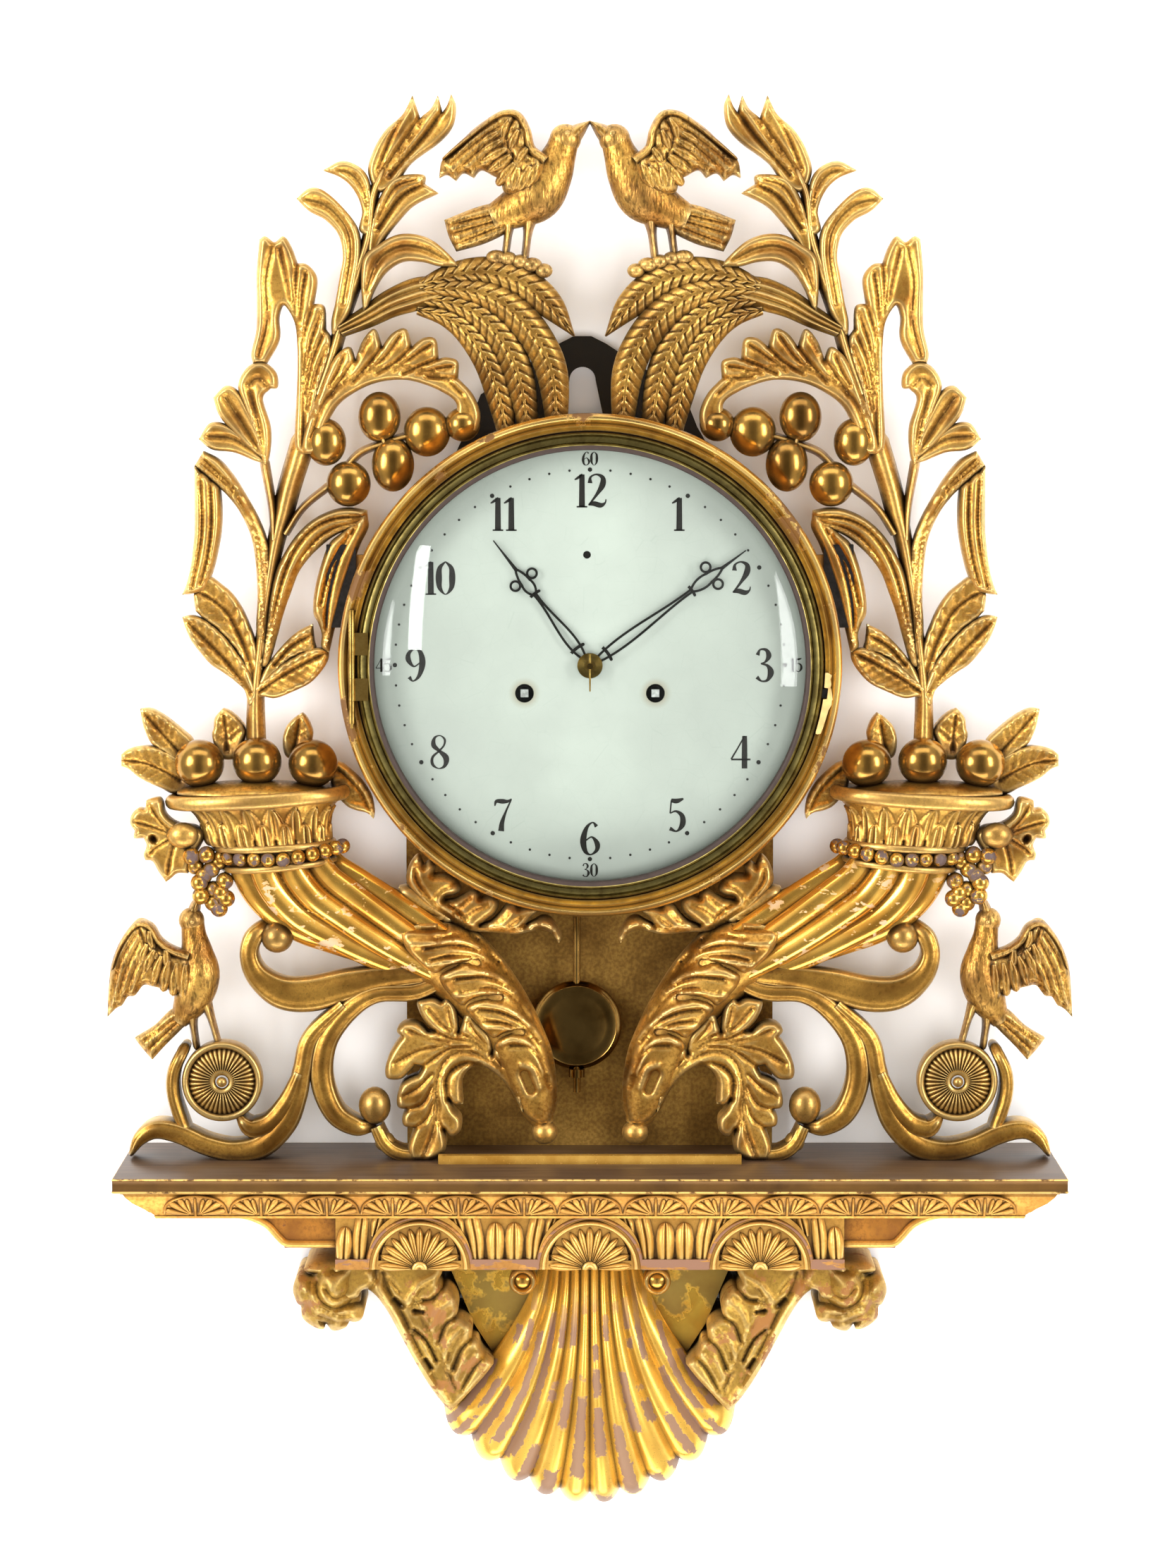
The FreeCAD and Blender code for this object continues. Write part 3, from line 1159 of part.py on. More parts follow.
def escape_wheel():
    pinion = wheel(LEAVES, size("third_module"), ESCAPE, bearing(THIRD, ESCAPE), False,
                   third_depth - 1, third_depth + THICK + 1)
    teeth = int(size("escape_teeth"))
    tip = size("escape_radius")
    corners = []
    for tooth in range(teeth):
        angle = 2 * math.pi * tooth / teeth
        for radius, lean in ((tip, 0), (tip - 3.2, 0.25), (tip - 3.2, 0.85)):
            turn = angle + lean * 2 * math.pi / teeth
            corners.append((ESCAPE.x + radius * math.cos(turn), ESCAPE.z + radius * math.sin(turn)))
    gear = prism(corners, escape_depth, escape_depth + THICK)
    return fused([pinion, gear, arbor_at(ESCAPE, REAR + PLAY, FRONT_BACK - PLAY)])


PENDULUM = size("pendulum_depth")
CRUTCH_BACK = PENDULUM + size("rod_radius") + 2
CRUTCH_FRONT = CRUTCH_BACK + 2
CRUTCH_REACH = 45
PALLET_LEAN = math.radians(44)
PALLET_ROOM = 3.1


def anchor():
    """Pallets over the escape wheel, with their arbor and the crutch that drives the pendulum."""
    x, z = PALLET.x, PALLET.z
    arms = []
    clear = size("escape_radius") + PALLET_ROOM
    for side in (-1, 1):
        spot = ESCAPE + Vector(side * math.sin(PALLET_LEAN), 0, math.cos(PALLET_LEAN)) * clear
        strokes = [(x, z, 5), (x + side * 9, z - 3, 4), (spot.x, spot.z, 3)]
        arm = ribbon(strokes).extrude(Vector(0, -THICK, 0))
        arm.translate(Vector(0, -escape_depth, 0))
        arms.append(arm)
    shaft = tube(size("arbor_radius"), 0, CRUTCH_BACK, FRONT_BACK - PLAY, x, z)
    pivot = tube(size("pivot_radius"), 0, FRONT_BACK - 2, FRONT, x, z)
    foot = z - CRUTCH_REACH
    crutch = prism([(x - 3, z), (x - 2, foot), (x + 2, foot), (x + 3, z)], CRUTCH_BACK, CRUTCH_FRONT)
    pin_radius = 1.2
    reach = size("rod_radius") + size("touch_gap") + pin_radius
    half = reach + pin_radius + 0.3
    bar = prism([(x - half, foot - 4), (x + half, foot - 4), (x + half, foot), (x - half, foot)],
                CRUTCH_BACK, CRUTCH_FRONT)
    pins = []
    for side in (-1, 1):
        pins.append(tube(pin_radius, 0, PENDULUM - 4, CRUTCH_BACK, x + side * reach, foot - 2))
    return fused(arms + [shaft, pivot, crutch, bar] + pins)


def barrel(place, facing, great_back, drum_back):
    """A closed spring barrel with its great wheel, bored for the winding arbor."""
    gear = wheel(size("great_teeth"), GREAT_MODULE, place, facing, True, great_back, great_back + THICK)
    drum_front = drum_back + size("barrel_length")
    can = tube(size("barrel_radius"), 0, drum_back, drum_front, place.x, place.z)
    low = min(great_back, drum_back)
    high = max(great_back + THICK, drum_front)
    hub = tube(2 * size("winding_arbor_radius"), 0, low, high, place.x, place.z)
    bore = tube(size("winding_arbor_radius") + GAP, 0, low - 1, high + 1, place.x, place.z)
    return fused([gear, can, hub]).cut(bore)


RATCHET_TEETH = 20
RATCHET_DEPTH = 1.6


def winding_arbor(place):
    """A winding arbor: pivoted in both plates, with its ratchet and a square for the key."""
    radius = size("winding_arbor_radius")
    shoulder = FRONT + 4
    shaft = tube(radius, 0, REAR_BACK, shoulder, place.x, place.z)
    half = size("winding_square") / 2
    low_x, high_x = place.x - half, place.x + half
    low_z, high_z = place.z - half, place.z + half
    key = prism([(low_x, low_z), (high_x, low_z), (high_x, high_z), (low_x, high_z)],
                shoulder, size("dial_depth") - 0.2)
    tip = size("ratchet_radius")
    corners = []
    for tooth in range(RATCHET_TEETH):
        angle = 2 * math.pi * tooth / RATCHET_TEETH
        for radius, lean in ((tip, 0), (tip - RATCHET_DEPTH, 0.12)):
            turn = angle + lean * 2 * math.pi / RATCHET_TEETH
            corners.append((place.x + radius * math.cos(turn), place.z + radius * math.sin(turn)))
    ratchet = prism(corners, FRONT + PLAY, FRONT + 2)
    return fused([shaft, key, ratchet])


node(feature("centre", centre_wheel()), "centre_wheel")
node(feature("third", third_wheel()), "third_wheel")
node(feature("escape", escape_wheel()), "escape_wheel")
node(feature("pallets", anchor()), "anchor")
going_drum_back = great_depth + THICK + 1
strike_drum_back = strike_great_depth - 1 - size("barrel_length")
going_drive = barrel(GOING, bearing(CENTRE, GOING), great_depth, going_drum_back)
strike_drive = barrel(STRIKE, bearing(PIN, STRIKE), strike_great_depth, strike_drum_back)
node(feature("going", going_drive), "going_barrel")
node(feature("strike", strike_drive), "strike_barrel")
node(feature("going_winder", winding_arbor(GOING)), "going_arbor")
node(feature("strike_winder", winding_arbor(STRIKE)), "strike_arbor")


STRIKE_PINS = 8
STRIKE_PIN_RADIUS = 0.8


def pin_wheel():
    """A disc with pins that lift the hammer, on a pinion driven by the strike barrel."""
    pinion = wheel(LEAVES, GREAT_MODULE, PIN, bearing(STRIKE, PIN), False,
                   strike_great_depth - 1, strike_great_depth + THICK + 1)
    radius = size("pin_wheel_radius")
    face = third_depth + THICK
    disc = tube(radius, 0, third_depth, face, PIN.x, PIN.z)
    circle = radius - 2 * STRIKE_PIN_RADIUS
    pins = []
    for number in range(STRIKE_PINS):
        angle = 2 * math.pi * number / STRIKE_PINS
        x = PIN.x + circle * math.cos(angle)
        z = PIN.z + circle * math.sin(angle)
        pins.append(tube(STRIKE_PIN_RADIUS, 0, face, face + 3.5, x, z))
    return fused([pinion, disc, arbor_at(PIN, REAR + PLAY, FRONT_BACK - PLAY)] + pins)


node(feature("pins", pin_wheel()), "pin_wheel")

BELL_BACK = size("board_thick") + 6
BELL_MOUTH = REAR_BACK - 4
BELL_STUD = 3
HEAD_RADIUS = 5
HEAD = Vector(BELL.x + size("bell_radius") + HEAD_RADIUS + 1.5, 0, BELL.z)


def bell():
    """A cup bell, mouth forwards, on a stud from the rear plate."""
    height = BELL_MOUTH - BELL_BACK
    radius = size("bell_radius")
    wall = 3
    front = Vector(0, -1, 0)
    crown = Vector(BELL.x, -BELL_BACK, BELL.z)
    outer = Part.makeCone(0.6 * radius, radius, height, crown, front)
    inner = Part.makeCone(0.6 * radius - wall, radius - wall, height, crown + front * wall, front)
    return outer.cut(inner).cut(tube(BELL_STUD, 0, BELL_BACK - 1, BELL_MOUTH, BELL.x, BELL.z))


node(feature("bell_cup", bell()), "bell")


def hammer():
    """A hammer arbor between the plates, with a tail by the pin wheel and an arm to the bell."""
    shaft = arbor_at(HAMMER, REAR + PLAY, FRONT_BACK - PLAY)
    tail_tip = PIN + (HAMMER - PIN) * ((size("pin_wheel_radius") + 1.2) / (HAMMER - PIN).Length)
    rise = HAMMER - PIN
    aside = Vector(-rise.z, 0, rise.x) * (1.5 / rise.Length)
    tail = prism([(p.x, p.z) for p in (HAMMER + aside, tail_tip + aside, tail_tip - aside, HAMMER - aside)],
                 third_depth + THICK + 0.8, third_depth + THICK + 2.8)
    neck = tube(size("pivot_radius"), 0, BELL_MOUTH - 8, REAR_BACK + 1, HAMMER.x, HAMMER.z)
    lift = HEAD - HAMMER
    side = Vector(-lift.z, 0, lift.x) * (2 / lift.Length)
    arm = prism([(p.x, p.z) for p in (HAMMER + side, HEAD + side, HEAD - side, HAMMER - side)],
                BELL_MOUTH - 6, BELL_MOUTH - 3)
    head = tube(HEAD_RADIUS, 0, BELL_MOUTH - 9, BELL_MOUTH - 1, HEAD.x, HEAD.z)
    return fused([shaft, tail, neck, arm, head])


node(feature("hammer_arm", hammer()), "hammer")


def minute_wheel():
    facing = bearing(CENTRE, MINUTE)
    gear = wheel(size("minute_teeth"), size("motion_module"), MINUTE, facing, False, FRONT + 1.2, FRONT + 2.8)
    pinion = wheel(LEAVES, HOUR_MODULE, MINUTE, facing, False, FRONT + 2.8, FRONT + 7.4)
    bore = tube(size("pivot_radius") + GAP, 0, FRONT, FRONT + 10, MINUTE.x, MINUTE.z)
    return fused([gear, pinion]).cut(bore)


def cannon_pinion():
    facing = bearing(MINUTE, CENTRE)
    gear = wheel(size("cannon_teeth"), size("motion_module"), CENTRE, facing, True, FRONT + 1, FRONT + 3)
    face = size("minute_hand_depth")
    pipe = tube(size("cannon_radius"), 0, FRONT + 0.5, face)
    return fused([gear, pipe]).cut(tube(size("arbor_radius") + GAP, 0, FRONT, face + 1))


def hour_wheel():
    facing = bearing(MINUTE, CENTRE)
    gear = wheel(size("hour_teeth"), HOUR_MODULE, CENTRE, facing, True, FRONT + 5, FRONT + 6.6)
    face = size("hour_hand_depth")
    pipe = tube(size("hour_pipe_radius"), 0, FRONT + 4.5, face)
    return fused([gear, pipe]).cut(tube(size("cannon_radius") + GAP, 0, FRONT, face + 1))


node(feature("minute_gear", minute_wheel()), "minute_wheel")
node(feature("cannon", cannon_pinion()), "cannon_pinion")
node(feature("hour_gear", hour_wheel()), "hour_wheel")


def plate(back, front, extras, holes):
    """A movement plate with what is riveted to it, drilled for its arbors."""
    half = size("plate_half_width")
    foot, top = -size("plate_fall"), size("plate_rise")
    shape = prism([(-half, foot), (half, foot), (half, top), (-half, top)], back, front)
    shape = fused([shape] + extras) if extras else shape
    drills = [tube(radius + GAP, 0, back - 1, front + 1, place.x, place.z) for place, radius in holes]
    return shape.cut(drills[0].multiFuse(drills[1:]))


pivot = size("pivot_radius")
arbor = size("arbor_radius")
winder = size("winding_arbor_radius")
shared_holes = [(CENTRE, arbor), (THIRD, pivot), (ESCAPE, pivot), (PIN, pivot), (HAMMER, pivot),
                (GOING, winder), (STRIKE, winder)]
front_holes = shared_holes + [(PALLET, pivot), (REGULATOR, arbor)]
rear_holes = shared_holes + [(PALLET, arbor)]
minute_stud = tube(pivot, 0, FRONT - 1, FRONT + 8, MINUTE.x, MINUTE.z)
bell_stud = tube(BELL_STUD, 0, BELL_BACK - 2, REAR_BACK + 1, BELL.x, BELL.z)
node(feature("front", plate(FRONT_BACK, FRONT, [minute_stud], front_holes)), "front_plate")
node(feature("rear", plate(REAR_BACK, REAR, [bell_stud], rear_holes)), "rear_plate")

pillars = []
for side_x in (-1, 1):
    for label, z in (("upper", "plate_rise - pillar_inset"), ("lower", "pillar_inset - plate_fall")):
        pillars.append(rod(f"pillar_{label}_{side_x + 1}", "pillar_radius", "rear_plate_depth",
                           "front_plate_depth - plate_thick",
                           f"{side_x} * (plate_half_width - pillar_inset)", z))
node(joined("pillars", *pillars), "plate_pillars")


def suspension_cock():
    """A bracket behind the rear plate with the stud the pendulum hangs from."""
    x, z = PALLET.x, PALLET.z
    left, right, top = x - 8, x + 8, z + 18
    back = PENDULUM - 7
    foot = prism([(left, z + 10), (right, z + 10), (right, top), (left, top)], back, REAR_BACK)
    tab = prism([(left, z - 5), (right, z - 5), (right, top), (left, top)], back, back + 3)
    stud = tube(size("stud_radius"), 0, PENDULUM - 5, PENDULUM + 3, x, z)
    return fused([foot, tab, stud])


node(feature("cock", suspension_cock()), "suspension_cock")


def click(place):
    """A click screwed to the front plate, just clear of its ratchet."""
    x = place.x
    low = place.z + size("ratchet_radius") + size("touch_gap")
    return prism([(x - 7, low + 2), (x - 2, low), (x + 7, low + 3), (x + 7, low + 7)], FRONT, FRONT + 2)


node(feature("clicks", Part.makeCompound([click(GOING), click(STRIKE)])), "winding_clicks")


def regulator_arbor():
    """A squared arbor that a small key turns through the dial."""
    shaft = tube(size("arbor_radius"), 0, FRONT_BACK - 3, size("dial_depth") - 0.4, REGULATOR.x, REGULATOR.z)
    collar = tube(4, 0, FRONT + PLAY, FRONT + 2, REGULATOR.x, REGULATOR.z)
    return fused([shaft, collar])


node(feature("regulator", regulator_arbor()), "regulator_arbor")

# Pendulum

ROD_TOP = "pendulum_height"
BOB_HEIGHT = "(pendulum_height - pendulum_length)"
ROD_FOOT = f"{BOB_HEIGHT} - bob_radius - 3 * nut_radius"
NUT_FOOT = f"{BOB_HEIGHT} - bob_radius - touch_gap - nut_radius"
rod_bar = bound("Cylinder", "rod_bar", ("pendulum_shift", "-pendulum_depth", ROD_FOOT),
                Radius="rod_radius", Height=f"{ROD_TOP} - ({ROD_FOOT})")
rod_eye = rod("rod_eye", "rod_radius * 2", "pendulum_depth - 1.5", "pendulum_depth + 1.5",
              "pendulum_shift", ROD_TOP)
rod_hole = rod("rod_hole", "stud_radius + running_gap", "pendulum_depth - 9", "pendulum_depth + 9",
               "pendulum_shift", ROD_TOP)
node(cut("hanging_rod", joined("rod_and_eye", rod_bar, rod_eye), rod_hole), "pendulum_rod")
bob_disc = rod("bob_disc", "bob_radius", "pendulum_depth - bob_thick / 2", "pendulum_depth + bob_thick / 2",
               "pendulum_shift", BOB_HEIGHT)
node(cut("bob", bob_disc, rod_bar), "pendulum_bob")
nut_disc = bound("Cylinder", "nut_disc", ("pendulum_shift", "-pendulum_depth", NUT_FOOT),
                 Radius="nut_radius", Height="nut_radius")
node(cut("nut", nut_disc, rod_bar), "rating_nut")

doc.recompute()
faults = []
for piece in doc.Objects:
    if {"Invalid", "Error"} & set(piece.State):
        faults.append(f"{piece.Name}: {piece.State}")
for piece in NODES:
    if piece.Shape.isNull() or not piece.Shape.isValid():
        faults.append(f"{piece.Label}: shape is empty or not valid")
if faults:
    raise RuntimeError("; ".join(faults))

os.makedirs("parts", exist_ok=True)
for piece in NODES:
    piece.Shape.exportStep(f"parts/{piece.Label}.step")
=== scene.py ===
import math
from functools import partial

import bmesh
import bpy
import numpy as np
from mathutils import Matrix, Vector
from mathutils.geometry import delaunay_2d_cdt


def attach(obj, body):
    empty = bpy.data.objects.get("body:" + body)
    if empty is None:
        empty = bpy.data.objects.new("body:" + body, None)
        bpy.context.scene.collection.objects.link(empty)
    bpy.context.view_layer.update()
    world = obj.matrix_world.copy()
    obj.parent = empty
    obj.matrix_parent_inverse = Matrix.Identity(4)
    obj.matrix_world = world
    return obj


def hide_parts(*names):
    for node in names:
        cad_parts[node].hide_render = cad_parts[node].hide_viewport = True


# The gilded wall clock's looks, fitted over its CAD frame. Shapes are drawn in millimetres: x to the right,
# z up and depth forwards from the wall. Carvings are drawn from the same datum line as their solids.

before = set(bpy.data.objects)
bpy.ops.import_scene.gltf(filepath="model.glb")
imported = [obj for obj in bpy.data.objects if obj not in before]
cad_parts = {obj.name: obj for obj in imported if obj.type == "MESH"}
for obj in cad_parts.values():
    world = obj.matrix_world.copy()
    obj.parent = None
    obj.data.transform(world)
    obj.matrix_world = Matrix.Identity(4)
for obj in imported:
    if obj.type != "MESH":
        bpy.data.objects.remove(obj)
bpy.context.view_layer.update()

MM = 0.001
# Height that the carvings are drawn from, and depth of the plane that runs through their middle
DATUM = -5.0
PLANE = 62.0


def hex_rgb(code):
    """A colour of the screen, as linear light."""
    parts = [int(code[i:i + 2], 16) / 255 for i in (1, 3, 5)]
    return [c / 12.92 if c <= 0.04045 else ((c + 0.055) / 1.055) ** 2.4 for c in parts] + [1.0]


def grey(value):
    """A share between nothing and all, as a colour."""
    return (value, value, value, 1)


# Materials

def fill(tree, node, inputs):
    """Sets a node's inputs to values, or links them to other nodes' outputs."""
    for name, value in inputs.items():
        if isinstance(value, bpy.types.NodeSocket):
            tree.links.new(value, node.inputs[name])
        else:
            node.inputs[name].default_value = value


def add(tree, kind, inputs, out=0, stops=(), **settings):
    """Adds a node with its settings, links and ramp stops, and gives one of its outputs."""
    node = tree.nodes.new("ShaderNode" + kind)
    for name, value in settings.items():
        setattr(node, name, value)
    fill(tree, node, inputs)
    if stops:
        elements = node.color_ramp.elements
        while len(elements) < len(stops):
            elements.new(0.5)
        for element, (spot, colour) in zip(elements, stops):
            element.position = spot
            element.color = colour
    return node.outputs[out]


def new_material(name):
    """An empty material, with what adds its nodes, its shader, and its object-space place in millimetres."""
    material = bpy.data.materials.new(name)
    material.use_nodes = True
    tree = material.node_tree
    put = partial(add, tree)
    place = put("TexCoord", {}, "Object")
    place = put("VectorMath", {0: place, 1: (1000, 1000, 1000)}, operation="MULTIPLY")
    return material, put, tree.nodes["Principled BSDF"], place


# Heights between which the shell's ribs spread, half widths there, and ribs on each side of the middle
SHELL_HEAD, SHELL_FOOT = -408.0, -574.0
SHELL_NECK, SHELL_SPREAD, SHELL_SIDE_RIBS = 33.0, 72.0, 5.0


def shell_wear(put, place):
    """Where the shell is rubbed: blocks on the crests of its ribs, cut off across them."""
    x = put("SeparateXYZ", {0: place}, "X")
    z = put("SeparateXYZ", {0: place}, "Z")
    ragged = put("TexNoise", {"Vector": place, "Scale": 1 / 5, "Detail": 5, "Roughness": 0.65})
    fall = put("MapRange", {"Value": z, "From Min": SHELL_HEAD, "From Max": SHELL_FOOT})
    half = put("Math", {0: fall, 1: 2.4}, operation="POWER")
    half = put("Math", {0: half, 1: SHELL_SPREAD, 2: SHELL_NECK}, operation="MULTIPLY_ADD")
    rib = put("Math", {0: x, 1: half}, operation="DIVIDE")
    rib = put("Math", {0: rib, 1: SHELL_SIDE_RIBS}, operation="MULTIPLY")
    aside = put("Math", {0: rib}, operation="FRACT")
    aside = put("Math", {0: aside, 1: 0.5}, operation="SUBTRACT")
    aside = put("Math", {0: aside}, operation="ABSOLUTE")
    aside = put("Math", {0: ragged, 1: 0.5, 2: aside}, operation="MULTIPLY_ADD")
    crest = put("ValToRGB", {"Fac": aside}, stops=[(0.5, grey(1)), (0.54, grey(0))])
    along = put("Math", {0: z, 1: 0.03}, operation="MULTIPLY")
    along = put("Math", {0: ragged, 1: 0.5, 2: along}, operation="MULTIPLY_ADD")
    row = put("Math", {0: rib}, operation="FLOOR")
    row = put("Math", {0: row, 1: 7.3}, operation="MULTIPLY")
    spot = put("CombineXYZ", {"X": row, "Z": along})
    block = put("TexNoise", {"Vector": spot, "Scale": 1.0, "Detail": 2.0})
    block = put("ValToRGB", {"Fac": block}, stops=[(0.48, grey(0)), (0.5, grey(0.92))])
    low = put("ValToRGB", {"Fac": fall}, stops=[(0.08, grey(0)), (0.3, grey(1))])
    rubbed = put("MixRGB", {"Fac": 1.0, "Color1": crest, "Color2": block}, blend_type="MULTIPLY")
    return put("MixRGB", {"Fac": 1.0, "Color1": rubbed, "Color2": low}, blend_type="MULTIPLY")


def panel_wear(put, place):
    """Where the panel under the frieze is darkened: most of its upper part, as a painted shadow of the frieze,
    and in patches further down, as stains.
    """
    height = put("SeparateXYZ", {0: place}, "Z")
    climb = put("MapRange", {"Value": height, "From Min": -478.0, "From Max": -412.0})
    patches = put("TexNoise", {"Vector": place, "Scale": 1 / 24, "Detail": 4, "Roughness": 0.6})
    amount = put("Math", {0: climb, 1: 0.3, 2: patches}, operation="MULTIPLY_ADD")
    return put("ValToRGB", {"Fac": amount}, stops=[(0.6, grey(0)), (0.68, grey(0.85))])


# The grain of beaten leaf is far under a millimetre, and is drawn this coarse, in millimetres, to show
LEAF_GRAIN = 2.6
# Pale colour painted on the ridges of the gilding as a highlight
PAINTED_RIDGE_HIGHLIGHT = "#f4d790"
# Barbs of feathers, drawn coarse too: about 2 mm across and 7 mm along
BARB_SCALE = (0.45, 0.45, 0.14)
# How high the leaf's grain and the barbs stand, in metres
GRAIN_RISE, BARB_RISE = 0.0006, 0.0014


def gilded(name, bright, mid, hollow, rough=0.36, reach=0.016, bump=0.22, lumps=30, shine=0.78, grain=1.0,
           wear_and_shadow=None,
           wear_share=0.0, wear_size=(17, 17, 17), wear_open=0.8, wear_and_shadow_map=None, streaks=False, edges=True):
    """Gold leaf on carved wood: mottled, with brown painted shade in hollows and creases and a pale painted
    highlight on ridges, rubbed through in patches.

    lumps and wear_size are the sizes of its patches and its rubbed spots in millimetres, reach is how far in
    metres the painted shade spreads from hollows, hollow is the colour of that painted shade, shine is how
    metallic it is, and streaks draws feathers' barbs, with painted shade between them.
    """
    material, put, shader, place = new_material(name)
    patches = put("TexNoise", {"Vector": place, "Scale": 1 / lumps, "Detail": 4, "Roughness": 0.55})
    fine = put("TexNoise", {"Vector": place, "Scale": 1 / LEAF_GRAIN, "Detail": 5, "Roughness": 0.65})
    gold = put("ValToRGB", {"Fac": patches}, stops=[(0.34, hex_rgb(mid)), (0.6, hex_rgb(bright))])
    dull = put("ValToRGB", {"Fac": fine}, stops=[(0.36, grey(0.75 * grain)), (0.54, grey(0))])
    gold = put("MixRGB", {"Fac": dull, "Color1": gold, "Color2": hex_rgb(mid)})
    # Ambient occlusion: where it is low, the hollow colour is laid in as painted shade and the leaf is made
    # less metallic
    shade = put("AmbientOcclusion", {"Distance": reach}, "AO", samples=6)
    if edges:
        # Pointiness: creases get the hollow colour as painted shade, ridges the pale colour as a painted
        # highlight
        point = put("NewGeometry", {}, "Pointiness")
        crease = put("ValToRGB", {"Fac": point}, stops=[(0.42, grey(0.85)), (0.49, grey(0))])
        ridge = put("ValToRGB", {"Fac": point}, stops=[(0.51, grey(0)), (0.58, grey(0.55))])
        gold = put("MixRGB", {"Fac": ridge, "Color1": gold, "Color2": hex_rgb(PAINTED_RIDGE_HIGHLIGHT)})
        gold = put("MixRGB", {"Fac": crease, "Color1": gold, "Color2": hex_rgb(hollow)})
    open_sky = put("ValToRGB", {"Fac": shade}, stops=[(0.3, grey(0)), (0.8, grey(1))])
    colour = put("MixRGB", {"Fac": open_sky, "Color1": hex_rgb(hollow), "Color2": gold})
    metal = put("ValToRGB", {"Fac": shade}, stops=[(0.25, grey(0.3 * shine)), (0.75, grey(shine))])
    polish = put("ValToRGB", {"Fac": fine}, stops=[(0.3, grey(rough + 0.14 * grain)),
                                                   (0.7, grey(rough - 0.05 * grain))])
    if wear_and_shadow:
        if wear_and_shadow_map:
            # For the panel this mask is a painted shadow of the frieze as well as stains
            rubbed = wear_and_shadow_map(put, place)
        else:
            spread = put("Mapping", {"Vector": place, "Scale": [1 / size for size in wear_size]})
            rubbed = put("TexNoise", {"Vector": spread, "Scale": 1.0, "Detail": 7.0, "Roughness": 0.62})
            edge = 0.69 - 0.2 * wear_share
            rubbed = put("ValToRGB", {"Fac": rubbed}, stops=[(edge, grey(0)), (edge + 0.03, grey(1))])
            kept = put("ValToRGB", {"Fac": shade}, stops=[(wear_open - 0.25, grey(1)), (wear_open, grey(0))])
            rubbed = put("MixRGB", {"Fac": kept, "Color1": rubbed, "Color2": grey(0)})
        colour = put("MixRGB", {"Fac": rubbed, "Color1": colour, "Color2": hex_rgb(wear_and_shadow)})
        metal = put("MixRGB", {"Fac": rubbed, "Color1": metal, "Color2": grey(0.05)})
        polish = put("MixRGB", {"Fac": rubbed, "Color1": polish, "Color2": grey(0.55)})
    height, rise = fine, GRAIN_RISE
    if streaks:
        spread = put("Mapping", {"Vector": place, "Scale": BARB_SCALE})
        height = put("TexNoise", {"Vector": spread, "Scale": 1.0, "Detail": 3, "Roughness": 0.55})
        rise = BARB_RISE
        # The low lines between barbs get the hollow colour as painted shade
        between = put("ValToRGB", {"Fac": height}, stops=[(0.36, grey(0.6)), (0.5, grey(0))])
        colour = put("MixRGB", {"Fac": between, "Color1": colour, "Color2": hex_rgb(hollow)})
    skin = put("Bump", {"Height": height, "Strength": bump, "Distance": rise})
    fill(material.node_tree, shader, {"Base Color": colour, "Metallic": metal, "Roughness": polish,
                                      "Normal": skin})
    return material


def tarnished(name, light, dark, rough, size=9.0, metal=1.0):
    """Metal with a tarnish in patches of a size in millimetres, duller where it is darker."""
    material, put, shader, place = new_material(name)
    stain = put("TexNoise", {"Vector": place, "Scale": 1 / size, "Detail": 5, "Roughness": 0.6})
    colour = put("ValToRGB", {"Fac": stain}, stops=[(0.35, hex_rgb(dark)), (0.65, hex_rgb(light))])
    polish = put("ValToRGB", {"Fac": stain}, stops=[(0.3, grey(rough + 0.12)), (0.7, grey(rough))])
    fill(material.node_tree, shader, {"Base Color": colour, "Roughness": polish, "Metallic": metal})
    return material


# Depth in front of which the winding squares are pale: partly rubbed by keys, partly a painted highlight
KEY_REACH = -91.5


def winder_steel():
    """Dark steel with a pale end, partly rubbed bright by keys and partly a painted highlight."""
    material, put, shader, place = new_material("key_rubbed_steel_with_painted_highlight")
    depth = put("SeparateXYZ", {0: place}, "Y")
    tip = put("MapRange", {"Value": depth, "From Min": KEY_REACH + 0.3, "From Max": KEY_REACH})
    stain = put("TexNoise", {"Vector": place, "Scale": 1 / 3, "Detail": 4, "Roughness": 0.55})
    dark = put("ValToRGB", {"Fac": stain}, stops=[(0.3, hex_rgb("#0e0b09")), (0.7, hex_rgb("#1c1713"))])
    bright = put("ValToRGB", {"Fac": stain}, stops=[(0.3, hex_rgb("#8f8e8c")), (0.7, hex_rgb("#c8c8c8"))])
    colour = put("MixRGB", {"Fac": tip, "Color1": dark, "Color2": bright})
    fill(material.node_tree, shader, {"Base Color": colour, "Metallic": 0.3, "Roughness": 0.4})
    return material


WINDING_HOLES = ((-44.0, -92.0, -19.0), (44.0, -92.0, -19.0))
HOLE_RADIUS, STAIN_RADIUS = 6.3, 11.0


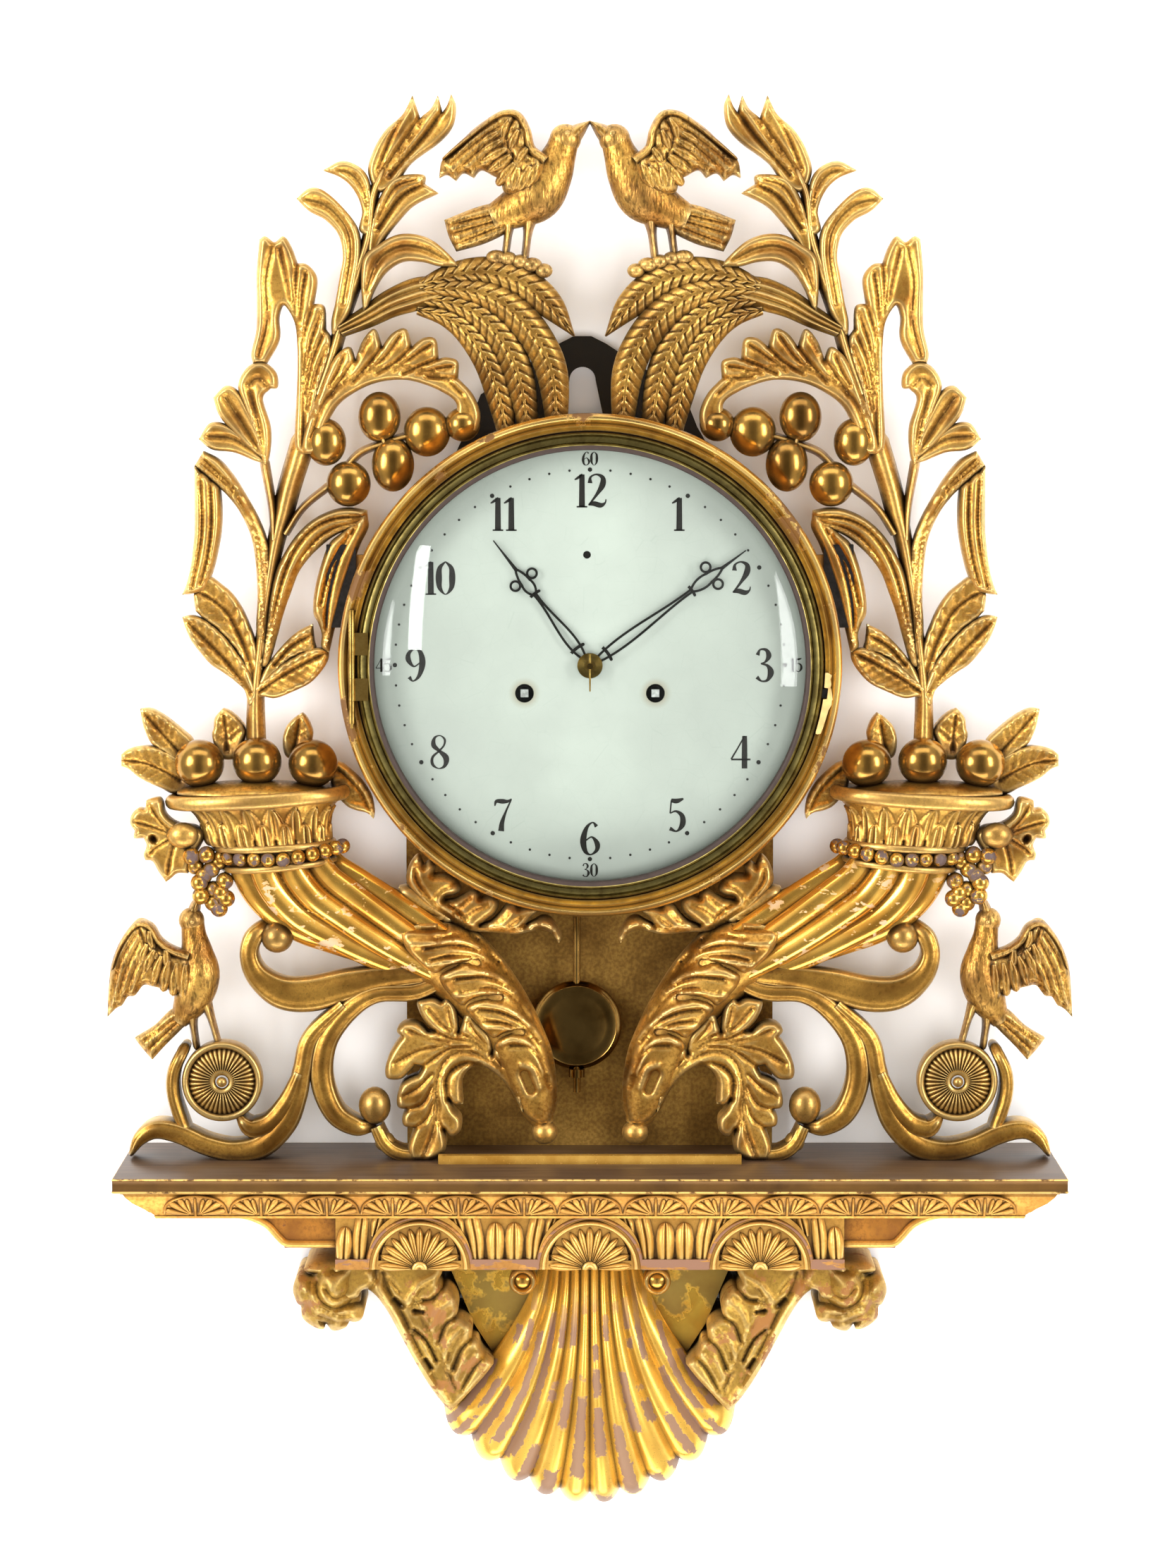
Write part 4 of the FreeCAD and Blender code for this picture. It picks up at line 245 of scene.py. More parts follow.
def dial_enamel():
    """Pale dial with fine cracks 13 mm apart, faint clouds, and brown stains round the winding holes."""
    material, put, shader, place = new_material("fired_dial_enamel")
    clouds = put("TexNoise", {"Vector": place, "Scale": 1 / 60, "Detail": 3, "Roughness": 0.55})
    colour = put("ValToRGB", {"Fac": clouds}, stops=[(0.3, hex_rgb("#a9aca7")), (0.7, hex_rgb("#b3b7b1"))])
    cells = put("TexVoronoi", {"Vector": place, "Scale": 1 / 13}, "Distance", feature="DISTANCE_TO_EDGE")
    cracks = put("ValToRGB", {"Fac": cells}, stops=[(0.0, grey(0.35)), (0.012, grey(0))])
    colour = put("MixRGB", {"Fac": cracks, "Color1": colour, "Color2": hex_rgb("#9aa09a")})
    for hole in WINDING_HOLES:
        gap = put("VectorMath", {0: place, 1: hole}, "Value", operation="DISTANCE")
        near = put("MapRange", {"Value": gap, "From Min": HOLE_RADIUS, "From Max": STAIN_RADIUS,
                                "To Min": 0.6, "To Max": 0.0})
        colour = put("MixRGB", {"Fac": near, "Color1": colour, "Color2": hex_rgb("#8d7f66")})
    depth = put("SeparateXYZ", {0: place}, "Y")
    behind = put("MapRange", {"Value": depth, "From Min": -91.8, "From Max": -91.5})
    colour = put("MixRGB", {"Fac": behind, "Color1": colour, "Color2": hex_rgb("#1d1813")})
    fill(material.node_tree, shader, {"Base Color": colour, "Roughness": 0.28})
    return material


# Height at which the board's gold gives way to black
BOARD_BLACK = 118.0


def board_paint():
    """Back board: dull gold below, black above the drum."""
    material, put, shader, place = new_material("bronze_painted_board")
    patches = put("TexNoise", {"Vector": place, "Scale": 1 / 40, "Detail": 5, "Roughness": 0.62})
    fine = put("TexNoise", {"Vector": place, "Scale": 1 / 2.5, "Detail": 4, "Roughness": 0.55})
    gold = put("ValToRGB", {"Fac": patches}, stops=[(0.3, hex_rgb("#6f4d1c")), (0.7, hex_rgb("#b98f45"))])
    dirt = put("ValToRGB", {"Fac": fine}, stops=[(0.4, grey(0.4)), (0.6, grey(0))])
    gold = put("MixRGB", {"Fac": dirt, "Color1": gold, "Color2": hex_rgb("#4f3513")})
    height = put("SeparateXYZ", {0: place}, "Z")
    upper = put("MapRange", {"Value": height, "From Min": BOARD_BLACK, "From Max": BOARD_BLACK + 4})
    colour = put("MixRGB", {"Fac": upper, "Color1": gold, "Color2": hex_rgb("#0d0a08")})
    metal = put("MixRGB", {"Fac": upper, "Color1": grey(0.75), "Color2": grey(0)})
    fill(material.node_tree, shader, {"Base Color": colour, "Metallic": metal, "Roughness": 0.5})
    return material


SHELF_TOP, SHELF_UNDER = -340.0, -350.0
# Long grain of the shelf: about 80 mm along and 3 mm across
SHELF_GRAIN = (0.012, 0.35, 0.35)


def worn_shelf():
    """Shelf: dark worn top with long grain, and a bronze front between two thin gold edges."""
    material, put, shader, place = new_material("worn_bronzed_shelf")
    grain = put("Mapping", {"Vector": place, "Scale": SHELF_GRAIN})
    streaks = put("TexNoise", {"Vector": grain, "Scale": 1.0, "Detail": 7.0, "Roughness": 0.68})
    patches = put("TexNoise", {"Vector": place, "Scale": 1 / 55, "Detail": 5, "Roughness": 0.6})
    bronze = put("ValToRGB", {"Fac": patches}, stops=[(0.3, hex_rgb("#4a3012")), (0.68, hex_rgb("#765223"))])
    scuffs = put("ValToRGB", {"Fac": streaks}, stops=[(0.32, grey(0.7)), (0.56, grey(0))])
    bronze = put("MixRGB", {"Fac": scuffs, "Color1": bronze, "Color2": hex_rgb("#5a3f1b")})
    height = put("SeparateXYZ", {0: place}, "Z")
    climb = put("MapRange", {"Value": height, "From Min": SHELF_UNDER, "From Max": SHELF_TOP})
    edges = put("ValToRGB", {"Fac": climb}, stops=[
        (0.0, grey(1)), (0.13, grey(1)), (0.16, grey(0)), (0.86, grey(0)), (0.89, grey(1))])
    rub = put("TexNoise", {"Vector": place, "Scale": 1 / 9, "Detail": 6, "Roughness": 0.7})
    rub = put("ValToRGB", {"Fac": rub}, stops=[(0.4, grey(0)), (0.5, grey(1))])
    edges = put("MixRGB", {"Fac": 1.0, "Color1": edges, "Color2": rub}, blend_type="MULTIPLY")
    bronze = put("MixRGB", {"Fac": edges, "Color1": bronze, "Color2": hex_rgb("#e2b765")})
    bare = put("ValToRGB", {"Fac": streaks}, stops=[(0.34, hex_rgb("#3a281a")), (0.7, hex_rgb("#6a523c"))])
    up = put("SeparateXYZ", {0: put("NewGeometry", {}, "Normal")}, "Z")
    top = put("MapRange", {"Value": up, "From Min": 0.8, "From Max": 0.95})
    colour = put("MixRGB", {"Fac": top, "Color1": bronze, "Color2": bare})
    metal = put("MixRGB", {"Fac": top, "Color1": grey(0.55), "Color2": grey(0.0)})
    fill(material.node_tree, shader, {"Base Color": colour, "Metallic": metal, "Roughness": 0.4})
    return material


def clear_glass():
    """Thin domed glass: see-through, with a sheen that grows towards its edge."""
    material, put = new_material("blown_glass")[:2]
    through = put("BsdfTransparent", {"Color": hex_rgb("#fbfdfb")})
    sheen = put("BsdfGlossy", {"Color": (1, 1, 1, 1), "Roughness": 0.02})
    edge = put("Fresnel", {"IOR": 1.3})
    glass = put("MixShader", {0: edge, 1: through, 2: sheen})
    fill(material.node_tree, material.node_tree.nodes["Material Output"], {"Surface": glass})
    return material


def flat_paint(name, colour, rough=0.5):
    """A dull surface of one colour, darker in spots of about 6 mm."""
    material, put, shader, place = new_material(name)
    spots = put("TexNoise", {"Vector": place, "Scale": 1 / 6, "Detail": 3, "Roughness": 0.55})
    dark = [c * 0.7 for c in hex_rgb(colour)[:3]] + [1]
    tone = put("ValToRGB", {"Fac": spots}, stops=[(0.3, dark), (0.7, hex_rgb(colour))])
    fill(material.node_tree, shader, {"Base Color": tone, "Roughness": rough})
    return material


# Leaf gilding on carved wood: a warm broken sheen, with brown painted shade in hollows and a pale painted
# highlight on ridges
GOLD = gilded("leaf_gilt_carving", "#d8a54c", "#8a5b20", "#241305", rough=0.32, shine=0.86)
# The same on the palms, a little browner
PALM_GOLD = gilded("leaf_gilt_palm", "#c09445", "#805822", "#281705", rough=0.34, shine=0.85)
# The same on the birds, with barbs whose low lines between them get painted shade
FEATHERED = gilded("leaf_gilt_feathers", "#d6a44c", "#8d5d22", "#261405", rough=0.34, bump=0.5, shine=0.85,
                   streaks=True)
# The same on the scrolls, a little darker than on the leaves
SCROLL_GOLD = gilded("leaf_gilt_scroll", "#c2913f", "#815921", "#241305", rough=0.3, shine=0.88)
# The same on the consoles, greener, with brown rubbed spots
CONSOLE_GOLD = gilded("leaf_gilt_console", "#bb943f", "#88652a", "#2a1b06", rough=0.42, shine=0.75,
                      wear_and_shadow="#8a5a24",
                      wear_share=0.6)
# The same on the frieze, lighter, with painted shade only in its narrow hollows
FRIEZE_GOLD = gilded("leaf_gilt_frieze", "#f6c466", "#cf9a44", "#3a2107", rough=0.34, reach=0.008, shine=0.75)
# Burnished water gilding: smooth and nearly a mirror
BURNISHED = gilded("burnished_gilt", "#dcaa50", "#a8732a", "#2c1805", rough=0.22, bump=0.04, shine=0.94,
                   grain=0.2)
# The same on the horns, the brightest, with pale spots where the leaf is gone
HORN_GOLD = gilded("burnished_gilt_horn", "#ffc75c", "#dd9f40", "#40230a", rough=0.16, bump=0.04, shine=0.9,
                   grain=0.2,
                   wear_and_shadow="#b89a78", wear_share=0.55, wear_size=(14, 14, 9), wear_open=0.95, edges=False)
# The same on pearls and grapes, with grey-brown spots of bare ground
BEAD_GOLD = gilded("burnished_gilt_beads", "#d9a84e", "#a8752e", "#261405", rough=0.24, bump=0.04,
                   reach=0.008,
                   shine=0.92, grain=0.3, wear_and_shadow="#54413b", wear_share=0.9, wear_size=(9, 9, 9), edges=False)
# The same on the shell, with mauve-brown blocks rubbed off its ribs
SHELL_GOLD = gilded("burnished_gilt_shell", "#eec055", "#d8a544", "#42280a", rough=0.28, bump=0.05,
                    reach=0.012,
                    shine=0.72, grain=0.4, wear_and_shadow="#77584a", wear_and_shadow_map=shell_wear, edges=False)
# The same on the ring round the door, brown where hands have rubbed it
RING_GOLD = gilded("burnished_gilt_ring", "#eab44e", "#a6722a", "#3a2108", rough=0.18, bump=0.05,
                   shine=0.93, grain=0.3,
                   wear_and_shadow="#6a4518", wear_share=0.6, wear_size=(36, 36, 36), wear_open=0.6)
# The same on berries and fruit, dark and mirror-like
BERRY_GOLD = gilded("burnished_gilt_berries", "#b0833a", "#785220", "#241305", rough=0.2, bump=0.05,
                    shine=0.94, grain=0.3)
# The same on the panel under the frieze, with an olive painted shadow of the frieze over most of its upper
# part and olive stains in patches lower down
PANEL_GOLD = gilded("burnished_gilt_panel", "#ffd056", "#e3a93c", "#2c1a05", rough=0.22, bump=0.03,
                    lumps=20, reach=0.02,
                    shine=0.8, grain=0.2, wear_and_shadow="#4f4214", wear_and_shadow_map=panel_wear, edges=False)
# The same on the strip in front of the trunk
SILL_GOLD = gilded("burnished_gilt_sill", "#e6b658", "#b98532", "#5a3a12", rough=0.24, bump=0.04, reach=0.006,
                   shine=0.55, grain=0.3, edges=False)
# Matt oil gilding on the moulding and the drum: soft, with painted shade in hollows but no painted highlight
# on ridges
MOULD_GOLD = gilded("matt_gilt_moulding", "#d39c46", "#a9742c", "#2e1a05", rough=0.38, shine=0.65,
                    edges=False)
# The same on the moulding's leaves, lighter
BAND_GOLD = gilded("matt_gilt_band", "#dba651", "#b58138", "#54350f", rough=0.4, reach=0.005, shine=0.62,
                   edges=False)
# The same on the flat ground of the frieze
GROUND_GOLD = gilded("matt_gilt_ground", "#d2a04c", "#a87a34", "#4a2f10", rough=0.42, reach=0.008,
                     shine=0.6, edges=False)
# The same on the frieze's strips, rubbed to its red-brown ground in long spots
STRIP_GOLD = gilded("matt_gilt_strip", "#c08a44", "#9a6830", "#40250c", rough=0.42, shine=0.5, wear_and_shadow="#7e5a44",
                    wear_share=1.1, wear_size=(30, 30, 8), edges=False)
# The same on the wings, orange-brown
WING_GOLD = gilded("matt_gilt_wings", "#c98838", "#99622a", "#301a06", rough=0.38, shine=0.65, wear_and_shadow="#70421a",
                   wear_share=0.5, edges=False)
# Filed brass, kept bright by use
HINGE = tarnished("filed_brass", "#bd9a52", "#80622c", 0.26)
# Turned brass gone olive with age
BRASS = tarnished("tarnished_brass", "#9a8a50", "#665830", 0.26)
# Polished brass: broad dark and light reflections
POLISHED = tarnished("polished_brass", "#b08a4a", "#664a20", 0.16, 30)
# Blued steel: nearly black, with a faint gloss
STEEL = tarnished("blued_steel", "#2b2826", "#15120f", 0.35, 4, 0.6)
# Polished steel: pale grey
BRIGHT = tarnished("polished_steel", "#dad6ce", "#a8a39a", 0.24)
WINDER = winder_steel()
ENAMEL = dial_enamel()
# Fired black paint of the numerals: soft black
BLACK = flat_paint("fired_black_paint", "#191410", 0.5)
# Hardened putty: dark brown and dull
PUTTY = flat_paint("hardened_putty", "#35251d", 0.6)
# Broken limewood: pale and dull
WOOD = flat_paint("bare_limewood", "#cba968", 0.7)
BOARD = board_paint()
SHELF = worn_shelf()
GLASS = clear_glass()


# Mesh building: each function gives (points, faces) in millimetres

def smooth(points, step):
    """A Catmull-Rom curve through the points, sampled about every step along x and z."""
    p = np.array(points, float)
    p = np.vstack([2 * p[0] - p[1], p, 2 * p[-1] - p[-2]])
    rows = []
    for i in range(1, len(p) - 2):
        span = np.linalg.norm(p[i + 1, :2] - p[i, :2])
        count = max(2, int(math.ceil(span / step)))
        for t in np.arange(count) / count:
            a, b, c, d = p[i - 1], p[i], p[i + 1], p[i + 2]
            rows.append(0.5 * (2 * b + (c - a) * t + (2 * a - 5 * b + 4 * c - d) * t ** 2
                               + (3 * b - a - 3 * c + d) * t ** 3))
    rows.append(p[-2])
    return np.array(rows)


def strip_faces(rows, ring):
    """Quads between rings of points, with both ends closed."""
    faces = []
    for i in range(rows - 1):
        for j in range(ring):
            k = (j + 1) % ring
            faces.append((i * ring + j, i * ring + k, (i + 1) * ring + k, (i + 1) * ring + j))
    faces.append(tuple(range(ring - 1, -1, -1)))
    faces.append(tuple(range((rows - 1) * ring, rows * ring)))
    return faces


# Thinnest that a carving gets, turns of a blade's rounded end in degrees, and how far its back is drawn in
THIN = 0.6
END_TURNS = (35, 62, 82)
BACK_SHARE = 0.86


def blade(points, back, front, crown=0.5, vein=0.0, reeds=0, reed_depth=0.8, rim=0.0, ribs=None, step=2.4,
          columns=11,
          droop=0.35, cup=0.0):
    """A carved leaf, stem or strap along (x, z, width) points, standing from one depth to another.

    crown rounds its face, vein cuts a groove along its middle, reeds are grooves beside it, rim raises its
    edges, ribs = (pitch, depth, slant) are side veins, droop thins its tip and cup hollows its face.
    """
    s = smooth(points, step)
    s[:, 2] = np.maximum(s[:, 2], THIN)
    tangent = np.gradient(s[:, :2], axis=0)
    tangent /= np.maximum(np.linalg.norm(tangent, axis=1, keepdims=True), 1e-9)
    end_width = s[-1, 2]
    caps = []
    for angle in END_TURNS:
        reach = end_width / 2 * math.sin(math.radians(angle))
        spot = s[-1, :2] + tangent[-1] * reach
        caps.append([*spot, end_width * math.cos(math.radians(angle))])
    s = np.vstack([s, caps])
    tangent = np.vstack([tangent, np.repeat(tangent[-1:], len(END_TURNS), axis=0)])
    normal = np.stack([-tangent[:, 1], tangent[:, 0]], axis=1)
    run = np.concatenate([[0], np.cumsum(np.linalg.norm(np.diff(s[:, :2], axis=0), axis=1))])
    t = np.linspace(-1, 1, columns)
    thick = front - back
    height = np.full((len(s), columns), front) - thick * crown * np.abs(t) ** 2.4
    height -= vein * np.exp(-(t / 0.17) ** 2)
    if reeds:
        height -= reed_depth * (0.5 - 0.5 * np.cos(math.pi * reeds * (t + 1)))
    height += rim * np.exp(-((np.abs(t) - 0.82) / 0.16) ** 2)
    height -= cup * (1 - t ** 2)
    if ribs:
        pitch, depth, slant = ribs
        wave = (run[:, None] / pitch - slant * np.abs(t)[None, :]) % 1.0
        height -= depth * wave ** 1.4 * (np.abs(t)[None, :] > 0.12)
    fade = np.clip((run[-1] - run) / max(end_width * 1.6, 5), 0, 1)
    height = back + (height - back) * (1 - droop * (1 - fade[:, None]) ** 2)
    height = np.maximum(height, back + THIN)
    rows = []
    for i in range(len(s)):
        half = s[i, 2] / 2
        for j in range(columns):
            spot = s[i, :2] + normal[i] * t[j] * half
            rows.append((spot[0], -height[i, j], spot[1] + DATUM))
        for side in (BACK_SHARE, -BACK_SHARE):
            spot = s[i, :2] + normal[i] * side * half
            rows.append((spot[0], -back, spot[1] + DATUM))
    return rows, strip_faces(len(s), columns + 2)


def egg(x, z, across, up=None, deep=None, depth=PLANE, rows=14, columns=22):
    """An egg or ball at a depth, with its poles in front and behind."""
    up = up or across
    deep = deep or min(across, up)
    points, faces = [], []
    for i in range(1, rows):
        polar = math.pi * i / rows
        for j in range(columns):
            turn = 2 * math.pi * j / columns
            points.append((x + across * math.sin(polar) * math.cos(turn), -depth - deep * math.cos(polar),
                           z + DATUM + up * math.sin(polar) * math.sin(turn)))
    for i in range(rows - 2):
        for j in range(columns):
            k = (j + 1) % columns
            faces.append((i * columns + j, i * columns + k, (i + 1) * columns + k, (i + 1) * columns + j))
    points += [(x, -depth - deep, z + DATUM), (x, -depth + deep, z + DATUM)]
    front, rear = len(points) - 2, len(points) - 1
    for j in range(columns):
        k = (j + 1) % columns
        faces.append((front, k, j))
        faces.append((rear, (rows - 2) * columns + j, (rows - 2) * columns + k))
    return points, faces


def loft(rings):
    """Closed rings of points, skinned and capped."""
    count = len(rings[0])
    points = [tuple(p) for ring in rings for p in ring]
    return points, strip_faces(len(rings), count)


def limb(path, flatness, steps, flutes=0, flute_depth=0.0, twist=0.0, step=3.0):
    """A rounded limb through (x, z, radius), whose flutes twist by so many radians in 100 mm."""
    s = smooth(path, step)
    tangent = np.gradient(s[:, :2], axis=0)
    tangent /= np.linalg.norm(tangent, axis=1, keepdims=True)
    rings = []
    run = np.concatenate([[0], np.cumsum(np.linalg.norm(np.diff(s[:, :2], axis=0), axis=1))])
    for i, (x, z, radius) in enumerate(s):
        ring = []
        for j in range(steps):
            turn = 2 * math.pi * j / steps
            groove = abs(math.sin(flutes / 2 * (turn - twist * run[i] / 100))) ** 0.65 if flutes else 1
            swell = 1 - flute_depth * (1 - groove)
            aside = radius * swell * math.cos(turn)
            ring.append((x - tangent[i, 1] * aside, -PLANE - radius * swell * flatness * math.sin(turn),
                         z + DATUM + tangent[i, 0] * aside))
        rings.append(ring)
    return loft(rings)


def lathe(profile, x=0.0, z=0.0, segments=160, flutes=0, flute_depth=0.0):
    """A shape turned about a line along the depth, from (radius, depth) points, left open at the axis."""
    points, faces = [], []
    count = len(profile)
    for j in range(segments):
        turn = 2 * math.pi * j / segments
        for radius, depth in profile:
            lift = flute_depth * (abs(math.sin(flutes * turn / 2)) - 1) if flutes and radius > 2 else 0
            points.append((x + radius * math.cos(turn), -depth - lift, z + radius * math.sin(turn)))
    for j in range(segments):
        k = (j + 1) % segments
        for i in range(count - 1):
            faces.append((j * count + i, k * count + i, k * count + i + 1, j * count + i + 1))
    return points, faces


def closed_lathe(profile, **settings):
    """A turned ring, whose profile closes on itself."""
    return lathe(list(profile) + [profile[0]], **settings)


INK_THICK = 0.12


def flat_ribbon(points, face, step):
    """A thin painted stroke on the dial, in the clock's own x and z."""
    s = smooth(points, step)
    tangent = np.gradient(s[:, :2], axis=0)
    tangent /= np.maximum(np.linalg.norm(tangent, axis=1, keepdims=True), 1e-9)
    rows = []
    for (x, z, width), (tx, tz) in zip(s, tangent):
        half = max(width, 0.1) / 2
        left, right = (x - tz * half, z + tx * half), (x + tz * half, z - tx * half)
        rows += [(left[0], -face, left[1]), (right[0], -face, right[1]),
                 (right[0], -face + INK_THICK, right[1]), (left[0], -face + INK_THICK, left[1])]
    return rows, strip_faces(len(s), 4)


def disc(x, z, radius, face, sides=20):
    """A painted dot on the dial."""
    turns = [2 * math.pi * i / sides for i in range(sides)]
    ring = [(x + radius * math.cos(turn), z + radius * math.sin(turn)) for turn in turns]
    return loft([[(a, y, b) for a, b in ring] for y in (-face, -face + INK_THICK)])


def outline_curve(points, step=1.4):
    """A closed outline, smooth but for its corners. These are points with a third value, one at least."""
    first = next(i for i, p in enumerate(points) if len(p) == 3)
    turned = list(points[first:]) + list(points[:first + 1])
    runs, run = [], [turned[0][:2]]
    for p in turned[1:]:
        run.append(p[:2])
        if len(p) == 3:
            runs.append(run)
            run = [p[:2]]
    return np.vstack([smooth(r, step)[:-1] for r in runs])


def gap_to(places, line):
    """How far each place is from a line of points."""
    a, b = line[:-1], line[1:]
    d = b - a
    along = np.einsum("ijk,jk->ij", places[:, None, :] - a[None], d) / np.maximum((d ** 2).sum(1), 1e-9)
    near = a[None] + np.clip(along, 0, 1)[..., None] * d[None]
    return np.sqrt(((places[:, None, :] - near) ** 2).sum(2)).min(1)


def inside(places, loop):
    """Which places lie within a closed outline."""
    a, b = loop, np.roll(loop, -1, axis=0)
    x, z = places[:, :1], places[:, 1:]
    crosses = (a[:, 1] > z) != (b[:, 1] > z)
    rise = np.where(b[:, 1] == a[:, 1], 1e-9, b[:, 1] - a[:, 1])
    return (crosses & (x < a[:, 0] + (z - a[:, 1]) / rise * (b[:, 0] - a[:, 0]))).sum(1) % 2 == 1


def relief(outline, veins, back, front, drop, soft, groove=1.7, width=1.5, ground=None, grid=1.8, dish=0.0):
    """A carved leaf from its outline: rounded at its edge, hollowed by the dish, grooved along its veins.

    drop and soft say how deep and how wide its edge is rounded, and ground(places) adds the height of what it
    lies on. A vein is a list of points, or (points, depth, width), and is a ridge where its depth is negative.
    """
    edge = outline_curve(outline)
    low, high = edge.min(0), edge.max(0)
    net = [(x + (row % 2) * grid / 2, z) for row, z in enumerate(np.arange(low[1], high[1], grid * 0.87))
           for x in np.arange(low[0], high[0], grid)]
    net = np.array(net)
    ring = np.vstack([edge, edge[:1]])
    net = net[inside(net, edge)]
    net = net[gap_to(net, ring) > 0.6 * grid]
    courses = []
    for vein in veins:
        line, depth, spread = vein if isinstance(vein, tuple) else (vein, groove, width)
        course = smooth(line, 0.7 * grid)
        courses.append((course, depth, spread))
        net = net[gap_to(net, course) > 0.6 * grid]
    for course, depth, spread in courses:
        course = course[inside(course, edge)]
        net = np.vstack([net, course[gap_to(course, ring) > 0.5 * grid]])
    every = [Vector(p) for p in np.vstack([edge, net])]
    loops = [(i, (i + 1) % len(edge)) for i in range(len(edge))]
    flat, _, tris = delaunay_2d_cdt(every, loops, [], 1, 1e-5)[:3]
    places = np.array([tuple(p) for p in flat])
    gap = gap_to(places, ring)
    height = front - drop * (1 - np.clip(gap / soft, 0, 1)) ** 2 - dish * np.clip((gap - 0.7 * soft) / 6, 0, 1)
    cut, rise = np.zeros(len(places)), np.zeros(len(places))
    for course, depth, spread in courses:
        shape = np.exp(-(gap_to(places, course) / spread) ** 2)
        cut = np.maximum(cut, depth * shape)
        rise = np.maximum(rise, -depth * shape)
    height += rise - cut
    if ground:
        height += ground(places)
    height = np.maximum(height, back + 0.5)
    count = len(places)
    points = [(x, -h, z + DATUM) for (x, z), h in zip(places,
                                                      height)] + [(x, -back, z + DATUM) for x, z in places]
    sides = {}
    for a, b, c in tris:
        for pair in ((a, b), (b, c), (c, a)):
            sides[frozenset(pair)] = None if frozenset(pair) in sides else pair
    faces = [tuple(t) for t in tris] + [tuple(count + i for i in reversed(t)) for t in tris]
    faces += [(b, a, count + a, count + b) for a, b in (p for p in sides.values() if p)]
    return points, faces


def mirror(parts):
    """The same shapes on the other side of the middle line."""
    return [([(-x, y, z) for x, y, z in points], [tuple(reversed(face)) for face in faces]) for points,
            faces in parts]


# Edges that turn by more than this stay sharp
SHARP = math.radians(58)


def piece(name, parts, material, body, nodes, soften=True):
    """One object from several shapes, which rides on a body and stands for CAD nodes."""
    points, faces = [], []
    for some, quads in parts:
        start = len(points)
        points += [(x * MM, y * MM, z * MM) for x, y, z in some]
        faces += [tuple(start + i for i in face) for face in quads]
    mesh = bpy.data.meshes.new(name)
    mesh.from_pydata(points, [], faces)
    mesh.validate()
    skin = bmesh.new()
    skin.from_mesh(mesh)
    bmesh.ops.recalc_face_normals(skin, faces=skin.faces)
    skin.to_mesh(mesh)
    skin.free()
    mesh.polygons.foreach_set("use_smooth", [soften] * len(mesh.polygons))
    mesh.set_sharp_from_angle(angle=SHARP)
    mesh.materials.append(material)
    thing = bpy.data.objects.new(name, mesh)
    bpy.context.scene.collection.objects.link(thing)
    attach(thing, body)
    if nodes:
        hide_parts(*nodes)
    return thing


def both(name, parts, material, nodes=()):
    """A carving on the left and its mirror image on the right."""
    piece("left_" + name, parts, material, "case", ["left_" + n for n in nodes])
    piece("right_" + name, mirror(parts), material, "case", ["right_" + n for n in nodes])


# Styles of blades: round stems and hollowed straps with raised rims
STEM = dict(crown=0.75)
STRAP = dict(crown=0.2, rim=1.5, cup=0.5, columns=17)


def layered(strokes, back, front, style, rise=0.7):
    """Blades of one style, each set a little further forward than the one before, in turn."""
    return [blade(points, back, front + rise * (i % 4), **style) for i, points in enumerate(strokes)]


def dress(material, *nodes):
    """Gives shown CAD nodes a material."""
    for name in nodes:
        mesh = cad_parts[name].data
        mesh.materials.clear()
        mesh.materials.append(material)


# Case, dial and door

dress(BOARD, "back_board")
dress(MOULD_GOLD, "drum")
dress(SILL_GOLD, "trunk_sill")
dress(GROUND_GOLD, "frieze")
dress(WING_GOLD, "frieze_wings")
dress(PANEL_GOLD, "console_back")
dress(ENAMEL, "dial_plate")
dress(HINGE, "case_hinge_leaf", "door_hinge_leaf", "hand_collet")
dress(STEEL, "minute_hand", "hour_hand", "door_catch", "regulator_arbor")
dress(WINDER, "going_arbor", "strike_arbor")
dress(GLASS, "dome_glass")
dress(POLISHED, "pendulum_rod", "rating_nut", "bell", "centre_wheel", "third_wheel", "escape_wheel",
      "going_barrel",
      "strike_barrel", "pin_wheel", "minute_wheel", "cannon_pinion", "hour_wheel", "front_plate",
      "rear_plate",
      "plate_pillars", "suspension_cock")
dress(BRIGHT, "anchor", "hammer", "winding_clicks")

RING_PROFILE = [
    (157, 98), (168, 98), (168.8, 103), (168.4, 106.5), (166.8, 109.6), (164.6, 111), (163.2, 109.6),
    (162.2, 108.6), (161.2, 109.2), (160.3, 110.2), (159.4, 109.4), (158.4, 108.2), (157.2, 107.6),
]
# The notch for the catch, cut into the ring's inner edge, which needs narrow segments there
NOTCH_LOW, NOTCH_HIGH = -21.5, -14.5
NOTCH_RADIUS, NOTCH_FLOOR = 159.6, 103.0
RING_SEGMENTS, DOOR_SEGMENTS = 880, 220
ring_points, ring_faces = closed_lathe(RING_PROFILE, segments=RING_SEGMENTS)
notched = []
for x, y, z in ring_points:
    in_notch = x > 0 and NOTCH_LOW < z < NOTCH_HIGH and math.hypot(x, z) < NOTCH_RADIUS
    notched.append((x, max(y, -NOTCH_FLOOR) if in_notch else y, z))
piece("ring_front", [(notched, ring_faces)], RING_GOLD, "case", ["front_ring"])

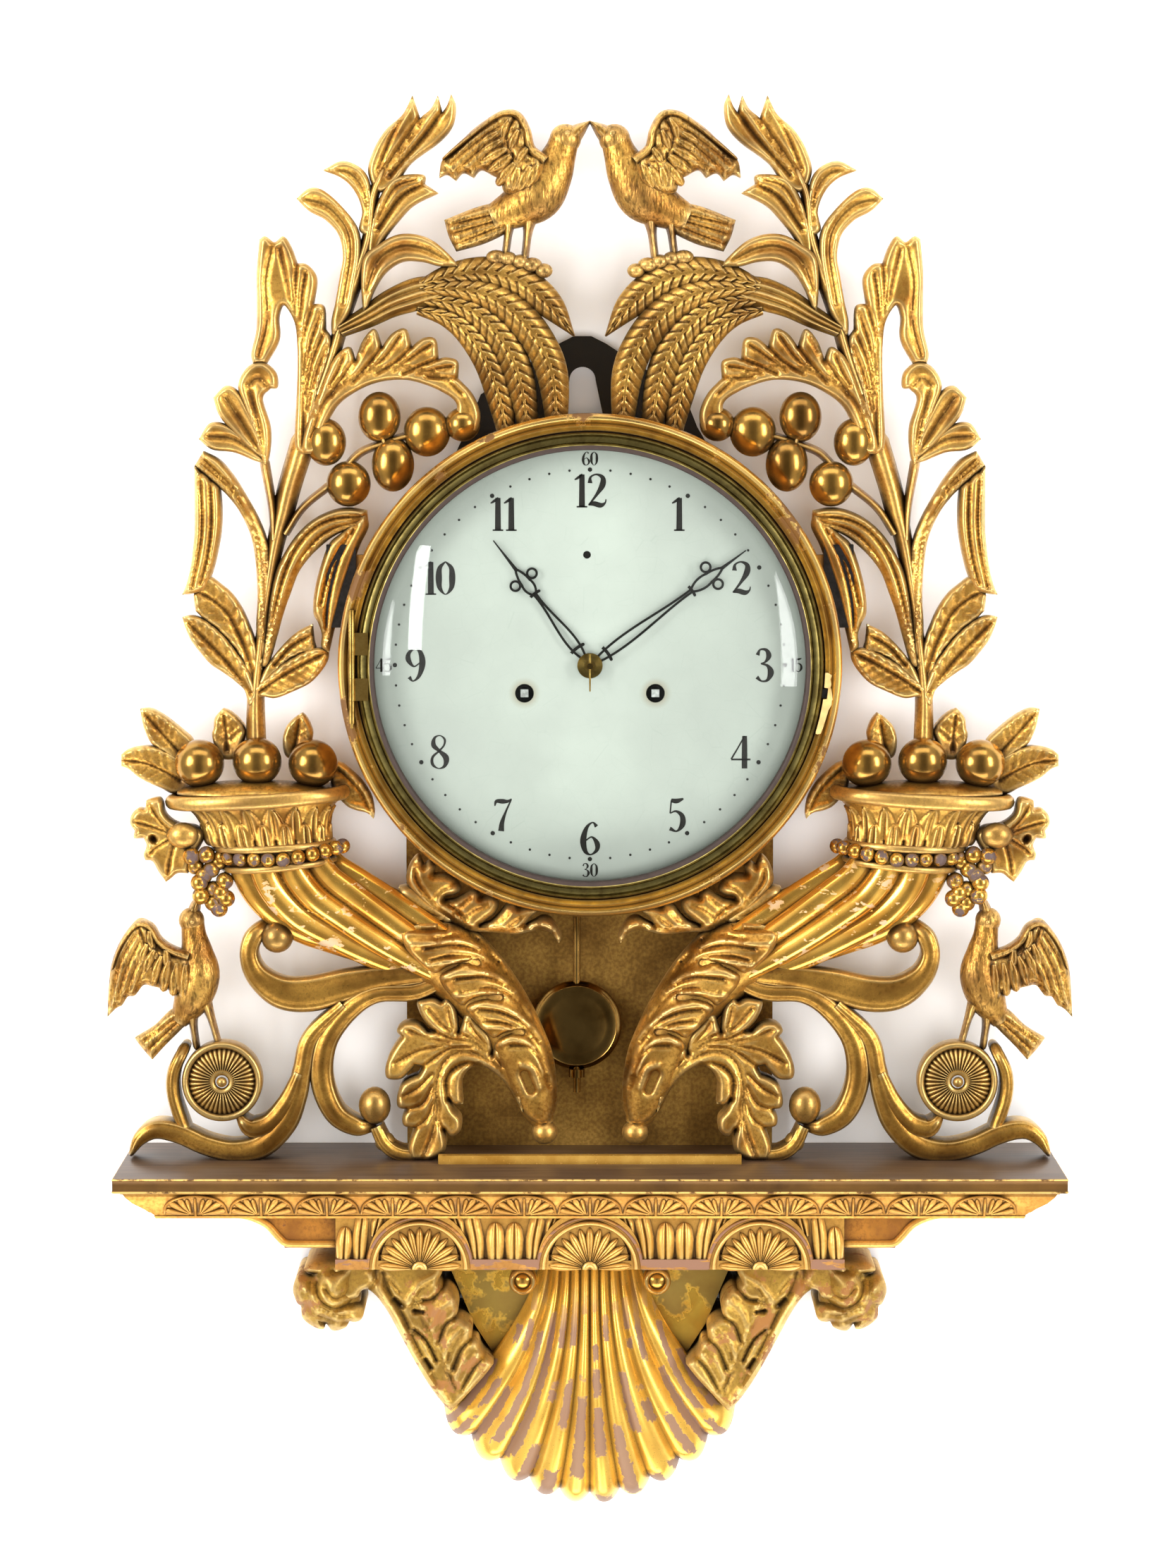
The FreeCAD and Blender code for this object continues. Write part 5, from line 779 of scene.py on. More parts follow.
# Bare wood where the gilding is knocked off beside the catch: (degrees, inner radius, outer radius)
BARE_WOOD = [
    (-1.5, 157.2, 159.2), (-2.1, 157.1, 161.6), (-3.0, 157.1, 160.8), (-4.2, 157.1, 161.6),
    (-5.1, 157.1, 161.2), (-5.2, 159.8, 161.8), (-6.6, 159.8, 162.8), (-7.8, 159.8, 163.6),
    (-8.0, 157.3, 163.2), (-9.0, 157.3, 163.4), (-10.4, 157.2, 162.0), (-12.6, 157.2, 161.4),
    (-14.8, 157.1, 161.0), (-16.2, 157.1, 160.6), (-16.6, 157.4, 158.6),
]
BARE_BACK, BARE_EDGE, BARE_FACE = 104.0, 110.1, 110.9
bare = []
for degrees, inner, outer in BARE_WOOD:
    a, b = math.cos(math.radians(degrees)), math.sin(math.radians(degrees))
    corners = ((inner, BARE_BACK), (outer, BARE_BACK), (outer, BARE_EDGE), (inner, BARE_FACE))
    bare.append([(r * a, -d, r * b) for r, d in corners])
piece("bare_wood", [loft(bare)], WOOD, "case", ())

BEZEL_PROFILE = [
    (148.6, 98.3), (156, 98.3), (156, 110.4), (155.4, 111.8), (154.6, 112.4), (153.9, 111.4),
    (153.6, 110.4), (152.8, 110.9), (149.6, 110.9), (149.2, 110.2), (148.9, 111.6), (148, 112.9),
    (146.8, 113.4), (145.6, 113), (144.7, 111.8), (144.5, 110), (144.5, 104.8), (148.6, 104.8),
]
piece("bezel_ring", [closed_lathe(BEZEL_PROFILE, segments=DOOR_SEGMENTS)], BRASS, "door", ["door_bezel"])

PUTTY_PROFILE = [
    (144.2, 104.9), (144.2, 112.0), (144.9, 113.1), (146.1, 113.6), (147.2, 113.4), (147.6, 112.8),
    (147.6, 104.9),
]
piece("glass_putty", [closed_lathe(PUTTY_PROFILE, segments=DOOR_SEGMENTS)], PUTTY, "door", ())

DIAL_FACE = 92.0
INK = DIAL_FACE + 0.15
HOUR_RADIUS, HOUR_HEIGHT = 117, 22.4
QUARTER_RADIUS, QUARTER_HEIGHT = 138.4, 9.2
DOT_RADIUS, FIVE_DOT, MINUTE_DOT = 131, 1.5, 0.85
# Strokes of each digit as (across, up, thickness), in shares of its height
DIGITS = {
    "0": [[(0.30, 0.99, 0.03), (0.13, 0.8, 0.12), (0.10, 0.5, 0.17), (0.13, 0.2, 0.12),
      (0.30, 0.01, 0.03), (0.47, 0.2, 0.12), (0.50, 0.5, 0.17), (0.47, 0.8, 0.12), (0.30, 0.99, 0.03)]],
    "1": [[(0.26, 0, 0.16), (0.26, 0.5, 0.15), (0.26, 0.98, 0.14)], [(0.04, 0.82, 0.03),
      (0.14, 0.88, 0.07), (0.27, 0.99, 0.04)], [(0.10, 0.015, 0.04), (0.26, 0.02, 0.05),
      (0.42, 0.015, 0.04)]],
    "2": [[(0.10, 0.72, 0.13), (0.12, 0.90, 0.06), (0.30, 0.98, 0.05), (0.48, 0.88, 0.12),
      (0.47, 0.66, 0.16), (0.30, 0.38, 0.08), (0.06, 0.06, 0.04)], [(0.06, 0.08, 0.05),
      (0.22, 0.11, 0.13), (0.42, 0.06, 0.13), (0.55, 0.13, 0.05), (0.58, 0.24, 0.03)]],
    "3": [[(0.10, 0.80, 0.11), (0.18, 0.96, 0.05), (0.36, 0.95, 0.09), (0.44, 0.78, 0.14),
      (0.34, 0.60, 0.06), (0.20, 0.54, 0.03)], [(0.20, 0.54, 0.03), (0.40, 0.48, 0.08),
      (0.50, 0.28, 0.17), (0.40, 0.05, 0.08), (0.22, 0.02, 0.05), (0.08, 0.14, 0.11)]],
    "4": [[(0.42, 0.98, 0.04), (0.22, 0.62, 0.04), (0.02, 0.28, 0.05)], [(0.02, 0.27, 0.05),
      (0.3, 0.27, 0.05), (0.60, 0.27, 0.05)], [(0.42, 0.98, 0.13), (0.42, 0.5, 0.15), (0.42, 0.0, 0.15)]],
    "5": [[(0.13, 0.95, 0.10), (0.30, 0.93, 0.13), (0.50, 1.0, 0.05)], [(0.14, 0.96, 0.04),
      (0.12, 0.78, 0.04), (0.10, 0.56, 0.04)], [(0.10, 0.56, 0.03), (0.28, 0.62, 0.06),
      (0.46, 0.48, 0.13), (0.47, 0.22, 0.15), (0.30, 0.02, 0.05), (0.09, 0.10, 0.11)]],
    "6": [[(0.50, 0.86, 0.11), (0.38, 0.98, 0.04), (0.20, 0.82, 0.10), (0.10, 0.45, 0.17),
      (0.16, 0.12, 0.12), (0.32, 0.01, 0.04), (0.50, 0.14, 0.10), (0.52, 0.34, 0.14), (0.36, 0.54, 0.05),
      (0.18, 0.44, 0.04)]],
    "7": [[(0.05, 0.78, 0.03), (0.10, 0.92, 0.09), (0.28, 0.92, 0.13), (0.44, 0.92, 0.08),
      (0.56, 0.99, 0.04)], [(0.54, 0.96, 0.04), (0.38, 0.60, 0.06), (0.27, 0.28, 0.12),
      (0.24, 0.02, 0.16)]],
    "8": [[(0.30, 0.53, 0.08), (0.13, 0.70, 0.13), (0.16, 0.92, 0.07), (0.32, 0.99, 0.03),
      (0.46, 0.88, 0.06), (0.44, 0.70, 0.05), (0.30, 0.53, 0.05)], [(0.30, 0.53, 0.08),
      (0.50, 0.32, 0.16), (0.46, 0.08, 0.09), (0.28, 0.0, 0.03), (0.10, 0.12, 0.08), (0.10, 0.34, 0.07),
      (0.30, 0.53, 0.05)]],
    "9": [[(0.10, 0.14, 0.11), (0.22, 0.02, 0.04), (0.40, 0.18, 0.10), (0.50, 0.55, 0.17),
      (0.44, 0.88, 0.12), (0.28, 0.99, 0.04), (0.10, 0.86, 0.10), (0.08, 0.66, 0.14), (0.24, 0.46, 0.05),
      (0.42, 0.56, 0.04)]],
}


def number(text, x, z, height):
    """Digits centred on a point of the dial, a one closer to its neighbour than the others."""
    parts = []
    widths = [height * (0.4 if digit == "1" else 0.6) for digit in text]
    start = x - sum(widths) / 2
    for digit, width in zip(text, widths):
        for stroke in DIGITS[digit]:
            path = [(start + a * height, z - height / 2 + b * height, 1.12 * w * height) for a, b,
                    w in stroke]
            parts.append(flat_ribbon(path, INK, step=height / 40))
        start += width
    return parts


numerals = []
for hour in range(1, 13):
    angle = math.radians(30 * hour)
    numerals += number(str(hour), HOUR_RADIUS * math.sin(angle), HOUR_RADIUS * math.cos(angle), HOUR_HEIGHT)
for minute in range(60):
    angle = math.radians(6 * minute)
    size = FIVE_DOT if minute % 5 == 0 else MINUTE_DOT
    numerals.append(disc(DOT_RADIUS * math.sin(angle), DOT_RADIUS * math.cos(angle), size, INK))
for minute, words in ((0, "60"), (15, "15"), (30, "30"), (45, "45")):
    angle = math.radians(6 * minute)
    numerals += number(words, QUARTER_RADIUS * math.sin(angle), QUARTER_RADIUS * math.cos(angle),
                       QUARTER_HEIGHT)
piece("dial_figures", numerals, BLACK, "case", (), soften=False)

# Dark block that ties a reed to the drum
CLEAT = [(-178, 24), (-158, 24), (-158, 80), (-178, 80)]
CLEAT_FRONT, CLEAT_BACK = 70, 56
cleat = loft([[(x, -depth, z) for x, z in CLEAT] for depth in (CLEAT_FRONT, CLEAT_BACK)])
piece("left_cleat", [cleat], STEEL, "case", (), soften=False)
piece("right_cleat", mirror([cleat]), STEEL, "case", (), soften=False)

# Pendulum

BOB_Z = -253.0
BOB_X = -9.0
BOB_PROFILE = [
    (0.01, 21.4), (20, 21.8), (28, 23.4), (30.5, 25.8), (30.9, 27), (30.5, 28.2), (28.5, 29.8),
    (27.6, 30.9), (26.8, 30.4), (20, 31.9), (10, 32.4), (0.01, 32.5),
]
piece("bob_lens", [lathe(BOB_PROFILE, BOB_X, BOB_Z, 96)], POLISHED, "pendulum", ["pendulum_bob"])

# Cornucopias

HORN = [
    (-212, -121, 37), (-210, -128, 37), (-203, -141, 35.5), (-188, -154, 34), (-168, -164, 32),
    (-136, -179, 29), (-101, -195, 24.5), (-73, -222, 22), (-53, -249, 20), (-41, -279, 17),
    (-35, -302, 11.5), (-30, -312, 6),
]
# Points of the horn that are fluted, and how flat horn, basket and basket foot are from front to back
GADROONS_END = 7
HORN_FLAT = 0.8
BASKET_FLAT, FOOT_FLAT = 0.52, 0.76
# Two rows of leaves on the basket: start, end, shift to the side, height
BASKET_LEAVES = ((0.14, 0.6, 0.0, 1.25), (0.3, 0.9, 1.0, 0.9))
BASKET_LEVELS = [
    (-214, -124, 36), (-218, -118, 39), (-219.5, -111, 40), (-221, -103, 42), (-223, -96, 46),
    (-226, -88, 56),
]
SHEATH = [
    (-127, -178), (-119, -173), (-104, -171.5), (-90, -173.5), (-78, -178), (-69, -187), (-58, -200),
    (-48, -215), (-39.5, -230), (-32, -246), (-26, -262), (-23, -279), (-22.5, -297), (-26, -308),
    (-32, -311), (-39, -309), (-46, -303), (-52, -294), (-58, -280), (-63, -268), (-66, -257),
    (-65, -252, 1), (-72, -246), (-79, -238), (-86, -230, 1), (-93, -224), (-100, -216), (-104, -207, 1),
    (-112, -202), (-119, -195), (-125, -187),
]
SHEATH_VEINS = [
    ([(-127, -174.5), (-111, -175.2), (-99, -174.6)], 4.0, 1.6),
    ([(-104, -207), (-96, -201.5), (-86, -198), (-76, -198.5)], 5.0, 1.7),
    ([(-87, -231), (-81, -225), (-71, -221.7), (-61, -222)], 5.0, 1.7),
    ([(-66, -253), (-59, -248), (-52, -245.5), (-46, -246)], 5.0, 1.7),
    ([(-102, -174.6), (-98, -174.6)], 7, 2.0), ([(-80, -198), (-76, -198.5)], 7.5, 2.1),
    ([(-66, -221.8), (-61, -222)], 7.5, 2.1), ([(-51, -245.6), (-46, -246)], 7.5, 2.1),
    ([(-44.5, -275), (-42.5, -280), (-40, -286)], 7.5, 2.6),
    ([(-112, -188), (-93, -186), (-76, -190), (-62, -200)], 2.4, 1.4),
    ([(-104, -181), (-90, -179.5), (-76, -184)], 1.8, 1.3),
    ([(-108, -196), (-94, -193), (-76, -195), (-60, -206), (-50, -219)], 1.8, 1.3),
    ([(-91, -209), (-71, -208), (-54, -216), (-41, -231)], 2.4, 1.4),
    ([(-87, -218), (-69, -215), (-52, -222), (-40, -238)], 1.8, 1.3),
    ([(-76, -230), (-61, -232), (-47, -239), (-34, -253)], 2.4, 1.4),
    ([(-71, -238), (-56, -240), (-42, -248), (-32, -264)], 1.8, 1.3),
    ([(-55, -255), (-42, -256), (-33, -266), (-27, -284)], 2.2, 1.4),
    ([(-120, -184), (-104, -184), (-86, -183), (-70, -192)], -2.4, 3.0),
    ([(-110, -199), (-96, -197), (-80, -200)], -2.0, 2.4),
    ([(-98, -207), (-84, -204), (-66, -207), (-50, -219)], -2.4, 3.0),
    ([(-92, -221), (-78, -217), (-62, -219)], -2.0, 2.4),
    ([(-82, -229), (-70, -227), (-54, -231), (-42, -242)], -2.4, 3.0),
    ([(-74, -243), (-62, -242), (-48, -245)], -2.0, 2.4),
    ([(-61, -253), (-50, -250), (-39, -257), (-30, -274)], -2.4, 3.0),
    ([(-46, -268), (-38, -272), (-34, -284)], -1.6, 2.4),
]
ACANTHUS = [
    (-46, -302, 1), (-52, -290), (-60, -279), (-70, -271.5), (-78, -270), (-84, -274), (-87, -281),
    (-87, -290), (-86.5, -296, 1), (-92, -296.5), (-96, -293, 1), (-93, -300), (-88, -306), (-88, -314),
    (-94, -318.5), (-99.5, -314, 1), (-98, -325), (-101, -331), (-109, -335), (-122, -335, 1),
    (-124, -326), (-120, -313, 1), (-127, -311), (-128, -305), (-125.5, -300, 1), (-131, -298),
    (-131.5, -291), (-129, -283), (-124, -279), (-117, -276, 1), (-115, -271), (-119, -269.5, 1),
    (-123, -274), (-128, -278.5), (-134, -279.5), (-138.5, -278), (-139.5, -272), (-137, -263),
    (-132, -254.5), (-128.5, -250, 1), (-131.5, -245.5), (-127, -241), (-120, -240), (-114, -243),
    (-110, -247), (-106, -246, 1), (-112, -240), (-116, -233), (-117.5, -226), (-112, -224),
    (-106, -223.5), (-101, -226, 1), (-97, -223.5), (-92, -229), (-90, -237), (-89.5, -247, 1),
    (-87, -240), (-85, -234.5), (-81, -234), (-76, -240), (-70, -245), (-67, -250), (-66.5, -257),
    (-67, -263, 1), (-65, -257), (-62, -256.5), (-56, -260), (-52, -266), (-46, -276, 1),
]
ACANTHUS_VEINS = [
    ([(-50, -290), (-58, -276), (-70, -265), (-84, -260), (-95, -263), (-102, -273), (-105, -288),
      (-104, -300), (-108, -318), (-113, -332)], 2.2, 2.0),
    ([(-97, -293), (-98, -280), (-93, -272), (-84, -268), (-75, -269)], 3.0, 1.8),
    ([(-117, -273), (-108, -266), (-95, -258), (-80, -257)], 2.2, 1.6),
    ([(-106, -246), (-95, -251), (-80, -254), (-66, -264)], 2.2, 1.6),
    ([(-89.5, -247), (-82, -251), (-70, -259), (-60, -270)], 2.2, 1.6),
    ([(-125.5, -300), (-114, -296), (-107, -284)], 2.0, 1.6),
    ([(-120, -313), (-111, -306), (-106, -294)], 2.0, 1.6),
    ([(-99.5, -314), (-104, -306), (-105, -296)], 2.0, 1.6), [(-133, -268), (-118, -260), (-100, -256)],
    [(-124, -245), (-112, -250), (-96, -254)], [(-111, -230), (-102, -240), (-92, -249)],
    [(-97, -229), (-95, -240), (-90, -248)], [(-128, -291), (-117, -285), (-108, -276)],
    [(-83, -238), (-78, -247), (-70, -256)],
]
VINE_LEAF = [
    (-290, -90, 1), (-292, -87), (-296, -87), (-301, -88.5, 1), (-302, -94), (-307, -94), (-311, -98),
    (-312, -104), (-309, -109, 1), (-309.5, -114), (-303, -114, 1), (-301, -119), (-303, -125),
    (-302, -129, 1), (-297, -130), (-293, -137), (-288, -144, 1), (-284, -141), (-280, -138),
    (-273, -138, 1), (-270, -128), (-266, -122), (-262, -112), (-268, -106), (-280, -104), (-288, -98),
]
VINE_VEINS = [
    [(-282, -112), (-292, -102), (-299, -91)], [(-282, -112), (-298, -106), (-309, -103)],
    [(-282, -113), (-294, -120), (-301, -127)], [(-281, -114), (-285, -128), (-287, -141)],
    [(-280, -113), (-272, -122), (-268, -130)], ([(-297, -114), (-296, -115.5)], 8, 1.9),
]
GRAPES = [
    (-268, -133), (-257, -135), (-265, -144), (-256, -149), (-248, -143), (-264, -153), (-256, -158),
    (-247, -155), (-260, -125), (-252, -130), (-262, -139), (-270, -126), (-252, -162), (-251, -151),
]
# Pearls round the horn's mouth, from their places across, on an oval
BEADS = [-250, -244.5, -236, -226.5, -217, -207, -197, -187.5, -179, -172, -168]
BEAD_MIDDLE, BEAD_HALF, BEAD_REACH = -210, 43, 29.4
BEAD_RADIUS, GRAPE_RADIUS = 5.2, 6.0


def horn_ground(places):
    """How far the horn's round face stands in front of the carving plane."""
    path = smooth(HORN, 2.0)
    gaps = np.linalg.norm(places[:, None, :] - path[None, :, :2], axis=2)
    radius = path[gaps.argmin(1), 2]
    return HORN_FLAT * np.sqrt(np.maximum(radius ** 2 - gaps.min(1) ** 2, 0))


def basket(columns=280, leaves=18, leaf_rise=4.0):
    """The basket's bowl, with two rows of upright leaves carved on it."""
    levels = smooth(BASKET_LEVELS, 0.8)
    rings = []
    for row, (x, z, half) in enumerate(levels):
        climb = row / (len(levels) - 1)
        flat = FOOT_FLAT + (BASKET_FLAT - FOOT_FLAT) * climb
        ring = []
        for j in range(columns):
            turn = 2 * math.pi * j / columns
            rise = 0.0
            for first, last, shift, tall in BASKET_LEAVES:
                up = (climb - first) / (last - first)
                if 0 < up < 1:
                    across = abs((turn * leaves / math.pi + shift) % 2 - 1)
                    span = 0.94 * (1 - up ** 3) + 0.04
                    body = math.sqrt(max(0.0, 1 - (across / span) ** 2))
                    crease = 0.55 * math.exp(-(across / 0.16) ** 2)
                    rise = max(rise, tall * leaf_rise * body * (1 - crease))
            reach = half + rise
            ring.append((x + reach * math.cos(turn), -PLANE - reach * flat * math.sin(turn), z + DATUM))
        rings.append(ring)
    return loft(rings)


def oval_roll(x, z, half, thick, lean=0.0, flat=BASKET_FLAT, columns=120, around=12):
    """A rounded band round an oval, lower at its left end by the lean."""
    points = []
    for j in range(columns):
        turn = 2 * math.pi * j / columns
        level = z + DATUM + lean * math.cos(turn) - abs(lean) * 0.3 * math.sin(turn)
        for k in range(around):
            b = 2 * math.pi * k / around
            reach = half + thick * math.cos(b)
            points.append((x + reach * math.cos(turn), -PLANE - reach * flat * math.sin(turn),
                           level + thick * math.sin(b)))
    faces = []
    for j in range(columns):
        i = (j + 1) % columns
        for k in range(around):
            m = (k + 1) % around
            faces.append((j * around + k, i * around + k, i * around + m, j * around + m))
    return points, faces


gadroons = [limb(HORN[:GADROONS_END], HORN_FLAT, 240, 8, 0.3, 0.8, 1.6)]
both("horn_gadroons", gadroons, HORN_GOLD)
horn = [limb(HORN[GADROONS_END - 1:], HORN_FLAT, 48, step=2.0), egg(-31, -317, 9, 8.5, 9)]
horn += [basket(), oval_roll(-226, -86.5, 58, 5.0, 3.4), oval_roll(-215, -119, 40, 2.6, 1.8, flat=FOOT_FLAT),
         oval_roll(-211, -131.6, 37.5, 2.4, 3.4, flat=0.78)]
horn.append(relief(SHEATH, SHEATH_VEINS, PLANE - 8, PLANE + 3.0, 4.0, 3.4, ground=horn_ground, grid=1.3))
horn.append(relief(ACANTHUS, ACANTHUS_VEINS, 52, 76, 4.4, 4.0, grid=1.4, dish=1.2))
horn.append(relief(VINE_LEAF, VINE_VEINS, 56, 74, 4.0, 3.6, 1.9, 1.3, grid=1.4, dish=1.0))
horn.append(egg(-276, -112, 11, 9, 8, 72, 14, 22))
both("cornucopia", horn, GOLD, nodes=["cornucopia"])
pearls = []
for x in BEADS:
    out = math.sqrt(max(0.0, 1 - ((x - BEAD_MIDDLE) / BEAD_HALF) ** 2))
    level = float(np.interp(x, [-250, -205, -169], [-126.5, -126.5, -119.5]))
    pearls.append(egg(x, level, BEAD_RADIUS, depth=PLANE + BEAD_REACH * out, rows=16, columns=24))
pearls += [egg(x, z, GRAPE_RADIUS, depth=PLANE + 8 + 2 * (i % 3), rows=16, columns=24) for i,
           (x, z) in enumerate(GRAPES)]
both("pearls", pearls, BEAD_GOLD)

# Leaves between the fruit: outline and midrib
FRUIT_LEAVES = [
    ([(-306, -27, 1), (-304, -38), (-301, -46), (-297, -52), (-288, -58), (-280, -66), (-268, -58),
      (-271, -48), (-276, -43), (-283, -37), (-291, -31), (-299, -27)], [(-304, -29), (-292, -43),
      (-278, -58)]),
    ([(-319, -58, 1), (-315, -55), (-308, -53), (-298, -52.5), (-290, -55), (-280, -60), (-266, -70),
      (-270, -82), (-283, -85), (-292, -81), (-301, -77), (-308, -73), (-314, -68), (-319, -66, 1)],
      [(-317, -62), (-300, -65), (-278, -76)]),
    ([(-250, -27, 1), (-255, -33), (-256, -40), (-257, -46), (-252, -60), (-240, -60), (-235, -48),
      (-234, -41), (-239, -34), (-245, -29)], [(-249.5, -29), (-248, -42), (-247, -56)]),
    ([(-196, -30, 1), (-202, -34), (-207, -40), (-209, -50), (-206, -60), (-194, -60), (-189, -46),
      (-190, -39), (-193, -33)], [(-197, -32), (-199, -44), (-201, -57)]),
    ([(-176, -64), (-170, -64), (-163, -69), (-155, -77), (-149, -87), (-147, -97), (-147.5, -102, 1),
      (-152, -98), (-160, -96), (-167, -92), (-176, -80)], [(-172, -68), (-157, -83), (-148.5, -99)]),
]


def side_veins(midrib, reach, count):
    """Slanting veins on both sides of a leaf's midrib."""
    course = smooth(midrib, 2.0)
    veins = []
    for k in range(1, count + 1):
        i = int(len(course) * k / (count + 1.5))
        run = course[i] - course[max(i - 2, 0)]
        run = run / max(np.linalg.norm(run), 1e-9)
        for side in (1, -1):
            aside = np.array([-run[1], run[0]]) * side
            veins.append(([tuple(course[i]), tuple(course[i] + (aside * 0.8 - run * 0.6) * reach)], 0.8, 1.0))
    return veins


fruit = []
for i, (outline, midrib) in enumerate(FRUIT_LEAVES):
    veins = [(midrib, 2.0, 1.3)] + side_veins(midrib, 17, 5)
    fruit.append(relief(outline, veins, 44, 60 + 0.8 * (i % 2), 2.6, 2.6, dish=1.4, grid=1.4))
fruit.append(egg(-226, -84, 55, 9, 27, PLANE, 18, 64))
fruit_gold = [egg(x, z, 16.8, 16.4, 16, PLANE + 4, 24, 40) for x,
              z in ((-265, -63.5), (-226, -62), (-188, -63.5))]
piece("fruit", fruit_gold + mirror(fruit_gold), BERRY_GOLD, "case", ["basket_fruit"])
both("fruit_leaves", fruit, GOLD)

# Foliage

STEMS = [
    [(-227, -52, 14), (-227, -20, 12), (-224, 12, 9), (-219, 50, 9), (-213, 85, 12), (-208, 105, 15),
      (-203, 125, 16), (-194, 154, 17)],
    [(-214, 88, 5), (-215, 110, 6), (-220, 140, 7)],
    [(-183, 186, 9), (-175, 208, 10), (-169, 228, 10), (-165, 243, 11), (-156, 269, 11), (-149, 292, 9),
      (-146, 318, 8), (-140, 334, 8)],
    [(-206, 92, 5), (-194, 110, 5.5), (-176, 125, 6)], [(-198, 150, 6), (-188, 152, 6), (-176, 152, 6)],
    [(-166, 136, 6), (-155, 147, 6), (-140, 153, 6), (-124, 158, 6), (-110, 160, 6)],
    [(-141, 168, 6), (-139, 154, 6), (-133, 142, 6)],
]
# Leaves at the foot of the foliage: outline, midrib, length and number of side veins
LEAF_OUTLINES = [
    ([(-276, 36, 1), (-274, 29), (-270, 20), (-264, 12), (-257, 4), (-248, -2), (-240, -8), (-234, -14),
      (-231, -24), (-226, -18), (-229, -6), (-233, 3), (-240, 13), (-246, 21), (-253, 28), (-261, 34),
      (-269, 37)], [(-274, 34), (-258, 18), (-244, 3), (-230, -16)], 17, 7),
    ([(-227, -16), (-233, 0), (-239, 12), (-246, 21), (-254, 29), (-262, 35), (-267, 40, 1), (-268, 52),
      (-262, 61), (-257, 63), (-250, 58), (-243, 52), (-236, 42), (-231, 31), (-227, 20), (-224, 6),
      (-223, -8)], [(-268, 54), (-258, 49), (-247, 40), (-240, 28), (-234, 15), (-227, -8)], 18, 8),
    ([(-230, -20), (-222, -18), (-213, -19), (-200, -14), (-190, -9), (-183, -2), (-178, 6),
      (-177, 13, 1), (-183, 15), (-190, 14), (-200, 9), (-210, 3), (-218, -4), (-227, -12)], [(-178, 12),
      (-192, 5), (-208, -4), (-226, -16)], 16, 7),
    ([(-226, -14), (-221, 0), (-214, 10), (-206, 19), (-198, 26), (-188, 31, 1), (-187, 20), (-186, 13),
      (-195, 11), (-205, 6), (-214, -3)], [(-188, 24), (-202, 16), (-214, 3)], 15, 5),
]
REED_OUTLINES = [
    ([(-224, -6, 1), (-225, 12), (-226, 30), (-225, 50), (-226, 72), (-229, 90), (-236, 106), (-244, 117),
      (-250, 123), (-259, 131), (-267, 138, 1), (-261, 148, 1), (-250, 142), (-240, 130), (-231, 115),
      (-225, 104), (-220, 92), (-217, 80), (-216, 65), (-216.5, 50), (-218, 30), (-220, 10)], [[(-223, 8),
      (-222, 40), (-223, 72), (-227, 94), (-241, 120), (-264, 141)], [(-221.5, 8), (-219, 40),
      (-219.5, 74), (-224, 95), (-237, 119), (-262, 144)]]),
    ([(-267, 138, 1), (-267, 100), (-268, 85), (-270, 70), (-273, 58), (-276, 51, 1), (-268, 52),
      (-261, 55), (-256, 65), (-252, 80), (-249.5, 95), (-249, 110), (-250, 124, 1), (-258, 131)],
      [[(-263, 134), (-262, 100), (-264, 80), (-269, 56)], [(-256, 129), (-255.5, 100), (-258, 78),
      (-263, 58)]]),
    ([(-223, 2, 1), (-219, 30), (-216, 52), (-212, 68), (-205, 82), (-197, 93), (-187, 102), (-175, 108),
      (-163, 110), (-151, 108, 1), (-150, 97, 1), (-163, 95), (-174, 90), (-183, 83), (-191, 75),
      (-198, 65), (-203, 52), (-208, 38), (-213, 20), (-218, 4)], [[(-219, 12), (-212, 46), (-203, 74),
      (-190, 93), (-174, 102), (-152, 104)], [(-217, 12), (-207, 46), (-198, 70), (-186, 87), (-173, 96),
      (-152, 101)]]),
    ([(-152, 106, 1), (-150, 97), (-156, 84), (-161, 70), (-166, 55), (-170, 40), (-174, 25),
      (-177, 12, 1), (-182, 16), (-181.5, 24), (-184, 32), (-187, 38), (-187, 48), (-185, 60), (-181, 74),
      (-176, 86), (-168, 93)], [[(-158, 98), (-170, 74), (-177, 46), (-179, 20)], [(-163, 92), (-175, 70),
      (-182, 44)]]),
]
TULIP = [
    ([(-219, 141), (-225, 141), (-240, 147), (-255, 149), (-264, 156, 1), (-256, 167), (-243, 165),
      (-229, 154)], [[(-222, 145), (-240, 156), (-258, 158)]]),
    ([(-219, 143), (-230, 150), (-241, 161), (-250, 172), (-254, 184, 1), (-245, 192), (-236, 187),
      (-229, 175), (-222, 160)], [[(-222, 147), (-234, 166), (-246, 184)]]),
    ([(-219, 139), (-216, 150), (-216, 165), (-221, 183), (-216, 190, 1), (-211, 191), (-212, 201),
      (-221, 208), (-231, 204), (-237, 192), (-233, 178), (-228, 165), (-224, 150)], [[(-220, 145),
      (-224, 168), (-229, 188)], [(-218, 192), (-224, 197), (-230, 192)]]),
]
SERRATED = [
    (-197, 148), (-199, 157), (-198, 178), (-197, 200), (-197, 219), (-199, 235), (-206, 246),
    (-209.5, 238), (-209, 227), (-211, 219), (-218, 207, 1), (-227, 207, 1), (-228, 214), (-224.5, 230),
    (-224, 250), (-224, 268), (-222, 290, 1), (-218, 292), (-212, 288), (-206, 292), (-201, 285),
    (-197, 274, 1), (-190, 273), (-184, 264), (-186, 247, 1), (-179, 245), (-178, 230, 1), (-174, 222),
    (-177, 205), (-182, 190), (-186, 170), (-188, 148),
]
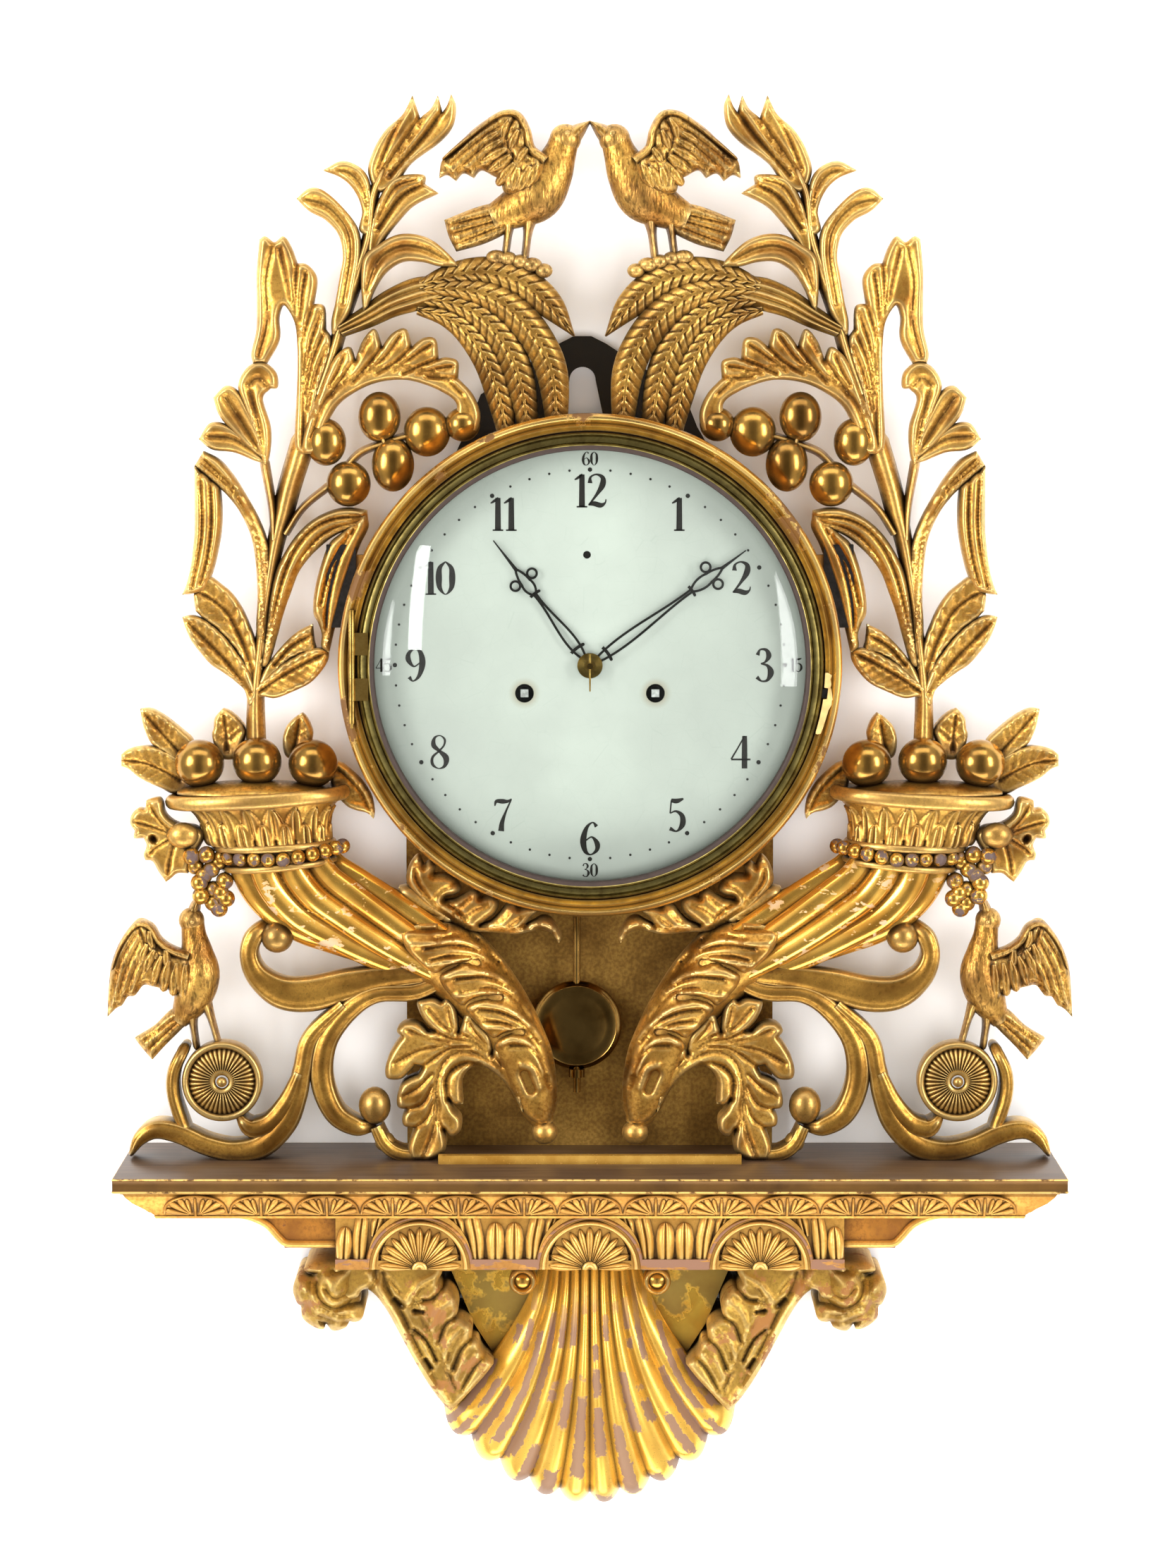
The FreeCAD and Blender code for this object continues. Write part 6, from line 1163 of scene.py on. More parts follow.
SERRATED_VEINS = [
    ([(-193, 152), (-193, 190), (-195, 225), (-203, 258), (-209, 284)], 2.0, 1.6),
    [(-197, 274), (-198, 255), (-197, 232)], [(-186, 247), (-192, 226), (-193, 206)],
    [(-178, 230), (-187, 208), (-191, 186)], [(-191, 268), (-194, 250), (-195, 232)],
    [(-181, 241), (-188, 220), (-192, 200)], [(-177, 218), (-185, 198), (-190, 176)],
    ([(-213, 286), (-218, 262), (-217, 236), (-223, 212)], 1.6, 2.0),
]
HALF_ACANTHUS = [
    (-194, 150), (-187, 178), (-176, 204, 1), (-170, 213), (-162, 218), (-158, 209, 1), (-153, 222),
    (-145, 230), (-140, 218, 1), (-133, 227), (-124, 230), (-120, 218, 1), (-112, 224), (-104, 223),
    (-102, 210, 1), (-96, 211), (-89, 208), (-89, 197, 1), (-79, 186), (-74, 172), (-78, 160), (-90, 166),
    (-90, 180), (-100, 188), (-115, 194), (-128, 196), (-144, 194), (-158, 188), (-170, 179), (-178, 165),
    (-184, 148),
]
HALF_VEINS = [
    ([(-188, 156), (-178, 182), (-160, 197), (-140, 204), (-118, 204), (-100, 198),
      (-86, 186)], 1.6, 1.5),
    ([(-158, 209), (-166, 198), (-174, 186)], 2.4, 1.5),
    ([(-140, 218), (-149, 206), (-160, 194)], 2.4, 1.5),
    ([(-120, 218), (-130, 208), (-144, 200)], 2.4, 1.5),
    ([(-102, 210), (-112, 206), (-126, 200)], 2.4, 1.5),
    ([(-89, 197), (-98, 197), (-110, 198)], 2.2, 1.5),
    ([(-176, 204), (-181, 190), (-187, 172)], 2.2, 1.5), [(-165, 213), (-169, 202), (-175, 192)],
    [(-147, 226), (-154, 212), (-163, 199)], [(-127, 226), (-136, 213), (-148, 202)],
    [(-106, 220), (-118, 212), (-132, 202)], [(-92, 205), (-104, 203), (-116, 200)],
]
TOP_LEAVES = [
    ([(-143, 322), (-149, 335), (-145, 350), (-137, 363), (-126, 373), (-119, 386, 1), (-114, 371, 1),
      (-107, 377), (-102, 386, 1), (-99, 375, 1), (-96, 379), (-93, 387, 1), (-90, 379), (-92, 366),
      (-101, 355), (-120, 341), (-131, 326)], [([(-114, 371), (-124, 357), (-140, 334)], 2.8, 1.8),
      ([(-99, 375), (-111, 359), (-135, 332)], 2.8, 1.8), [(-121, 380), (-134, 356), (-142, 336)],
      [(-103, 382), (-116, 363), (-136, 336)]]),
    ([(-150, 280), (-147, 303), (-138, 324), (-129, 332), (-112, 333), (-111, 327, 1), (-102, 321, 1),
      (-118, 313), (-128, 303), (-138, 290), (-145, 276)], [([(-111, 327), (-127, 318),
      (-143, 296)], 2.6, 1.7), [(-116, 330), (-131, 324), (-143, 302)]]),
    ([(-179, 336, 1), (-167, 342), (-156, 339), (-149, 331), (-146, 315), (-147, 294), (-155, 296),
      (-153, 309), (-158, 322), (-167, 331)], [([(-174, 336), (-160, 333), (-151, 320),
      (-150, 302)], 2.0, 2.4)]),
    ([(-197, 317, 1), (-188, 324), (-178, 322), (-165, 310), (-156, 297), (-154, 282), (-157, 262),
      (-162, 240), (-172, 226), (-174, 234), (-171, 249), (-168, 266), (-166, 279), (-169, 293),
      (-178, 303), (-189, 309)], [([(-191, 316), (-176, 312), (-164, 298), (-161, 280),
      (-166, 248)], 2.6, 3.0)]),
    ([(-152, 240), (-153, 275), (-141, 287), (-129, 293), (-116, 293), (-104, 288), (-92, 277),
      (-89, 272, 1), (-101, 272), (-113, 275), (-126, 275), (-137, 268), (-145, 256)], [([(-150, 256),
      (-142, 276), (-128, 285), (-112, 284), (-95, 276)], 2.4, 2.8)]),
]
# Berries as (x, z, half width, half height)
BERRIES = [
    (-178, 154, 13.5, 16), (-163, 126, 15, 15.5), (-142, 171, 14.4, 17), (-133, 139, 14.4, 18.4),
    (-110, 161, 15.8, 16.8), (-86, 166, 12, 11.5),
]

foliage = layered(STEMS, 54, 68, STEM)
for i, (outline, midrib, reach, count) in enumerate(LEAF_OUTLINES):
    veins = [(midrib, 2.4, 1.6)] + side_veins(midrib, reach, count)
    foliage.append(relief(outline, veins, 54, 69 - 1.5 * (i % 2), 2.8, 2.8, dish=1.6, grid=1.4))
for i, (outline, veins) in enumerate(REED_OUTLINES):
    foliage.append(relief(outline, veins, 52, 70 + 1.2 * (i % 2), 5, 3.6, 2.2, 1.3, grid=1.4))
for i, (outline, veins) in enumerate(TULIP):
    foliage.append(relief(outline, veins, 54, 68 + 1.2 * i, 3.4, 3.2, 2.2, 2.0, dish=1.2, grid=1.4))
foliage.append(relief(SERRATED, SERRATED_VEINS, 53, 70, 3.6, 3.4, 2.0, 1.4, dish=1.0, grid=1.4))
foliage.append(relief(HALF_ACANTHUS, HALF_VEINS, 53, 73, 3.6, 3.4, 1.8, 1.3, dish=1.0, grid=1.4))
for i, (outline, veins) in enumerate(TOP_LEAVES):
    foliage.append(relief(outline, veins, 53, 68 + 1.1 * i, 3.6, 3.2, 1.9, 1.4, dish=1.2, grid=1.4))
both("foliage", foliage, GOLD, nodes=["foliage"])
both("berries", [egg(x, z, a, b, 12, PLANE + 2, 24, 40) for x, z, a, b in BERRIES], BERRY_GOLD)

# Palms and birds

PALM_STEM = [(-168, 229, 10), (-150, 238, 15), (-134, 247, 19), (-118, 253, 22), (-106, 256, 20)]
FRONDS = [
    [(-116, 243, 7), (-97, 238, 13), (-82, 227, 17), (-69, 207, 18), (-60, 180, 17), (-56, 157, 11)],
    [(-116, 250, 7), (-94, 248, 14), (-74, 239, 19), (-57, 220, 21), (-47, 195, 20), (-41, 160, 13)],
    [(-114, 259, 8), (-92, 266, 17), (-69, 268, 21), (-47, 262, 22), (-27, 246, 19), (-11, 226, 2)],
    [(-114, 256, 7), (-90, 257, 15), (-69, 253, 20), (-50, 241, 22), (-34, 221, 22), (-25, 198, 21),
      (-22, 163, 14)],
]
FROND = dict(crown=0.36, vein=1.4, ribs=(7.4, 2.2, 1.2), step=0.7, columns=25, droop=0.3)
palm = layered(FRONDS, 54, 68, FROND, 1.6)
palm.append(blade(PALM_STEM, 54, 74, crown=0.5, reeds=4, reed_depth=2.2, columns=25))
both("palm", palm, PALM_GOLD, nodes=["palm"])

LOVEBIRD_BODY = [
    (-66, 304, 9), (-50, 311, 14), (-36, 320, 18), (-26, 335, 15), (-20, 348, 11), (-17, 357, 9.8),
]
LOVEBIRD_WING = [
    (-31, 344), (-39, 349), (-41, 362), (-46, 371), (-55, 375), (-65, 372), (-78, 363), (-90, 351),
    (-99, 342), (-101, 331, 1), (-96, 333), (-90, 329, 1), (-85, 334), (-78, 331, 1), (-73, 336),
    (-66, 333), (-60, 329), (-57, 321), (-45, 321), (-32, 330),
]
LOVEBIRD_FEATHERS = [
    [(-62, 369), (-80, 357), (-97, 341)], [(-60, 365), (-80, 351), (-99, 335)],
    [(-57, 360), (-76, 347), (-93, 331)], [(-55, 354), (-70, 344), (-84, 332)],
    [(-53, 349), (-63, 342), (-73, 334)], ([(-50, 371), (-56, 358), (-52, 344), (-58, 332)], 2.2, 1.4),
    [(-45, 366), (-49, 355), (-45, 342), (-50, 328)], [(-43, 352), (-39, 342), (-42, 328)],
    [(-53, 362), (-46, 360)], [(-54, 352), (-43, 350)], [(-51, 343), (-41, 341)],
    [(-55, 335), (-42, 333)],
]
LOVEBIRD_TAIL = [
    (-50, 314), (-71, 313), (-98, 303, 1), (-95, 292), (-90, 282, 1), (-72, 287), (-57, 294), (-46, 302),
]
LOVEBIRD_TAIL_LINES = [[(-58, 308), (-97, 299)], [(-57, 304), (-95, 293)], [(-56, 300), (-92, 286)]]
LOVEBIRD_LEGS = [
    [(-54, 312, 17), (-54.5, 302, 11), (-55, 294, 6), (-57, 279, 5.4)],
    [(-40, 312, 15), (-41, 302, 10), (-42, 293, 6), (-44, 276, 5.4)],
]
# Buds that its feet grip, as (x, z, half width)
LOVEBIRD_PERCH = [(-63, 278, 7), (-55, 277, 6), (-47, 275, 6), (-39, 273, 7), (-31, 269, 6)]
LOVEBIRD_COVERTS = [
    [(-62, 360.5, 4), (-67, 357.6, 6), (-71.5, 355, 4)],
    [(-60, 355, 4), (-66, 351.6, 7), (-71, 348.8, 5)], [(-56.6, 349.5, 5), (-63, 346, 8), (-69, 343, 6)],
    [(-53, 345, 5), (-59, 340.4, 8.6), (-65.5, 336, 6)],
    [(-50.5, 340, 5), (-55.6, 334, 9), (-60.5, 328, 6)],
    [(-48, 337, 5), (-49.6, 330.6, 9), (-51.4, 324.5, 6)],
    [(-40, 338, 5), (-43.4, 331, 9.6), (-46, 325.5, 7)],
    [(-35, 339, 5), (-38.6, 332, 9.6), (-41, 327, 7)], [(-54, 369, 4), (-57.5, 363, 7), (-58.5, 357, 5)],
    [(-48, 362, 4), (-51, 356, 7), (-53, 350.6, 5)], [(-42, 350, 4), (-45.6, 345.6, 7), (-48, 341.6, 5)],
]
LOVEBIRD_ARM = [
    (-30, 342, 7), (-39.5, 350, 6.4), (-42.6, 362, 6), (-48, 371.6, 5.6), (-56, 373.4, 5),
    (-66, 369, 4.4), (-84, 355, 3.4), (-98, 343.4, 2),
]
FEATHER = dict(crown=0.22, vein=0.5, step=1.0, columns=13, droop=0.25)
bird = [limb(LOVEBIRD_BODY, 0.85, 36), egg(-16.5, 357, 10.6, 10.2, 9.6)]
bird += layered(LOVEBIRD_COVERTS, 66, 79, FEATHER, 0.5)
bird.append(blade(LOVEBIRD_ARM, 64, 80, crown=0.4, step=1.4))
bird.append(blade([(-14, 357, 14), (-8, 362.5, 10.5), (-0.3, 368.5, 2)], 54, 70, crown=0.7, vein=0.8))
bird.append(egg(-15, 360, 2.2, 2.2, 1.8, PLANE + 8.6, 8, 12))
bird.append(relief(LOVEBIRD_WING, LOVEBIRD_FEATHERS, 58, 78, 6, 6, 1.5, 1.1, grid=1.3))
bird.append(relief(LOVEBIRD_TAIL, LOVEBIRD_TAIL_LINES, 54, 68, 5, 5, 1.8, 1.2, grid=1.4))
bird += layered(LOVEBIRD_LEGS, 57, 69, STEM)
bird += [egg(x, z, half, 5, 6, PLANE + 3, 10, 16) for x, z, half in LOVEBIRD_PERCH]
both("lovebird", bird, FEATHERED, nodes=["lovebird"])

GRAPE_BIRD_BODY = [
    (-281, -241, 6), (-272, -226, 12.5), (-266, -209, 13.5), (-268, -193, 11), (-270, -181, 8.5),
    (-271, -170, 7.8),
]
GRAPE_BIRD_WING = [
    (-272, -196), (-285, -192), (-294, -185), (-299, -174), (-307, -170), (-314, -176), (-321, -187),
    (-326, -201), (-328, -218), (-329, -237, 1), (-323, -231), (-319, -229, 1), (-315, -223),
    (-310, -222), (-304, -215), (-297, -216), (-288, -218), (-274, -220),
]
GRAPE_BIRD_FEATHERS = [
    [(-309, -180), (-320, -200), (-327, -230)], [(-305, -183), (-315, -203), (-323, -229)],
    [(-301, -188), (-310, -205), (-316, -223)], [(-297, -193), (-305, -206), (-309, -220)],
    ([(-307, -174), (-302, -188), (-296, -202), (-294, -214)], 2.2, 1.4),
    [(-299, -179), (-294, -192), (-288, -204), (-285, -216)], [(-302, -186), (-293, -190)],
    [(-298, -197), (-288, -198)], [(-294, -207), (-283, -207)],
]
GRAPE_BIRD_TAIL = [
    (-284, -232), (-298, -244), (-311, -252, 1), (-306, -259), (-299, -267, 1), (-290, -257),
    (-279, -246), (-272, -238),
]
GRAPE_BIRD_TAIL_LINES = [[(-283, -238), (-307, -255)], [(-281, -241), (-303, -261)]]
GRAPE_BIRD_LEGS = [
    [(-272, -232, 11), (-271, -243, 6), (-269, -258, 5)],
    [(-264, -224, 11), (-259, -238, 6), (-254, -256, 5)],
]
GRAPE_BIRD_COVERTS = [
    [(-301, -186, 4), (-304, -193, 7), (-306, -200, 5)],
    [(-296, -190, 4), (-300, -198, 8), (-303, -206, 6)],
    [(-291, -194, 4), (-294.6, -203, 8), (-297, -212, 6)],
    [(-286, -197, 4), (-288.6, -207, 8.4), (-290, -216, 6)],
    [(-281, -199, 4), (-282.6, -209, 8.4), (-283.6, -219, 6)],
    [(-275, -200, 4), (-276, -211, 8), (-276.6, -221, 6)],
    [(-299, -177, 4), (-299, -183, 6), (-297, -188, 5)],
    [(-288, -190, 4), (-288, -196, 7), (-287, -202, 5)],
]
GRAPE_BIRD_ARM = [
    (-273, -195, 7), (-285, -190.6, 6), (-293.6, -184, 5.4), (-299, -175, 5), (-306.6, -172.6, 4.6),
    (-313, -178, 4), (-320, -189, 3.4), (-325, -203, 2.4),
]
pecker = [limb(GRAPE_BIRD_BODY, 0.95, 36), egg(-271.5, -171, 8.8)]
pecker += layered(GRAPE_BIRD_COVERTS, 62, 75, FEATHER, 0.5)
pecker.append(blade(GRAPE_BIRD_ARM, 60, 76, crown=0.4, step=1.4))
pecker.append(blade([(-271, -168, 9), (-268.5, -160, 7), (-265, -152, 1)], 56, 68, crown=0.7, vein=0.7))
pecker.append(egg(-270.5, -171.5, 1.9, 1.9, 1.6, PLANE + 8, 8, 12))
pecker.append(relief(GRAPE_BIRD_WING, GRAPE_BIRD_FEATHERS, 56, 74, 6, 6, 1.5, 1.1, grid=1.3))
pecker.append(relief(GRAPE_BIRD_TAIL, GRAPE_BIRD_TAIL_LINES, 54, 68, 5, 5, 1.8, 1.2, grid=1.4))
pecker += layered(GRAPE_BIRD_LEGS, 57, 68, STEM)
both("grape_bird", pecker, FEATHERED, nodes=["grape_bird"])

# Scrolls and leaves under the dial

SCROLL = [
    [(-106, -207, 12), (-140, -210, 17), (-165, -215, 22), (-190, -221, 24), (-210, -220, 22),
      (-226, -209, 16), (-232, -195, 13), (-229, -182, 13), (-221, -175, 11)],
    [(-94, -208, 9), (-118, -219, 12), (-145, -221, 12), (-163, -231, 14), (-178, -250, 15),
      (-183, -270, 16), (-181, -288, 16), (-173, -304, 15), (-160, -312, 13), (-150, -313, 8)],
    [(-168, -228, 8), (-190, -250, 12), (-196, -272, 13), (-200, -290, 15), (-208, -309, 17),
      (-224, -325, 17), (-243, -329, 15), (-262, -325, 14), (-280, -317, 14), (-296, -314, 13),
      (-307, -320, 10), (-314, -332, 3)],
    [(-198, -275, 9), (-206, -294, 13), (-218, -309, 14), (-231, -313, 13), (-240, -305, 5)],
    [(-277, -314, 9), (-284, -292, 9), (-284, -275, 9), (-277, -259, 8)],
    [(-146, -312, 9), (-140, -324, 10), (-130, -331, 10), (-114, -332, 9)],
]
PATERA = (-251, -281)
PATERA_RIM = [
    (26.4, 48), (27.4, 56), (27.4, 70), (26.4, 72), (24.8, 72.4), (23.4, 71.6), (22.8, 70), (22.4, 52),
]
PATERA_PETALS = [(22.8, 69), (20, 71.4), (14, 72.6), (8, 71.8), (4.4, 70.2)]
PATERA_BOSS = [(8.4, 71.4), (7.4, 73), (6, 73), (4.6, 71.4)]
patera = [closed_lathe(PATERA_RIM, x=PATERA[0], z=PATERA[1] + DATUM, segments=72),
          lathe(PATERA_PETALS, PATERA[0], PATERA[1] + DATUM, 320, 40, 1.4),
          lathe(PATERA_BOSS, PATERA[0], PATERA[1] + DATUM, 40),
          egg(*PATERA, 3.6, depth=72, rows=10, columns=16)]
scrolls = layered(SCROLL, 46, 74, STRAP, 0.9)
scrolls += [egg(-213, -182, 11, depth=PLANE + 4), egg(-147, -298, 11, 13, 11, PLANE + 4),
            egg(-140, -323, 7, depth=PLANE + 4)]
both("scroll", scrolls + patera, SCROLL_GOLD, nodes=["scroll"])

SPANDREL = [
    (-117, -126), (-123, -133), (-125, -142), (-122, -149), (-115, -157), (-107, -164), (-97, -170),
    (-88, -175), (-80, -178), (-66, -179), (-50, -180), (-40, -178), (-33, -177), (-26, -180),
    (-21, -186, 1), (-19.5, -182), (-22, -176), (-26, -170), (-32, -168), (-38, -171), (-44, -174, 1),
    (-40, -168), (-36, -164), (-42, -161), (-48, -161.5, 1), (-52, -158.5), (-57, -160), (-61, -165),
    (-67, -171), (-75, -174, 1), (-70, -170), (-64, -165), (-62, -158), (-66, -154), (-74, -155, 1),
    (-76, -151), (-80, -150), (-86, -153), (-92, -156), (-99, -157, 1), (-98, -154), (-92, -153),
    (-88, -149), (-92, -142), (-98, -139), (-106, -139, 1), (-105, -133), (-109, -130), (-113, -133, 1),
]
SPANDREL_VEINS = [
    ([(-118, -131), (-118, -142), (-112, -152), (-103, -162), (-92, -170), (-80, -176), (-60, -178),
      (-40, -175), (-24, -180)], 2.4, 1.7),
    ([(-99, -157), (-92, -162), (-84, -170)], 2.4, 1.5),
    ([(-75, -174), (-68, -175), (-60, -176)], 2.0, 1.5), [(-92, -145), (-101, -150), (-107, -157)],
    [(-68, -159), (-78, -163), (-88, -171)], [(-80, -154), (-88, -161), (-94, -167)],
    [(-53, -162), (-58, -168), (-66, -175)], [(-40, -164), (-48, -169), (-56, -175)],
]
SPANDREL_FOOT = [
    (-130, -148, 1), (-130, -153), (-127, -163), (-122, -172), (-116, -176), (-104, -175), (-93, -171),
    (-100, -163), (-110, -155), (-117, -149), (-124, -147),
]
SPANDREL_FOOT_VEINS = [
    [(-127, -154), (-115, -163), (-98, -170)], [(-123, -167), (-112, -170), (-100, -172)],
]
spandrel = [relief(SPANDREL_FOOT, SPANDREL_FOOT_VEINS, 52, 71, 5, 5.5),
            relief(SPANDREL, SPANDREL_VEINS, 52, 73, 6, 5.5, 1.5, 1.4, grid=1.5)]
piece("spandrels", spandrel + mirror(spandrel), GOLD, "case", ["spandrel_leaves"])

# Moulding, frieze and bracket


def plinth(levels, half, front):
    """A block against the wall, from (height, inset at the ends, inset at the front) levels."""
    rings = []
    for z, side, face in levels:
        a, b = half - side, front - face
        rings.append([(-a, 0, z), (a, 0, z), (a, -b, z), (-a, -b, z)])
    return loft(rings)


SHELF_HALF, SHELF_FRONT = 319.0, 145.0
# Levels of the shelf: height, inset at the ends, inset at the front
SHELF_LEVELS = [
    (-340, 0.9, 0.9), (-340.4, 0.2, 0.2), (-341.2, 0, 0), (-341.6, 0.4, 0.4), (-348.2, 0.4, 0.4),
    (-348.6, 0, 0), (-349.4, 0.1, 0.1), (-350, 0.8, 0.8),
]
piece("shelf_edge", [plinth(SHELF_LEVELS, SHELF_HALF, SHELF_FRONT)], SHELF, "case", ["shelf_board"])

MOULDING_TOP = SHELF_UNDER
# Levels of the moulding: fall below its top, inset at the ends, inset at the front
MOULDING_LEVELS = [
    (0.0, 5.0, 5.0), (1.2, 5.2, 5.2), (1.6, 6.8, 6.4), (4.0, 8.5, 7.0), (8.0, 13.0, 8.6),
    (12.0, 20.0, 10.8), (15.0, 25.0, 12.6), (17.0, 27.4, 13.8), (17.4, 27.0, 13.2), (19.0, 28.0, 14.0),
]
moulding_body = plinth([(MOULDING_TOP - fall, side, face) for fall, side, face in MOULDING_LEVELS],
                       SHELF_HALF, SHELF_FRONT)
# Width of one unit of the moulding, and where the first stands on its ends
PALMETTE, END_PALMETTE = 44.0, 20
# Lobes of its fan: turn in degrees, length, width
FAN_LOBES = ((10, 18.5, 4.6), (31, 17.5, 5.2), (53, 14.0, 5.0), (75, 11.4, 3.8))


def palmette(x):
    """Strokes of one unit of the moulding: an arch over a stem with a fan of lobes on each side."""
    arch = [(x + 21 * math.cos(t), -17 + 14.4 * math.sin(t) ** 0.7,
             1.9) for t in np.linspace(0.04, math.pi - 0.04, 11)]
    strokes = [(arch, 2.2, 0.5), ([(x, -17, 2.0), (x, -10, 2.6), (x, -4.5, 1.6)], 2.6, 0.5)]
    for side in (-1, 1):
        for turn, reach, width in FAN_LOBES:
            a, b = math.cos(math.radians(turn)), math.sin(math.radians(turn))
            foot = (x + side * 2.6, -16.2)
            path = [(foot[0] + side * a * share * reach, foot[1] + b * share * reach, w) for share, w in
                    ((0.1, 1.6), (0.55, width * 0.9), (0.86, width))]
            strokes.append((path, 3.2, 0.75))
    return strokes


def on_moulding(strokes, end=0):
    """Blades laid on the moulding's front, or on its left (-1) or right (1) end."""
    falls, sides, faces_in = zip(*MOULDING_LEVELS)
    placed = []
    for path, rise, crown in strokes:
        points, faces = blade(path, -1.0, rise, crown=crown, vein=0.4, step=1.5, columns=7, droop=0.5)
        moved = []
        for a, b, c in points:
            drop = DATUM - c
            if end:
                moved.append((end * (SHELF_HALF - np.interp(drop, falls, sides) - b), -a,
                              MOULDING_TOP - drop))
            else:
                moved.append((a, b - SHELF_FRONT + np.interp(drop, falls, faces_in), MOULDING_TOP - drop))
        placed.append((moved, faces))
    return placed


piece("moulding_body", [moulding_body], MOULD_GOLD, "case", ["shelf_moulding"])
band = []
for step in range(-6, 7):
    band += on_moulding(palmette(PALMETTE * step))
for step in range(3):
    for end in (-1, 1):
        band += on_moulding(palmette(END_PALMETTE + PALMETTE * step), end)
piece("moulding_leaves", band, BAND_GOLD, "case", ())

# Foot of the frieze's arches, where their tops are cut off above it, and the depth of the frieze's ground
ARCH_Z = -407.6
ARCH_TOP = 38.5
FRIEZE_FACE, BAND_FACE = 105.0, 111.0
ARCHES = (-115, 0, 115)
FAN_RIBS, FAN_FIRST, FAN_STEP = 13, 5, 14.17
FAN_RIB = ((6, 2.2), (14, 5.4), (21, 6.6), (26, 4.4), (28.6, 1.0))


def arch_rib(x, inner, outer, back, front, count=9):
    """A rounded half ring over an arch."""
    rib = [((inner + outer) / 2 + (outer - inner) / 2 * math.cos(t),
            back + (front - back) * math.sin(t) ** 0.6)
           for t in np.linspace(0, math.pi, count)]
    points, faces = [], []
    turns = np.linspace(0, math.pi, 49)
    for t in turns:
        points += [(x + r * math.cos(t), -d, ARCH_Z + min(r * math.sin(t), ARCH_TOP)) for r, d in rib]
    for i in range(len(turns) - 1):
        for j in range(count - 1):
            faces.append((i * count + j, i * count + j + 1, (i + 1) * count + j + 1, (i + 1) * count + j))
    return points, faces


def tongue(path, front, vein=2.0):
    """An upright leaf on the frieze, drawn in the clock's own heights."""
    own = [(x, z - DATUM, w) for x, z, w in path]
    return blade(own, FRIEZE_FACE - 1, front, crown=0.5, vein=vein, step=1.2, columns=17, droop=0.5)


fans, bands = [], []
for x in ARCHES:
    for k in range(FAN_RIBS):
        turn = math.radians(FAN_FIRST + FAN_STEP * k)
        a, b = math.cos(turn), math.sin(turn)
        path = [(x + r * a, ARCH_Z + r * b, w) for r, w in FAN_RIB]
        fans.append(tongue(path, 113 - 0.9 * (k % 2), 0.9))
    fans.append(arch_rib(x, 0.4, 6.4, FRIEZE_FACE, 113))
    fans.append(arch_rib(x, 29.4, 33.2, FRIEZE_FACE, 112.4))
    bands.append(arch_rib(x, 33.2, 37.0, FRIEZE_FACE, BAND_FACE))
for x in (-57.5, 57.5):
    for side in (-1, 1):
        fans.append(tongue([(x + side * 29, -386, 5), (x + side * 31.5, -378, 8),
                            (x + side * 33, -373.5, 7)], 108))
        fans.append(tongue([(x + side * 18.5, -401, 9), (x + side * 19.5, -388, 11),
                            (x + side * 22, -375, 10)], 109.5))
        fans.append(tongue([(x + side * 6.4, -401, 11), (x + side * 6.4, -390, 12.6),
                            (x + side * 6.4, -382, 11)], 110.5))
for side in (-1, 1):
    fans.append(tongue([(side * 146, -386, 5), (side * 144, -378, 8), (side * 143, -373.5, 7)], 108))
    fans.append(tongue([(side * 156, -401, 8.5), (side * 155.5, -388, 10.5), (side * 154, -375, 9)], 109.5))
    fans.append(tongue([(side * 166.5, -401, 9), (side * 166, -391, 11), (side * 165.5, -384, 9)], 110.5))
piece("frieze_leaves", fans, FRIEZE_GOLD, "case", ())
for low, high in ((-172, -150), (-80, -35), (35, 80), (150, 172)):
    corners = [(low, -FRIEZE_FACE), (low, -BAND_FACE), (high, -BAND_FACE), (high, -FRIEZE_FACE)]
    bands.append(loft([[(x, y, ARCH_Z + z) for x, y in corners] for z in (-0.4, 0.2, 6.2, 6.6)]))
piece("frieze_bands", bands, STRIP_GOLD, "case", ())

WING_BORDER = [
    (-249.5, -371.8, 5), (-232, -374.2, 5), (-219.5, -379.6, 5), (-211.5, -388, 5), (-206.5, -392.4, 5),
    (-198, -393.2, 5), (-173, -393.2, 5),
]
WING_TOP = [(-249.5, -370.8, 3.4), (-210, -370.8, 3.4), (-173, -370.8, 3.4)]
border = [blade([(x, z - DATUM, w) for x, z, w in line], 92, 98.4, crown=0.35,
                step=1.6) for line in (WING_BORDER, WING_TOP)]
piece("wing_borders", border + mirror(border), FRIEZE_GOLD, "case", ())


# Share of the shell's length at which its lip rolls back, and by how much
LIP, LIP_ROLL = 0.94, 14


